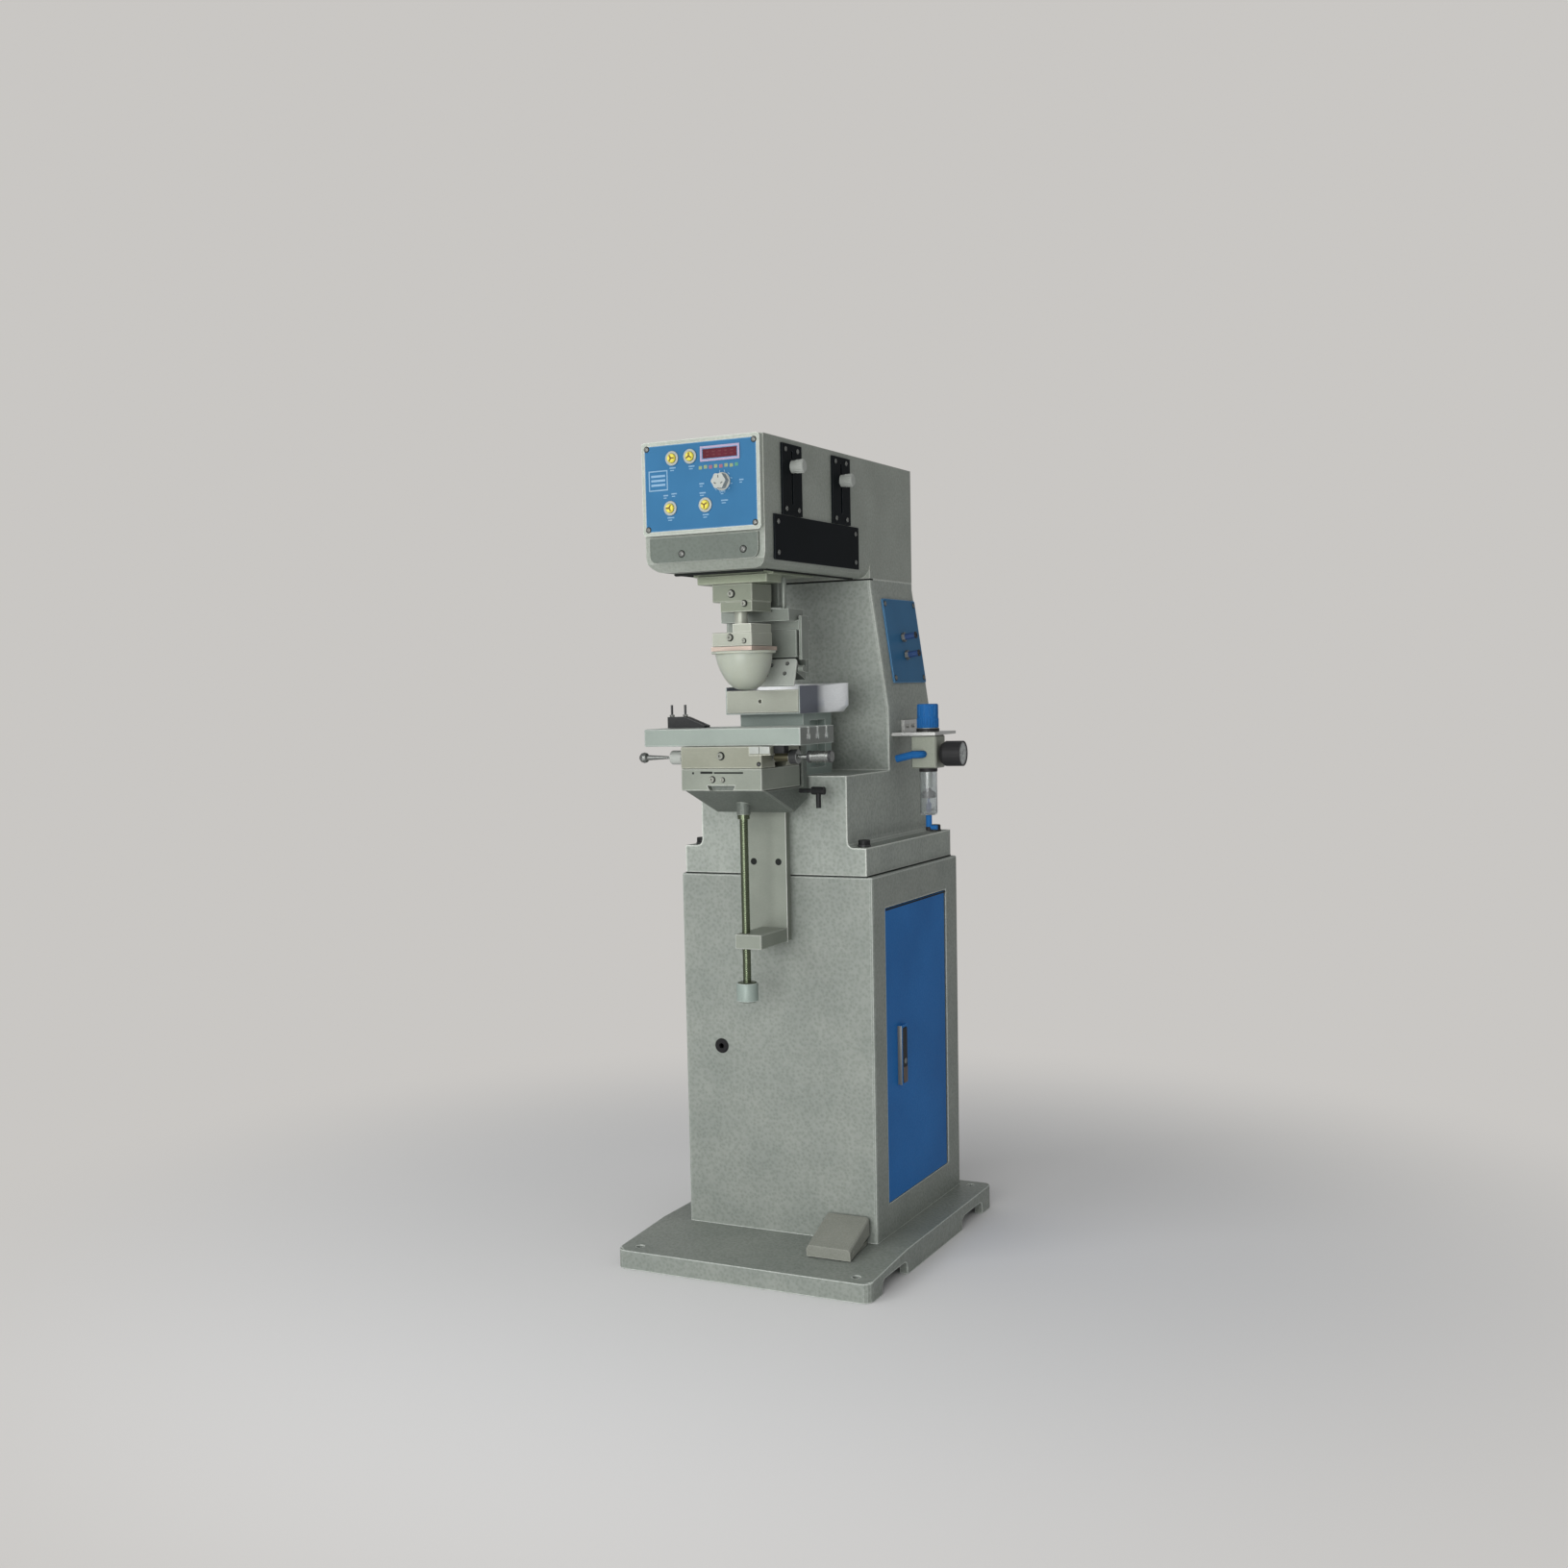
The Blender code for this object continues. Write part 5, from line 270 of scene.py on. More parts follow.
        "hollow": (0.88, 0.88, 0.87), "edge": (0.50, 0.51, 0.49), "rough": (0.4, 0.55), "metal": 0.3,
        "pebble": 520.0, "grain": 1200.0, "bump": 0.2, "edgeWidth": 0.0008},
    "zinc bracket": {
        "colour": (0.58, 0.585, 0.56), "second": (0.50, 0.505, 0.49), "grime": (0.28, 0.28, 0.26),
        "edge": (0.78, 0.78, 0.75), "rough": (0.24, 0.38), "metal": 0.85, "grain": 400.0,
        "stretch": (1.0, 6.0, 1.0), "bump": 0.08, "edgeWidth": 0.0008},
    "pedal paint": {
        "colour": (0.27, 0.28, 0.245), "second": (0.225, 0.235, 0.205), "grime": (0.09, 0.095, 0.08),
        "hollow": (0.85, 0.85, 0.83), "edge": (0.33, 0.34, 0.30), "rough": (0.42, 0.58), "pebble": 420.0,
        "grain": 900.0, "bump": 0.2, "depth": 0.0006},
    "silicone": {
        "colour": (0.386, 0.412, 0.353), "second": (0.353, 0.378, 0.319), "grime": (0.286, 0.302, 0.252),
        "rough": (0.30, 0.44), "grain": 500.0, "cloud": 30.0, "bump": 0.05, "fleck": 0.2,
        "Subsurface Weight": 0.35},
    "backing wood": {
        "colour": (0.52, 0.43, 0.37), "second": (0.44, 0.35, 0.295), "grime": (0.27, 0.20, 0.16),
        "edge": (0.62, 0.54, 0.47), "rough": (0.5, 0.7), "grain": 300.0, "stretch": (1.0, 14.0, 14.0),
        "bump": 0.3, "edgeWidth": 0.0006},
    "clear bowl": {
        "colour": (0.90, 0.93, 0.93), "second": (0.86, 0.90, 0.90), "grime": (0.70, 0.74, 0.74),
        "rough": (0.05, 0.14), "grain": 300.0, "bump": 0.03, "fleck": 0.15, "Transmission Weight": 0.9,
        "IOR": 1.46},
    "rubber": {
        "colour": (0.020, 0.020, 0.021), "second": (0.015, 0.015, 0.016), "grime": (0.028, 0.028, 0.027),
        "edge": (0.035, 0.035, 0.035), "rough": (0.55, 0.75), "grain": 1200.0, "bump": 0.3,
        "edgeWidth": 0.0005, "shine": 0.05},
    "red window": {
        **moulded, "colour": (0.10, 0.010, 0.022), "second": (0.07, 0.007, 0.015),
        "grime": (0.05, 0.01, 0.012), "edge": (0.20, 0.05, 0.06), "rough": (0.2, 0.3), "bump": 0.03,
        "edgeWidth": 0.0004, "shine": 0.1},
    "symbol brown": {
        "colour": (0.17, 0.09, 0.02), "second": (0.13, 0.07, 0.02), "grime": (0.22, 0.15, 0.04),
        "rough": (0.45, 0.6), "grain": 1500.0, "bump": 0.05},
    "mark pale": {
        **printed, "colour": (0.24, 0.36, 0.47), "second": (0.17, 0.30, 0.43), "grime": (0.08, 0.22, 0.38)},
    "mark label": {
        **printed, "colour": (0.22, 0.35, 0.47), "second": (0.16, 0.30, 0.44), "grime": (0.14, 0.28, 0.46),
        "fleck": 0.7},
    "mark yellow": {
        **printed, "colour": (0.26, 0.30, 0.10), "second": (0.20, 0.26, 0.12), "grime": (0.09, 0.20, 0.22)},
    "mark red": {
        **printed, "colour": (0.26, 0.09, 0.13), "second": (0.20, 0.09, 0.15), "grime": (0.20, 0.10, 0.16)},
    "mark green": {
        **printed, "colour": (0.06, 0.24, 0.14), "second": (0.05, 0.20, 0.15), "grime": (0.06, 0.20, 0.18)},
    "lit red": {
        "colour": (0.13, 0.012, 0.02), "second": (0.10, 0.010, 0.018), "grime": (0.07, 0.01, 0.015),
        "rough": (0.2, 0.3), "grain": 1500.0, "bump": 0.02},
    "lilac frame": {
        **moulded, "colour": (0.34, 0.28, 0.40), "second": (0.30, 0.245, 0.36), "grime": (0.24, 0.21, 0.31),
        "edge": (0.56, 0.51, 0.62), "rough": (0.3, 0.42), "bump": 0.06, "edgeWidth": 0.0004},
    "brown sleeve": {
        "colour": (0.13, 0.12, 0.075), "second": (0.10, 0.095, 0.06), "grime": (0.05, 0.05, 0.035),
        "edge": (0.30, 0.29, 0.20), "rough": (0.28, 0.42), "metal": 0.7, "grain": 500.0, "bump": 0.1,
        "edgeWidth": 0.0005},
    "dial white": {
        "colour": (0.62, 0.64, 0.60), "second": (0.57, 0.60, 0.55), "grime": (0.42, 0.44, 0.40),
        "rough": (0.35, 0.5), "grain": 1800.0, "bump": 0.03, "fleck": 0.2},
    "latch brown": {
        "colour": (0.10, 0.075, 0.06), "second": (0.075, 0.055, 0.045), "grime": (0.04, 0.03, 0.028),
        "edge": (0.20, 0.16, 0.13), "rough": (0.4, 0.55), "grain": 1200.0, "bump": 0.1, "edgeWidth": 0.0004},
}.items()}
print("finishes made", len(finishes))

nodeFinish = {
    "hammer paint": ("base_plate", "cabinet"),
    "riser metal": ("tray_riser",),
    "lit column paint": ("column",),
    "cover paint": ("head_housing",),
    "rim paint": ("head_front_cover",),
    "nose paint": ("nose_cover",),
    "door blue": ("door",),
    "panel blue": ("control_panel", "valve_panel"),
    "machined cream": ("pad_rod", "plate_holder"),
    "shaded ram metal": ("pad_ram_block",),
    "slide cream": ("slide_upper",),
    "carriage metal": ("carriage",),
    "table metal": ("work_table",),
    "slide metal": ("slide_lower", "guide_plate", "nut_bracket"),
    "knee casting": ("knee",),
    "ground steel": ("rail_left", "rail_right", "stroke_cylinder", "valve_bank"),
    "bright chrome": ("table_screw",),
    "thread steel": ("lift_screw",),
    "black oxide": ("toe_clamp", "gauge_needle"),
    "black paint": ("clamp_lever", "door_latch"),
    "black plate": ("stroke_strip_front", "stroke_strip_rear", "side_guard"),
    "black plastic": ("gauge_body",),
    "doctor grey": ("blade_holder", "blade_hanger"),
    "doctor bright": ("doctor_blade",),
    "polished tray": ("ink_tray",),
    "cliche steel": ("cliche_plate",),
    "yellow plastic": ("push_button_1", "push_button_2", "push_button_3", "push_button_4"),
    "white plastic": ("selector_knob", "stroke_knob_front", "stroke_knob_rear"),
    "knob blue": ("regulator_knob", "regulator_elbow", "bowl_drain"),
    "fitting blue": ("air_fitting_upper", "air_fitting_lower"),
    "cast beige": ("regulator_body",),
    "zinc bracket": ("regulator_bracket",),
    "pedal paint": ("pedal_treadle", "pedal_base"),
    "silicone": ("silicone_pad",),
    "backing wood": ("pad_backing",),
    "clear bowl": ("filter_bowl",),
    "rubber": ("cabinet_grommet",),
    "red window": ("display_window",),
}
for finishName, names in nodeFinish.items():
    for name in names:
        for materialSlot in nodes[name].material_slots:
            materialSlot.material = finishes[finishName]
print("CAD nodes dressed")


# Each piece is drawn with the modelling operators, then put in place
def deselect():
    if bpy.context.mode != "OBJECT":
        bpy.ops.object.mode_set(mode="OBJECT")
    bpy.ops.object.select_all(action="DESELECT")


def newPiece(name, kind, **values):
    deselect()
    size = values.pop("scale", (1, 1, 1))
    getattr(bpy.ops.mesh, "primitive_" + kind + "_add")(**values)
    piece = bpy.context.object
    piece.name = name
    piece.scale = size
    bpy.ops.object.transform_apply(location=True, rotation=True, scale=True)
    return piece


# A disc drawn up through rings of (radius, height), so a ring may also lead back down a bore
def turnedUp(name, steps, sides=32):
    radius, height = steps[0]
    piece = newPiece(name, "circle", vertices=sides, radius=radius, fill_type="NGON", location=(0, 0, height))
    bpy.ops.object.mode_set(mode="EDIT")
    bpy.ops.mesh.select_all(action="SELECT")
    for nextRadius, nextHeight in steps[1:]:
        bpy.ops.mesh.extrude_region_move(TRANSFORM_OT_translate={"value": (0, 0, nextHeight - height)})
        grow = nextRadius / radius
        bpy.ops.transform.resize(value=(grow, grow, 1), center_override=(0, 0, nextHeight))
        radius, height = nextRadius, nextHeight
    bpy.ops.mesh.select_all(action="SELECT")
    bpy.ops.mesh.normals_make_consistent(inside=False)
    deselect()
    return piece


def selectOnly(piece):
    deselect()
    piece.select_set(True)
    bpy.context.view_layer.objects.active = piece


# Adds a modifier and applies it
def use(piece, kind, **values):
    selectOnly(piece)
    modifier = piece.modifiers.new(kind.lower(), kind)
    for key, value in values.items():
        setattr(modifier, key, value)
    bpy.ops.object.modifier_apply(modifier=modifier.name)


def easeEdges(piece, width, segments=2):
    use(piece, "BEVEL", width=width, segments=segments, limit_method="ANGLE", angle_limit=math.radians(35))


def carve(piece, cutter):
    use(piece, "BOOLEAN", operation="DIFFERENCE", solver="EXACT", object=cutter)
    bpy.data.objects.remove(cutter)


def joined(*parts):
    deselect()
    for part in parts:
        part.select_set(True)
    bpy.context.view_layer.objects.active = parts[0]
    bpy.ops.object.join()
    return parts[0]


def smooth(piece, angle=35):
    selectOnly(piece)
    bpy.ops.object.shade_smooth_by_angle(angle=math.radians(angle))


masters = []


# A shape that is only copied. It is removed when all its copies are made.
def master(piece, angle=35):
    smooth(piece, angle)
    masters.append(piece)
    return piece


def finishAndRide(piece, finish, body):
    piece.data.materials.clear()
    piece.data.materials.append(finishes[finish])
    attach(piece, body)
    return piece


def copyOf(source, name, place):
    mesh = source.data.copy()
    mesh.transform(Matrix.Translation(origin) @ place)
    piece = bpy.data.objects.new(name, mesh)
    scene.collection.objects.link(piece)
    return piece


# A copy with its own mesh, its own Z along toward, riding with a body
def putCopy(source, name, place, toward, body, finish, size=1.0, turn=0.0):
    aim = Vector(toward).to_track_quat("Z", "Y").to_matrix().to_4x4()
    spin = Matrix.Rotation(turn, 4, "Z") @ Matrix.Scale(size, 4)
    return finishAndRide(copyOf(source, name, Matrix.Translation(place) @ aim @ spin), finish, body)


# The piece itself goes from the machine's own coordinates to its place
def settle(piece, name, body, finish, angle=35):
    smooth(piece, angle)
    piece.data.transform(Matrix.Translation(origin))
    piece.name = name
    return finishAndRide(piece, finish, body)


# A block from its lowest to its highest corner, with eased edges
def bar(name, low, high, ease=0.0):
    size = [b - a for a, b in zip(low, high)]
    piece = newPiece(name, "cube", size=1, location=[(a + b) / 2 for a, b in zip(low, high)], scale=size)
    if ease:
        easeEdges(piece, ease)
    return piece


def move(piece, x, y, z=0.0):
    piece.data.transform(Matrix.Translation((x, y, z)))


# A point on a circle: how far along and how far up
def onCircle(radius, angle):
    return radius * math.cos(angle), radius * math.sin(angle)


forward, outward, upward = (0, -1, 0), (1, 0, 0), (0, 0, 1)
panelFace = -0.312

# Screws: a cross head and a socket head, modelled once and copied
s = {"radius": 0.0042, "slot": 0.0006, "reach": 0.0026, "depth": 0.0011, "top": 0.004, "sides": 28,
     "dome": ((1.0, -0.0003), (1.0, 0.0005), (0.93, 0.0011), (0.72, 0.0017), (0.4, 0.0021), (0.15, 0.0022))}
crossScrew = turnedUp("cross screw", [(s["radius"] * share, height) for share, height in s["dome"]],
                      s["sides"])
for x, y in ((s["reach"], s["slot"]), (s["slot"], s["reach"])):
    carve(crossScrew, bar("cross arm", (-x, -y, s["depth"]), (x, y, s["top"])))
master(crossScrew)
s = {"radius": 0.0040, "height": 0.0034, "ease": 0.0004, "foot": -0.0003, "socket": 0.0022, "depth": 0.0012,
     "cutter": 0.004, "sides": 28}
socketScrew = turnedUp("socket screw", [(s["radius"], s["foot"]), (s["radius"], s["height"] - s["ease"]),
                                        (s["radius"] - s["ease"], s["height"])], s["sides"])
carve(socketScrew, newPiece("hex", "cylinder", vertices=6, radius=s["socket"], depth=s["cutter"],
                            location=(0, 0, s["depth"] + s["cutter"] / 2)))
master(socketScrew)
# a dark ring round each screw head: painted shade where the head meets the face
shadeRing = master(turnedUp("screw seat", [(0.0048, 0.0), (0.0052, 0.0001), (0.0050, 0.00035),
                                      (0.0044, 0.00045)], 28))
washer = master(turnedUp("bolt washer", [(0.0090, -0.0003), (0.0094, 0.0001), (0.0094, 0.0024),
                                         (0.0088, 0.0028)], 36))

# The column's right side leans in as it rises, and the blue plate with its fittings leans with it
s = {"inward": 0.026, "rise": 0.180, "x": 0.114, "over": 0.0995, "z": 0.8895}
taper = math.atan2(s["inward"], s["rise"])
taperOut = Vector((math.cos(taper), 0, math.sin(taper)))
taperUp = Vector((-math.sin(taper), 0, math.cos(taper)))
taperFoot = Vector((s["x"] - s["over"] * math.tan(taper), 0, s["z"]))

# Where the screws sit: the faces first, then rows of head, size, direction, body, finish, slot and places
s = {"nose": -0.308, "strip": 0.0908, "guard": 0.0905, "ram": -0.2265, "rod": -0.2305, "slide": -0.272,
     "flange": 0.6016, "washer": 0.599, "guide": -0.1333, "guideShadeRing": -0.13612, "blade": -0.1317,
     "bladeTop": 0.8557, "bladeLean": 0.35, "plate": 0.0028, "turn": 0.7}
screwRows = (
    (crossScrew, 0.78, forward, "stand", "screw steel", "control_panel",
     [(x, panelFace, z) for x in (-0.0785, 0.0785) for z in (1.0365, 1.1415)]),
    (crossScrew, 0.95, forward, "stand", "screw steel", "nose_cover",
     [(x, s["nose"], z) for x, z in ((-0.032, 1.003), (0.0585, 1.004))]),
    (crossScrew, 0.8, outward, "stand", "screw steel", "stroke_strip_front",
     [(s["strip"], y, z)
      for y, z in ((-0.242, 1.1355), (-0.2044, 1.1355), (-0.2415, 1.0585), (-0.2025, 1.0585))]),
    (crossScrew, 0.8, outward, "stand", "screw steel", "stroke_strip_rear",
     [(s["strip"], y, z)
      for y, z in ((-0.0771, 1.136), (-0.0400, 1.136), (-0.0765, 1.058), (-0.0385, 1.058))]),
    (crossScrew, 0.8, outward, "stand", "screw steel", "side_guard",
     [(s["guard"], y, z)
      for y, z in ((-0.268, 1.040), (-0.009, 1.040), (-0.268, 1.000), (-0.009, 1.000))]),
    (socketScrew, 1.1, forward, "shuttle", "ground steel", "pad_ram_block", [(-0.001, s["ram"], 0.9524)]),
    (socketScrew, 0.9, forward, "shuttle", "ground steel", "pad_ram_block", [(0.0179, s["ram"], 0.9387)]),
    (socketScrew, 1.0, forward, "pad_ram", "ground steel", "pad_rod", [(-0.0025, s["rod"], 0.8935)]),
    (socketScrew, 0.7, forward, "pad_ram", "ground steel", "pad_rod", [(0.0185, s["rod"], 0.8885)]),
    (socketScrew, 1.1, forward, "table", "ground steel", "slide_upper", [(0.0005, s["slide"], 0.7349)]),
    (crossScrew, 0.6, forward, "table", "black oxide", "slide_upper", [(0.0567, s["slide"], 0.7238)]),
    (socketScrew, 0.9, forward, "cross_slide", "ground steel", "slide_lower",
     [(-0.0129, s["slide"], 0.7035)]),
    (socketScrew, 0.7, forward, "cross_slide", "ground steel", "slide_lower",
     [(0.0025, s["slide"], 0.7030)]),
    (socketScrew, 2.1, upward, "stand", "black paint", "column",
     [(x, y, s["flange"]) for x in (-0.128, 0.128) for y in (-0.085, 0.200)]),
    (socketScrew, 0.95, forward, "stand", "screw steel", "guide_plate",
     [(x, s["guide"], 0.580) for x in (-0.020, 0.0185)]),
    (socketScrew, 0.55, (0, -0.94, 0.33), "blade_unit", "screw steel", "doctor_blade",
     [(x, s["blade"] - (s["bladeTop"] - z) * s["bladeLean"], z)
      for x, z in ((0.012, 0.8557), (0.036, 0.8576), (0.0056, 0.842), (0.0337, 0.844))]),
    (crossScrew, 0.85, taperOut, "stand", "screw steel", "valve_panel",
     [taperFoot + taperOut * s["plate"] + taperUp * z + Vector((0, y, 0))
      for y in (0.0905, 0.2065) for z in (-0.0555, 0.0555)]))
number = 0
for source, size, toward, body, finish, slotName, places in screwRows:
    for place in places:
        putCopy(source, f"screw_{number}_{slotName}", place, toward, body, finish, size,
                number * s["turn"])
        if slotName == "column":
            putCopy(washer, f"washer_{number}_{slotName}", (place[0], place[1], s["washer"]), toward, body,
                    "black oxide")
        else:
            if slotName == "guide_plate":  # its screws are sunk, and the dark shade rings stay on its face
                place = (place[0], s["guideShadeRing"], place[2])
            putCopy(shadeRing, f"seat_{number}_{slotName}", place, toward, body, "gasket black", size)
        number += 1
print("screws placed", number)

# Push buttons: a white ring about each, and a three-armed sign on its yellow cap
s = {"ring": 0.0078, "band": 0.0017, "flat": 0.5, "ringOut": 0.0013, "armHalf": 0.0009, "armLength": 0.0046,
     "armFoot": -0.0001, "armTop": 0.0003, "armOut": 0.00462, "turn": 90,
     "places": ((-0.0405, 1.1270), (-0.0138, 1.1274), (-0.0446, 1.0627), (0.0072, 1.0635))}
ring = newPiece("button ring", "torus", major_radius=s["ring"], minor_radius=s["band"], major_segments=40,
                minor_segments=8)
ring.data.transform(Matrix.Diagonal((1, 1, s["flat"], 1)))
master(ring, 60)
arms = [bar("button arm", (-s["armHalf"], 0, s["armFoot"]), (s["armHalf"], s["armLength"], s["armTop"]))
        for index in range(3)]
for index, arm in enumerate(arms):
    arm.data.transform(Matrix.Rotation(math.radians(120 * index + 60), 4, "Z"))
sign = master(joined(*arms))
for number, (x, z) in enumerate(s["places"], 1):
    putCopy(ring, f"ring_button_{number}", (x, panelFace - s["ringOut"], z), forward, "stand",
            "white plastic")
    putCopy(sign, f"symbol_button_{number}", (x, panelFace - s["armOut"], z), forward, f"button_{number}",
            "symbol brown", 1.0, math.radians(s["turn"] * number))
dash = bar("panel dash", (-0.5, -0.5, 0), (0.5, 0.5, 0.0003))  # one unit wide and high, 0.3 mm thick
masters.append(dash)


# A printed mark on the panel, a hair proud of it
def printMark(name, x, z, wide, high, finish, turn=0.0, lift=0.0, body="stand", slotName="control_panel"):
    place = (Matrix.Translation((x, panelFace - lift, z)) @ Matrix.Rotation(math.radians(90), 4, "X")
             @ Matrix.Rotation(turn, 4, "Z") @ Matrix.Diagonal((wide, high, 1, 1)))
    finishAndRide(copyOf(dash, name, place), finish, body)


s = {"x": 0.001, "z": 1.1115, "pitch": 0.0075, "stagger": 0.0006, "wide": 0.0048, "high": 0.0044,
     "colours": ("yellow", "yellow", "red", "yellow", "red", "yellow", "yellow", "green")}
for index, colour in enumerate(s["colours"]):
    printMark(f"dash_{index}", s["x"] + s["pitch"] * index, s["z"] + s["stagger"] * (index % 2), s["wide"],
              s["high"], "mark " + colour)
s = {"high": 0.0017, "back": 0.001, "drop": 0.0032, "share": 0.6, "lowHigh": 0.0013,
     "rows": ((-0.0512, 1.0797, 0.007), (-0.0388, 1.0812, 0.008), (0.0034, 1.0792, 0.009),
              (0.0350, 1.0675, 0.010), (0.0329, 1.0793, 0.006), (0.0024, 1.0911, 0.007),
              (-0.0119, 1.1146, 0.009), (-0.0400, 1.1146, 0.009), (0.060, 1.0920, 0.006),
              (-0.0446, 1.0505, 0.010), (0.0072, 1.0510, 0.009))}
for index, (x, z, wide) in enumerate(s["rows"]):
    printMark(f"caption_{index}", x, z, wide, s["high"], "mark pale")
    printMark(f"caption_low_{index}", x - s["back"], z - s["drop"], wide * s["share"], s["lowHigh"],
              "mark pale")
selector = {"x": 0.0324, "z": 1.0917, "ticks": 12, "tickRadius": 0.0135, "tick": (0.0032, 0.0009), "marks": 3,
            "markRadius": 0.0055, "mark": (0.0034, 0.0012), "markOut": 0.01203, "skirtOut": 0.0004}
for index in range(selector["ticks"]):
    angle = math.radians(30 * index + 15)
    along, up = onCircle(selector["tickRadius"], angle)
    printMark(f"dial_tick_{index}", selector["x"] + along, selector["z"] + up, *selector["tick"], "mark pale",
              -angle)


# A flat frame: a plane that is inset, opened and given a thickness
def framePlate(name, s, finish):
    plate = newPiece(name, "plane", size=1, location=(s["x"], panelFace - s["out"], s["z"]),
                     rotation=(math.radians(90), 0, 0), scale=(s["wide"], s["high"], 1))
    bpy.ops.object.mode_set(mode="EDIT")
    bpy.ops.mesh.select_all(action="SELECT")
    bpy.ops.mesh.inset(thickness=s["border"])
    bpy.ops.mesh.delete(type="FACE")
    deselect()
    use(plate, "SOLIDIFY", thickness=s["thick"], offset=-1)
    easeEdges(plate, s["thick"] * 0.3, 1)
    settle(plate, name, "stand", finish)


# Display: a lilac frame and unlit figures, each a pair of bars
s = {"x": 0.030, "z": 1.1287, "wide": 0.0572, "high": 0.0195, "border": 0.0027, "out": 0.0018,
     "thick": 0.0012, "first": 0.0125, "pitch": 0.0088, "apart": 0.0021, "bar": (0.0042, 0.0011),
     "barOut": 0.00145}
framePlate("display_bezel", s, "lilac frame")
for index in range(5):
    for side in (-1, 1):
        printMark(f"digit_{index}_{side}", s["first"] + s["pitch"] * index, s["z"] + s["apart"] * side,
                  *s["bar"], "lit red", 0.0, s["barOut"], "stand", "display_window")
# The label's place: a thin frame round three bare lines
s = {"x": -0.062, "z": 1.0995, "wide": 0.0285, "high": 0.0265, "border": 0.0016, "out": 0.0003,
     "thick": 0.0004, "top": 1.1055, "pitch": 0.0058, "line": (0.021, 0.0028)}
framePlate("label_border", s, "mark pale")
for index in range(3):
    printMark(f"label_line_{index}", s["x"], s["top"] - s["pitch"] * index, *s["line"], "mark label")
for index in range(selector["marks"]):
    angle = math.radians(90 + 120 * index)
    along, up = onCircle(selector["markRadius"], angle)
    printMark(f"selector_mark_{index}", selector["x"] + along, selector["z"] + up, *selector["mark"],
              "black plastic", -angle, selector["markOut"], "selector", "selector_knob")
print("panel detailed")

# Silicone pad: a full round body with a soft blunt tip that leans a little to the right
s = {"x": 0.0008, "y": -0.1965, "rim": 0.044, "top": 0.8755, "lip": 0.0035, "shoulder": 0.039,
     "flare": 0.0012, "ease": 0.0008, "apex": 0.8222, "tip": 0.006, "tipHeight": 0.0006,
     "tipRings": ((0.0008, 0.0), (0.0028, 0.0002)), "fullness": 1.25, "rings": 36, "sides": 96, "lean": 0.0035}
under = s["top"] - s["lip"]
rings = [(radius, s["apex"] + height) for radius, height in s["tipRings"]]
for index in range(s["rings"], -1, -1):
    angle = math.radians(90 * index / s["rings"])
    radius = s["tip"] + (s["shoulder"] - s["tip"]) * math.cos(angle)
    height = under - (under - s["apex"]) * math.sin(angle) ** s["fullness"]
    if height > s["apex"] + s["tipHeight"]:
        rings.append((radius, height))
rings += [(s["shoulder"] + s["flare"], under), (s["rim"] - s["ease"], under), (s["rim"], under + s["ease"]),
          (s["rim"], s["top"] - s["ease"]), (s["rim"] - s["ease"], s["top"])]
pad = turnedUp("pad", rings, s["sides"])
for vertex in pad.data.vertices:
    vertex.co.x += s["lean"] * (s["top"] - vertex.co.z) / (s["top"] - s["apex"])
move(pad, s["x"], s["y"])
settle(pad, "soft_pad", "pad_ram", "silicone", 50)
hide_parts("silicone_pad")

# Ink tray: the node's own sheet, welded, cut off behind the holder's face, its rim rising at the back
s = {"front": -0.1385, "from": -0.058, "to": -0.020, "rise": 0.0028, "top": 0.8265, "rim": 0.001,
     "ease": 0.0003, "weld": 0.00002, "frontBand": 0.0006}
deselect()
tray = nodes["ink_tray"].copy()
tray.data = nodes["ink_tray"].data.copy()
tray.parent = None
for key in list(tray.keys()):
    del tray[key]
scene.collection.objects.link(tray)
selectOnly(tray)
bpy.ops.object.mode_set(mode="EDIT")
bpy.ops.mesh.select_all(action="SELECT")
bpy.ops.mesh.remove_doubles(threshold=s["weld"])
bpy.ops.mesh.select_all(action="SELECT")
bpy.ops.mesh.bisect(plane_co=origin + Vector((0, s["front"], s["top"])), plane_no=(0, 1, 0), use_fill=True,
                    clear_inner=True)
deselect()
tray.data.transform(Matrix.Translation(-origin))
for vertex in tray.data.vertices:
    if vertex.co.z > s["top"] - s["rim"]:
        part = min(1, max(0, (vertex.co.y - s["from"]) / (s["to"] - s["from"])))
        vertex.co.z += s["rise"] * part * part * (3 - 2 * part)
easeEdges(tray, s["ease"], 1)
settle(tray, "tray_sheet", "stand", "polished tray", 50)
tray.data.materials.append(finishes["riser metal"])  # for its cut front
for face in tray.data.polygons:
    if face.center.y - origin.y < s["front"] + s["frontBand"]:
        face.material_index = 1
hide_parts("ink_tray")

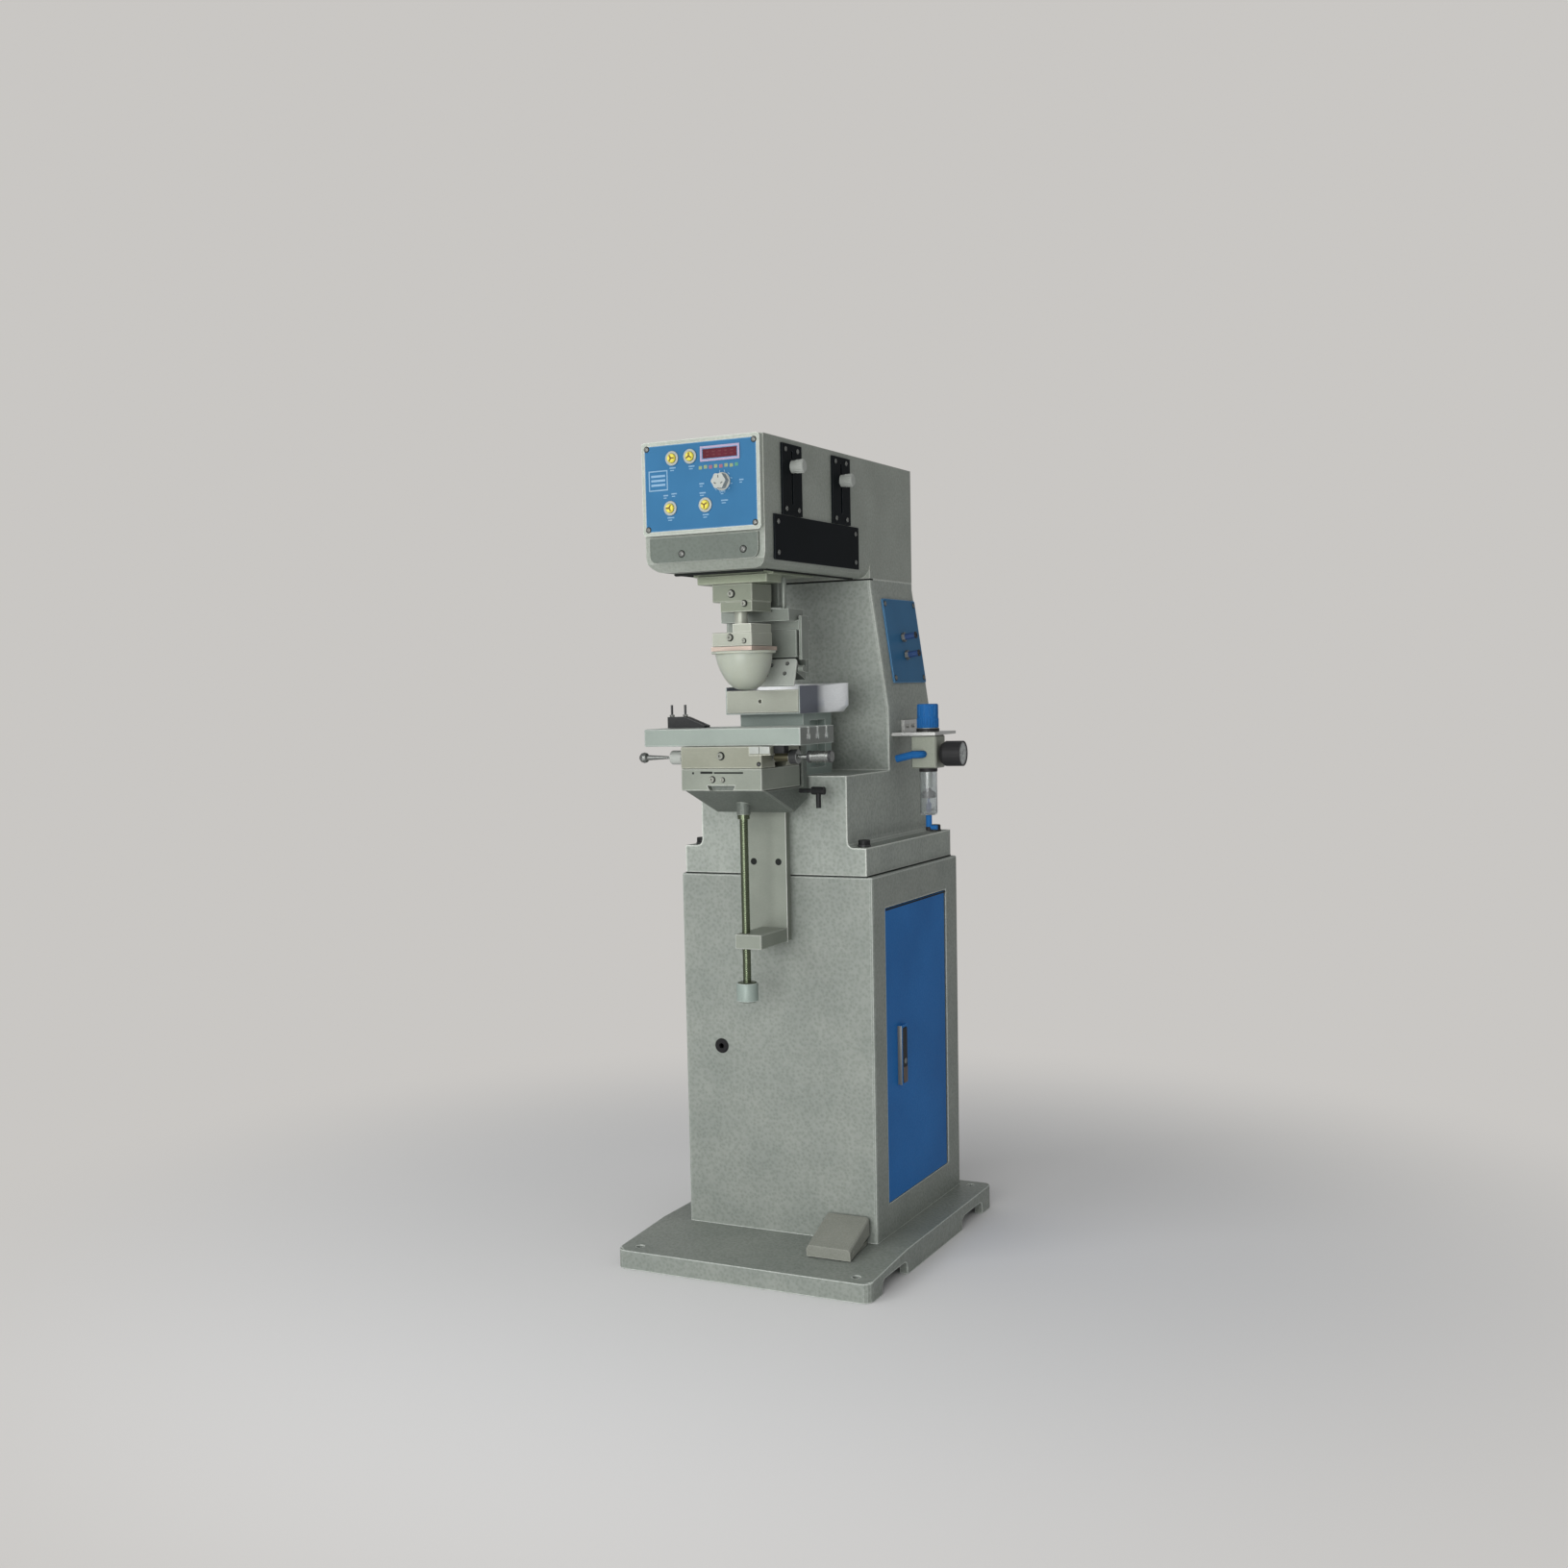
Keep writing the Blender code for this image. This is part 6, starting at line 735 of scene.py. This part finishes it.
# Lift screw: its thread, one rolled profile, and its hand knob's grip
s = {"y": -0.206, "root": 0.0053, "crest": 0.00588, "pitch": 0.003, "low": 0.4195, "high": 0.6455,
     "steps": 20, "grip": [(0.0150, 0.3925), (0.0152, 0.3935), (0.0152, 0.4165), (0.0146, 0.4175)],
     "bore": 0.0132, "boreLength": 0.05, "boreMiddle": 0.405}
thread = newPiece("thread", "plane", size=0.001)
bpy.ops.object.mode_set(mode="EDIT")
bpy.ops.mesh.select_all(action="SELECT")
bpy.ops.mesh.merge(type="CENTER")
bpy.ops.transform.translate(value=(s["root"], s["y"], s["low"]))
for across, rise in ((s["crest"] - s["root"], s["pitch"] * 0.35), (0, s["pitch"] * 0.15),
                     (s["root"] - s["crest"], s["pitch"] * 0.5)):
    bpy.ops.mesh.extrude_region_move(TRANSFORM_OT_translate={"value": (across, 0, rise)})
bpy.ops.mesh.select_all(action="SELECT")
bpy.ops.mesh.screw(steps=s["steps"], turns=int((s["high"] - s["low"]) / s["pitch"]) - 1,
                   center=(0, s["y"], s["low"]), axis=(0, 0, 1))
bpy.ops.mesh.select_all(action="SELECT")
bpy.ops.mesh.remove_doubles(threshold=0.00001)
bpy.ops.mesh.normals_make_consistent(inside=False)
deselect()
move(thread, 0, 0, s["low"] - min(vertex.co.z for vertex in thread.data.vertices))  # it is rolled downwards
settle(thread, "screw_thread", "knee_screw", "thread steel", 60)
grip = turnedUp("grip", s["grip"], 40)
carve(grip, newPiece("grip bore", "cylinder", vertices=40, radius=s["bore"], depth=s["boreLength"],
                     location=(0, 0, s["boreMiddle"])))
move(grip, 0, s["y"])
settle(grip, "knob_sleeve", "knee_screw", "riser metal")

# Sleeves about the table's spindle: black collars, milled grip rings, a brown shaft
s = {"y": -0.235, "z": 0.732, "ease": 0.0004}
for name, left, right, inner, outer, finish, sides in (
        ("left_collar_black", -0.0750, -0.0612, 0.0090, 0.0099, "black oxide", 36),
        ("left_collar_light", -0.0925, -0.0760, 0.0090, 0.0098, "white plastic", 18),
        ("right_disc_black", 0.0870, 0.0975, 0.0090, 0.0099, "black oxide", 36),
        ("right_shaft_dark", 0.0640, 0.0858, 0.0028, 0.0062, "brown sleeve", 36),
        ("right_knob_collar", 0.1125, 0.1165, 0.0070, 0.0081, "black oxide", 36),
        ("right_knob_ring", 0.1425, 0.1466, 0.0070, 0.0081, "black oxide", 36),
        ("right_knob_milling", 0.1200, 0.1390, 0.0072, 0.0079, "bright chrome", 24)):
    sleeve = turnedUp(name, [(outer - s["ease"], left), (outer, left + s["ease"]), (outer, right - s["ease"]),
                             (outer - s["ease"], right), (inner, right), (inner, left)], sides)
    sleeve.data.transform(Matrix.Translation((0, s["y"], s["z"])) @ Matrix.Rotation(math.radians(90), 4, "Y"))
    settle(sleeve, name, "table_spindle", finish)
print("pad and spindles done")

# Air unit: a clear bowl with its insides, bands and ribs round the blue knob
airUnit = {"x": 0.160, "y": 0.088, "sides": 40, "bowlSides": 48, "ribs": 24, "ribRadius": 0.0155,
           "ribFoot": 0.7608}
bowl = turnedUp("bowl", [(0.0098, 0.6321), (0.0122, 0.6336), (0.0128, 0.6358), (0.0128, 0.7011),
                         (0.0112, 0.7011), (0.0112, 0.6368), (0.0094, 0.6345)], airUnit["bowlSides"])
move(bowl, airUnit["x"], airUnit["y"])
settle(bowl, "clear_bowl", "stand", "clear bowl", 50)
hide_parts("filter_bowl")
for name, finish, steps in (
        ("bowl_filter", "white plastic",
         [(0.0055, 0.672), (0.0062, 0.673), (0.0062, 0.6985), (0.0055, 0.7005)]),
        ("bowl_baffle", "black plastic",
         [(0.0080, 0.6565), (0.0106, 0.6575), (0.0106, 0.6645), (0.0050, 0.6680), (0.0020, 0.6725)]),
        ("bowl_float", "fitting blue",
         [(0.0028, 0.6350), (0.0040, 0.6360), (0.0040, 0.6480), (0.0018, 0.6500), (0.0018, 0.6570)]),
        ("bowl_band", "black plastic",
         [(0.01325, 0.6960), (0.0134, 0.6965), (0.0134, 0.7005), (0.01325, 0.7011), (0.0129, 0.7011),
          (0.0129, 0.6960)]),
        ("drain_tip", "black plastic",
         [(0.0040, 0.6086), (0.0047, 0.6092), (0.0047, 0.6140), (0.0040, 0.6150)]),
        ("knob_ring", "black plastic",
         [(0.0165, 0.7552), (0.0169, 0.7556), (0.0169, 0.7592), (0.0165, 0.7596), (0.0140, 0.7596),
          (0.0140, 0.7552)]),
        ("body_band", "black plastic",
         [(0.0150, 0.7013), (0.0160, 0.7016), (0.0160, 0.7030), (0.0150, 0.7034)])):
    piece = turnedUp(name, steps, airUnit["sides"])
    move(piece, airUnit["x"], airUnit["y"])
    settle(piece, name, "stand", finish)
rib = master(bar("knob rib", (-0.0006, -0.0008, 0), (0.0007, 0.0008, 0.0135), 0.0004))
for index in range(airUnit["ribs"]):
    angle = math.radians(360 / airUnit["ribs"] * index)
    x, y = onCircle(airUnit["ribRadius"], angle)
    putCopy(rib, f"knob_rib_{index}", (airUnit["x"] + x, airUnit["y"] + y, airUnit["ribFoot"]), upward,
            "pressure_knob", "knob blue", 1.0, angle)

# Gauge: dial, glass, 21 ticks of which every fifth is long, and five plain figures
s = {"y": airUnit["y"], "z": 0.7223, "dial": 0.2106, "glass": 0.2133, "tick": 0.21085, "tickRadius": 0.0142,
     "tickStep": 13.5, "long": 1.3, "short": 0.8, "green": 13, "figure": 0.21087, "figureRadius": 0.0100,
     "figureStep": 67.5, "figureSize": 0.0050, "figureThick": 0.00006, "sides": 48}
dial = master(turnedUp("dial", [(0.0162, 0.0), (0.0165, 0.0002)], s["sides"]))
putCopy(dial, "gauge_dial", (s["dial"], s["y"], s["z"]), outward, "stand", "dial white")
glass = master(turnedUp("glass", [(0.0164, 0.0), (0.0164, 0.0005), (0.0120, 0.0008), (0.0060, 0.0009)],
                        s["sides"]), 60)
putCopy(glass, "gauge_glass", (s["glass"], s["y"], s["z"]), outward, "stand", "clear bowl")
tick = master(bar("gauge tick", (-0.0011, -0.00025, 0), (0.0011, 0.00025, 0.0002)))
for index in range(21):
    angle = math.radians(-45 + s["tickStep"] * index)
    across, up = onCircle(s["tickRadius"], angle)
    putCopy(tick, f"gauge_tick_{index}", (s["tick"], s["y"] + across, s["z"] + up), outward, "stand",
            "mark green" if index > s["green"] else "black plastic",
            s["short"] if index % 5 else s["long"], angle)
for index in range(5):
    across, up = onCircle(s["figureRadius"], math.radians(225 - s["figureStep"] * index))
    deselect()
    bpy.ops.object.text_add()
    figure = bpy.context.object
    figure.data.body = str(index * 3)
    figure.data.size = s["figureSize"]
    figure.data.align_x = "CENTER"
    figure.data.align_y = "CENTER"
    figure.data.extrude = s["figureThick"]
    bpy.ops.object.convert(target="MESH")
    figure = bpy.context.object
    figure.data.transform(Matrix.Translation((s["figure"], s["y"] + across, s["z"] + up))
                          @ Matrix.Rotation(math.radians(90), 4, "Z")
                          @ Matrix.Rotation(math.radians(90), 4, "X"))
    settle(figure, f"gauge_figure_{index}", "stand", "black plastic", 20)

# Push-in fittings on the blue plate: a hex nut at the foot and a black collar at the mouth
s = {"upper": (0.141, 0.0055), "lower": (0.144, -0.0215), "face": 0.0032, "mouth": 0.0200, "collarSize": 0.95}
hexNut = master(turnedUp("fitting nut", [(0.0066, 0.0001), (0.0072, 0.0006), (0.0072, 0.0046),
                                         (0.0066, 0.0051), (0.0058, 0.0051), (0.0058, 0.0001)], 6), 20)
collar = master(turnedUp("fitting sleeve", [(0.0048, 0.0), (0.0053, 0.0004), (0.0053, 0.0022),
                                            (0.0030, 0.0026), (0.0026, 0.0026), (0.0026, 0.0)], 28))
for name in ("upper", "lower"):
    y, z = s[name]
    foot = taperFoot + taperOut * s["face"] + taperUp * z + Vector((0, y, 0))
    putCopy(hexNut, f"fitting_nut_{name}", foot, taperOut, "stand", "screw steel")
    putCopy(collar, f"fitting_collar_{name}", foot + taperOut * s["mouth"], taperOut, "stand",
            "black plastic", s["collarSize"])
print("air unit done")

# Door latch: a bright key cylinder with its slot, and a finger edge
s = {"lock": (0.1569, -0.0125, 0.2820), "lipLow": (0.1568, -0.0195, 0.2505),
     "lipHigh": (0.1578, -0.0055, 0.2735)}
lock = turnedUp("lock", [(0.0038, 0.0), (0.0041, 0.0003), (0.0041, 0.0007), (0.0037, 0.0010)], 32)
carve(lock, bar("key slot", (-0.0004, -0.0022, 0.0004), (0.0004, 0.0022, 0.002)))
putCopy(master(lock), "latch_lock", s["lock"], outward, "latch_lever", "screw steel")
settle(bar("finger lip", s["lipLow"], s["lipHigh"], 0.0004), "latch_finger_lip", "latch_lever", "latch brown")

# Selector's skirt and the grip ribs round the two stroke knobs
skirt = master(turnedUp("skirt", [(0.0112, 0.0), (0.0116, 0.0004), (0.0116, 0.0010), (0.0104, 0.0016)], 40))
putCopy(skirt, "selector_skirt", (selector["x"], panelFace - selector["skirtOut"], selector["z"]), forward,
        "selector", "white plastic")
s = {"ribs": 14, "radius": 0.0083, "length": 0.0100, "back": 0.0115}
gripRib = master(bar("grip rib", (-0.0007, -0.0009, 0), (0.0007, 0.0009, s["length"]), 0.0004))
for node, body in (("stroke_knob_front", "front_stroke_stop"), ("stroke_knob_rear", "rear_stroke_stop")):
    low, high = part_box(node)
    middle = [(a + b) / 2 - c for a, b, c in zip(low, high, origin)]
    for index in range(s["ribs"]):
        angle = 2 * math.pi * index / s["ribs"]
        across, up = onCircle(s["radius"], angle)
        place = (high[0] - origin.x - s["back"], middle[1] + across, middle[2] + up)
        putCopy(gripRib, f"{node}_rib_{index}", place, outward, body, "white plastic", 1.0, angle)

# Toe clamp: teeth up its slope and a nut on each pin
s = {"y": -0.2105, "firstX": -0.0800, "pitch": 0.0046, "jawFoot": 0.7722, "jawHeight": 0.0155,
     "slopeX": -0.082, "drop": 0.0125, "run": 0.031, "normal": (0.37, 0, 0.93), "pinX": -0.095,
     "pinApart": 0.0105, "nutZ": 0.7877}
tooth = master(bar("clamp tooth", (-0.0010, -0.0088, -0.0006), (0.0010, 0.0088, 0.0006), 0.0003))
for index in range(6):
    x = s["firstX"] + s["pitch"] * index
    z = s["jawFoot"] + s["jawHeight"] - (x - s["slopeX"]) * s["drop"] / s["run"]
    putCopy(tooth, f"clamp_tooth_{index}", (x, s["y"], z), s["normal"], "table", "black oxide")
pinNut = master(turnedUp("pin nut", [(0.0030, 0.0), (0.0034, 0.0003), (0.0034, 0.0026),
                                     (0.0030, 0.0030)], 6), 20)
for index in (-1, 1):
    putCopy(pinNut, f"clamp_pin_nut_{index + 1}", (s["pinX"] + index * s["pinApart"], s["y"], s["nutZ"]),
            upward, "table", "screw steel")

# Seams, edges and painted shadow and highlight strips: body, finish, slot and easing, then each piece with its
# lowest and highest corner
for body, finish, slotName, ease, *seams in (
        ("stand", "gasket black", "column", 0.0003,
         # painted shadow: a black strip where the column's front meets the head's floor
         ("head_shadow_strip", (-0.0884, 0.0493, 0.9778), (0.0884, 0.0600, 0.9802)),
         ("flange_gasket", (-0.1424, -0.1124, 0.5581), (0.1424, 0.2294, 0.5600))),
        ("stand", "gasket black", "head_housing", 0.0005,
         ("slot_brush_front", (-0.0655, -0.2665, 0.9770), (0.0655, -0.2620, 0.9806)),
         ("slot_brush_right", (0.0640, -0.2620, 0.9785), (0.0690, 0.0300, 0.9806)),
         ("slot_brush_left", (-0.0690, -0.2620, 0.9785), (-0.0640, 0.0300, 0.9806))),
        ("cross_slide", "gasket black", "slide_lower", 0.0002,
         # painted shade: flat black bars stand for the dark openings of the gib slots
         ("gib_slot_dot", (-0.0436, -0.2722, 0.7106), (-0.0408, -0.2716, 0.7134)),
         ("gib_slot_left", (-0.0310, -0.2722, 0.7112), (-0.0125, -0.2716, 0.7142)),
         ("gib_slot_right", (-0.0105, -0.2722, 0.7112), (0.0332, -0.2716, 0.7134))),
        ("table", "white plastic", "slide_upper", 0.0004,
         ("stop_block_left", (0.0446, -0.2752, 0.7376), (0.0586, -0.2733, 0.7472)),
         ("stop_block_right", (0.0596, -0.2752, 0.7376), (0.0742, -0.2733, 0.7472))),
        ("table", "black paint", "work_table", 0.0006,
         ("stop_block_dark", (0.0750, -0.2640, 0.7378), (0.0900, -0.2480, 0.7478))),
        ("cabinet_door", "screw steel", "door", 0.0001,
         ("latch_cheek", (0.1501, -0.0248, 0.2484), (0.1564, -0.0244, 0.3346))),
        # painted shadow: a black strip along the door's top edge, where the gap above it lies in shade
        ("cabinet_door", "gasket black", "door", 0.0001,
         ("door_top_shadow_strip", (0.1499, -0.0640, 0.5062), (0.1503, 0.1810, 0.5086))),
        # painted highlight: a lighter strip along the door frame's rear edge
        ("stand", "rim paint", "cabinet", 0.0001,
         ("frame_bright_edge", (0.1499, 0.1834, 0.0840), (0.1502, 0.1848, 0.5110)))):
    for name, low, high in seams:
        settle(bar(name, low, high, ease), name, body, finish)
rod = master(turnedUp("rod", [(0.0026, 0.0), (0.0030, 0.0005), (0.0030, 0.0305), (0.0026, 0.0310)], 28))
putCopy(rod, "hanger_rod", (0.0285, -0.1240, 0.9372), upward, "shuttle", "bright rod")

# T-slot nuts at the table's right end: a wide foot and a narrow neck, measured down from the table's top
s = {"pitch": 0.0295, "middle": -0.2105, "top": 0.7719, "left": 0.1050, "right": 0.1146,
     "foot": (0.0050, 0.0166, 0.0105), "neck": (0.0026, 0.0107, 0.0008), "ease": 0.0004}
for index in (-1, 0, 1):
    y = s["middle"] + index * s["pitch"]
    blocks = [bar("nut", (s["left"], y - half, s["top"] - low), (s["right"], y + half, s["top"] - high),
                  s["ease"]) for half, low, high in (s["foot"], s["neck"])]
    settle(joined(*blocks), f"slot_nut_{index + 1}", "table", "bright rod")
for source in masters:
    bpy.data.objects.remove(source)
print("small parts done")

# Floor: pale, and for the camera it fades into the backdrop away from the machine
backdrop = (0.585, 0.57, 0.55, 1)
s = {"radius": 7.0, "drop": -0.0004, "tone": 0.76, "rough": 0.85, "near": 0.55, "far": 1.5}
bpy.ops.mesh.primitive_circle_add(vertices=96, radius=s["radius"], fill_type="NGON",
                                  location=(origin.x, origin.y, s["drop"]))
floor = bpy.context.object
floor.name = "floor"
bpy.ops.object.transform_apply(location=False, rotation=True, scale=True)
floorMat = bpy.data.materials.new("pale floor")
floorMat.use_nodes = True
tree = floorMat.node_tree
paint = tree.nodes["Principled BSDF"]
paint.inputs["Roughness"].default_value = s["rough"]
paint.inputs["Base Color"].default_value = (s["tone"], s["tone"], s["tone"], 1)
coord = tree.nodes.new("ShaderNodeTexCoord")
length = tree.nodes.new("ShaderNodeVectorMath")
length.operation = "LENGTH"
tree.links.new(coord.outputs["Object"], length.inputs[0])
fade = tree.nodes.new("ShaderNodeMapRange")
fade.interpolation_type = "SMOOTHSTEP"
fade.inputs[1].default_value = s["near"]
fade.inputs[2].default_value = s["far"]
tree.links.new(length.outputs["Value"], fade.inputs[0])
path = tree.nodes.new("ShaderNodeLightPath")
seen = tree.nodes.new("ShaderNodeMath")
seen.operation = "MULTIPLY"
tree.links.new(fade.outputs[0], seen.inputs[0])
tree.links.new(path.outputs["Is Camera Ray"], seen.inputs[1])
glow = tree.nodes.new("ShaderNodeEmission")
glow.inputs[0].default_value = backdrop
blend = tree.nodes.new("ShaderNodeMixShader")
tree.links.new(seen.outputs[0], blend.inputs[0])
tree.links.new(paint.outputs[0], blend.inputs[1])
tree.links.new(glow.outputs[0], blend.inputs[2])
tree.links.new(blend.outputs[0], tree.nodes["Material Output"].inputs["Surface"])
floor.data.materials.append(floorMat)

# Studio: an even grey light, with the backdrop's own colour for the camera
studioLight = (0.42, 0.42, 0.42, 1)
world = bpy.data.worlds.new("studio")
scene.world = world
world.use_nodes = True
tree = world.node_tree
light = tree.nodes["Background"]
light.inputs[0].default_value = studioLight
light.inputs[1].default_value = 1.0
wall = tree.nodes.new("ShaderNodeBackground")
wall.inputs[0].default_value = backdrop
path = tree.nodes.new("ShaderNodeLightPath")
blend = tree.nodes.new("ShaderNodeMixShader")
tree.links.new(path.outputs["Is Camera Ray"], blend.inputs[0])
tree.links.new(light.outputs[0], blend.inputs[1])
tree.links.new(wall.outputs[0], blend.inputs[2])
tree.links.new(blend.outputs[0], tree.nodes["World Output"].inputs["Surface"])

lamps = {
    "key": {"place": (-1.7, -2.9, 2.3), "aim": (0.0, 0.0, 0.65), "energy": 42.0, "size": 2.2},
    "front fill": {"place": (0.35, -3.2, 0.75), "aim": (0.0, 0.0, 0.6), "energy": 72.0, "size": 1.7},
}
for name, s in lamps.items():
    lamp = bpy.data.lights.new(name, "AREA")
    lamp.energy = s["energy"]
    lamp.size = s["size"]
    holder = bpy.data.objects.new(name, lamp)
    scene.collection.objects.link(holder)
    holder.location = s["place"]
    holder.rotation_euler = (Vector(s["place"]) - Vector(s["aim"])).to_track_quat("Z", "Y").to_euler()

# Camera at the photograph's viewing angle, in metres and degrees
s = {"place": (1.0864, -2.38685, 0.8188), "azimuth": 28.666, "elevation": 5.425, "roll": -1.497,
     "lens": 41.24, "sensor": 36, "shiftX": 0.0718, "shiftY": 0.0518}
turn = math.radians(s["azimuth"])
rise = math.radians(s["elevation"])
roll = math.radians(s["roll"])
back = Vector((math.sin(turn) * math.cos(rise), -math.cos(turn) * math.cos(rise), math.sin(rise)))
right = Vector((0, 0, 1)).cross(back).normalized()
up = back.cross(right)
axes = (math.cos(roll) * right + math.sin(roll) * up, -math.sin(roll) * right + math.cos(roll) * up, back)
camera = bpy.data.cameras.new("camera")
cameraObject = bpy.data.objects.new("camera", camera)
scene.collection.objects.link(cameraObject)
cameraObject.matrix_world = Matrix.Translation(s["place"]) @ Matrix(axes).transposed().to_4x4()
camera.lens = s["lens"]
camera.sensor_width = s["sensor"]
camera.shift_x = s["shiftX"]
camera.shift_y = s["shiftY"]
scene.camera = cameraObject
scene.view_settings.view_transform = "Standard"
print("stage set")
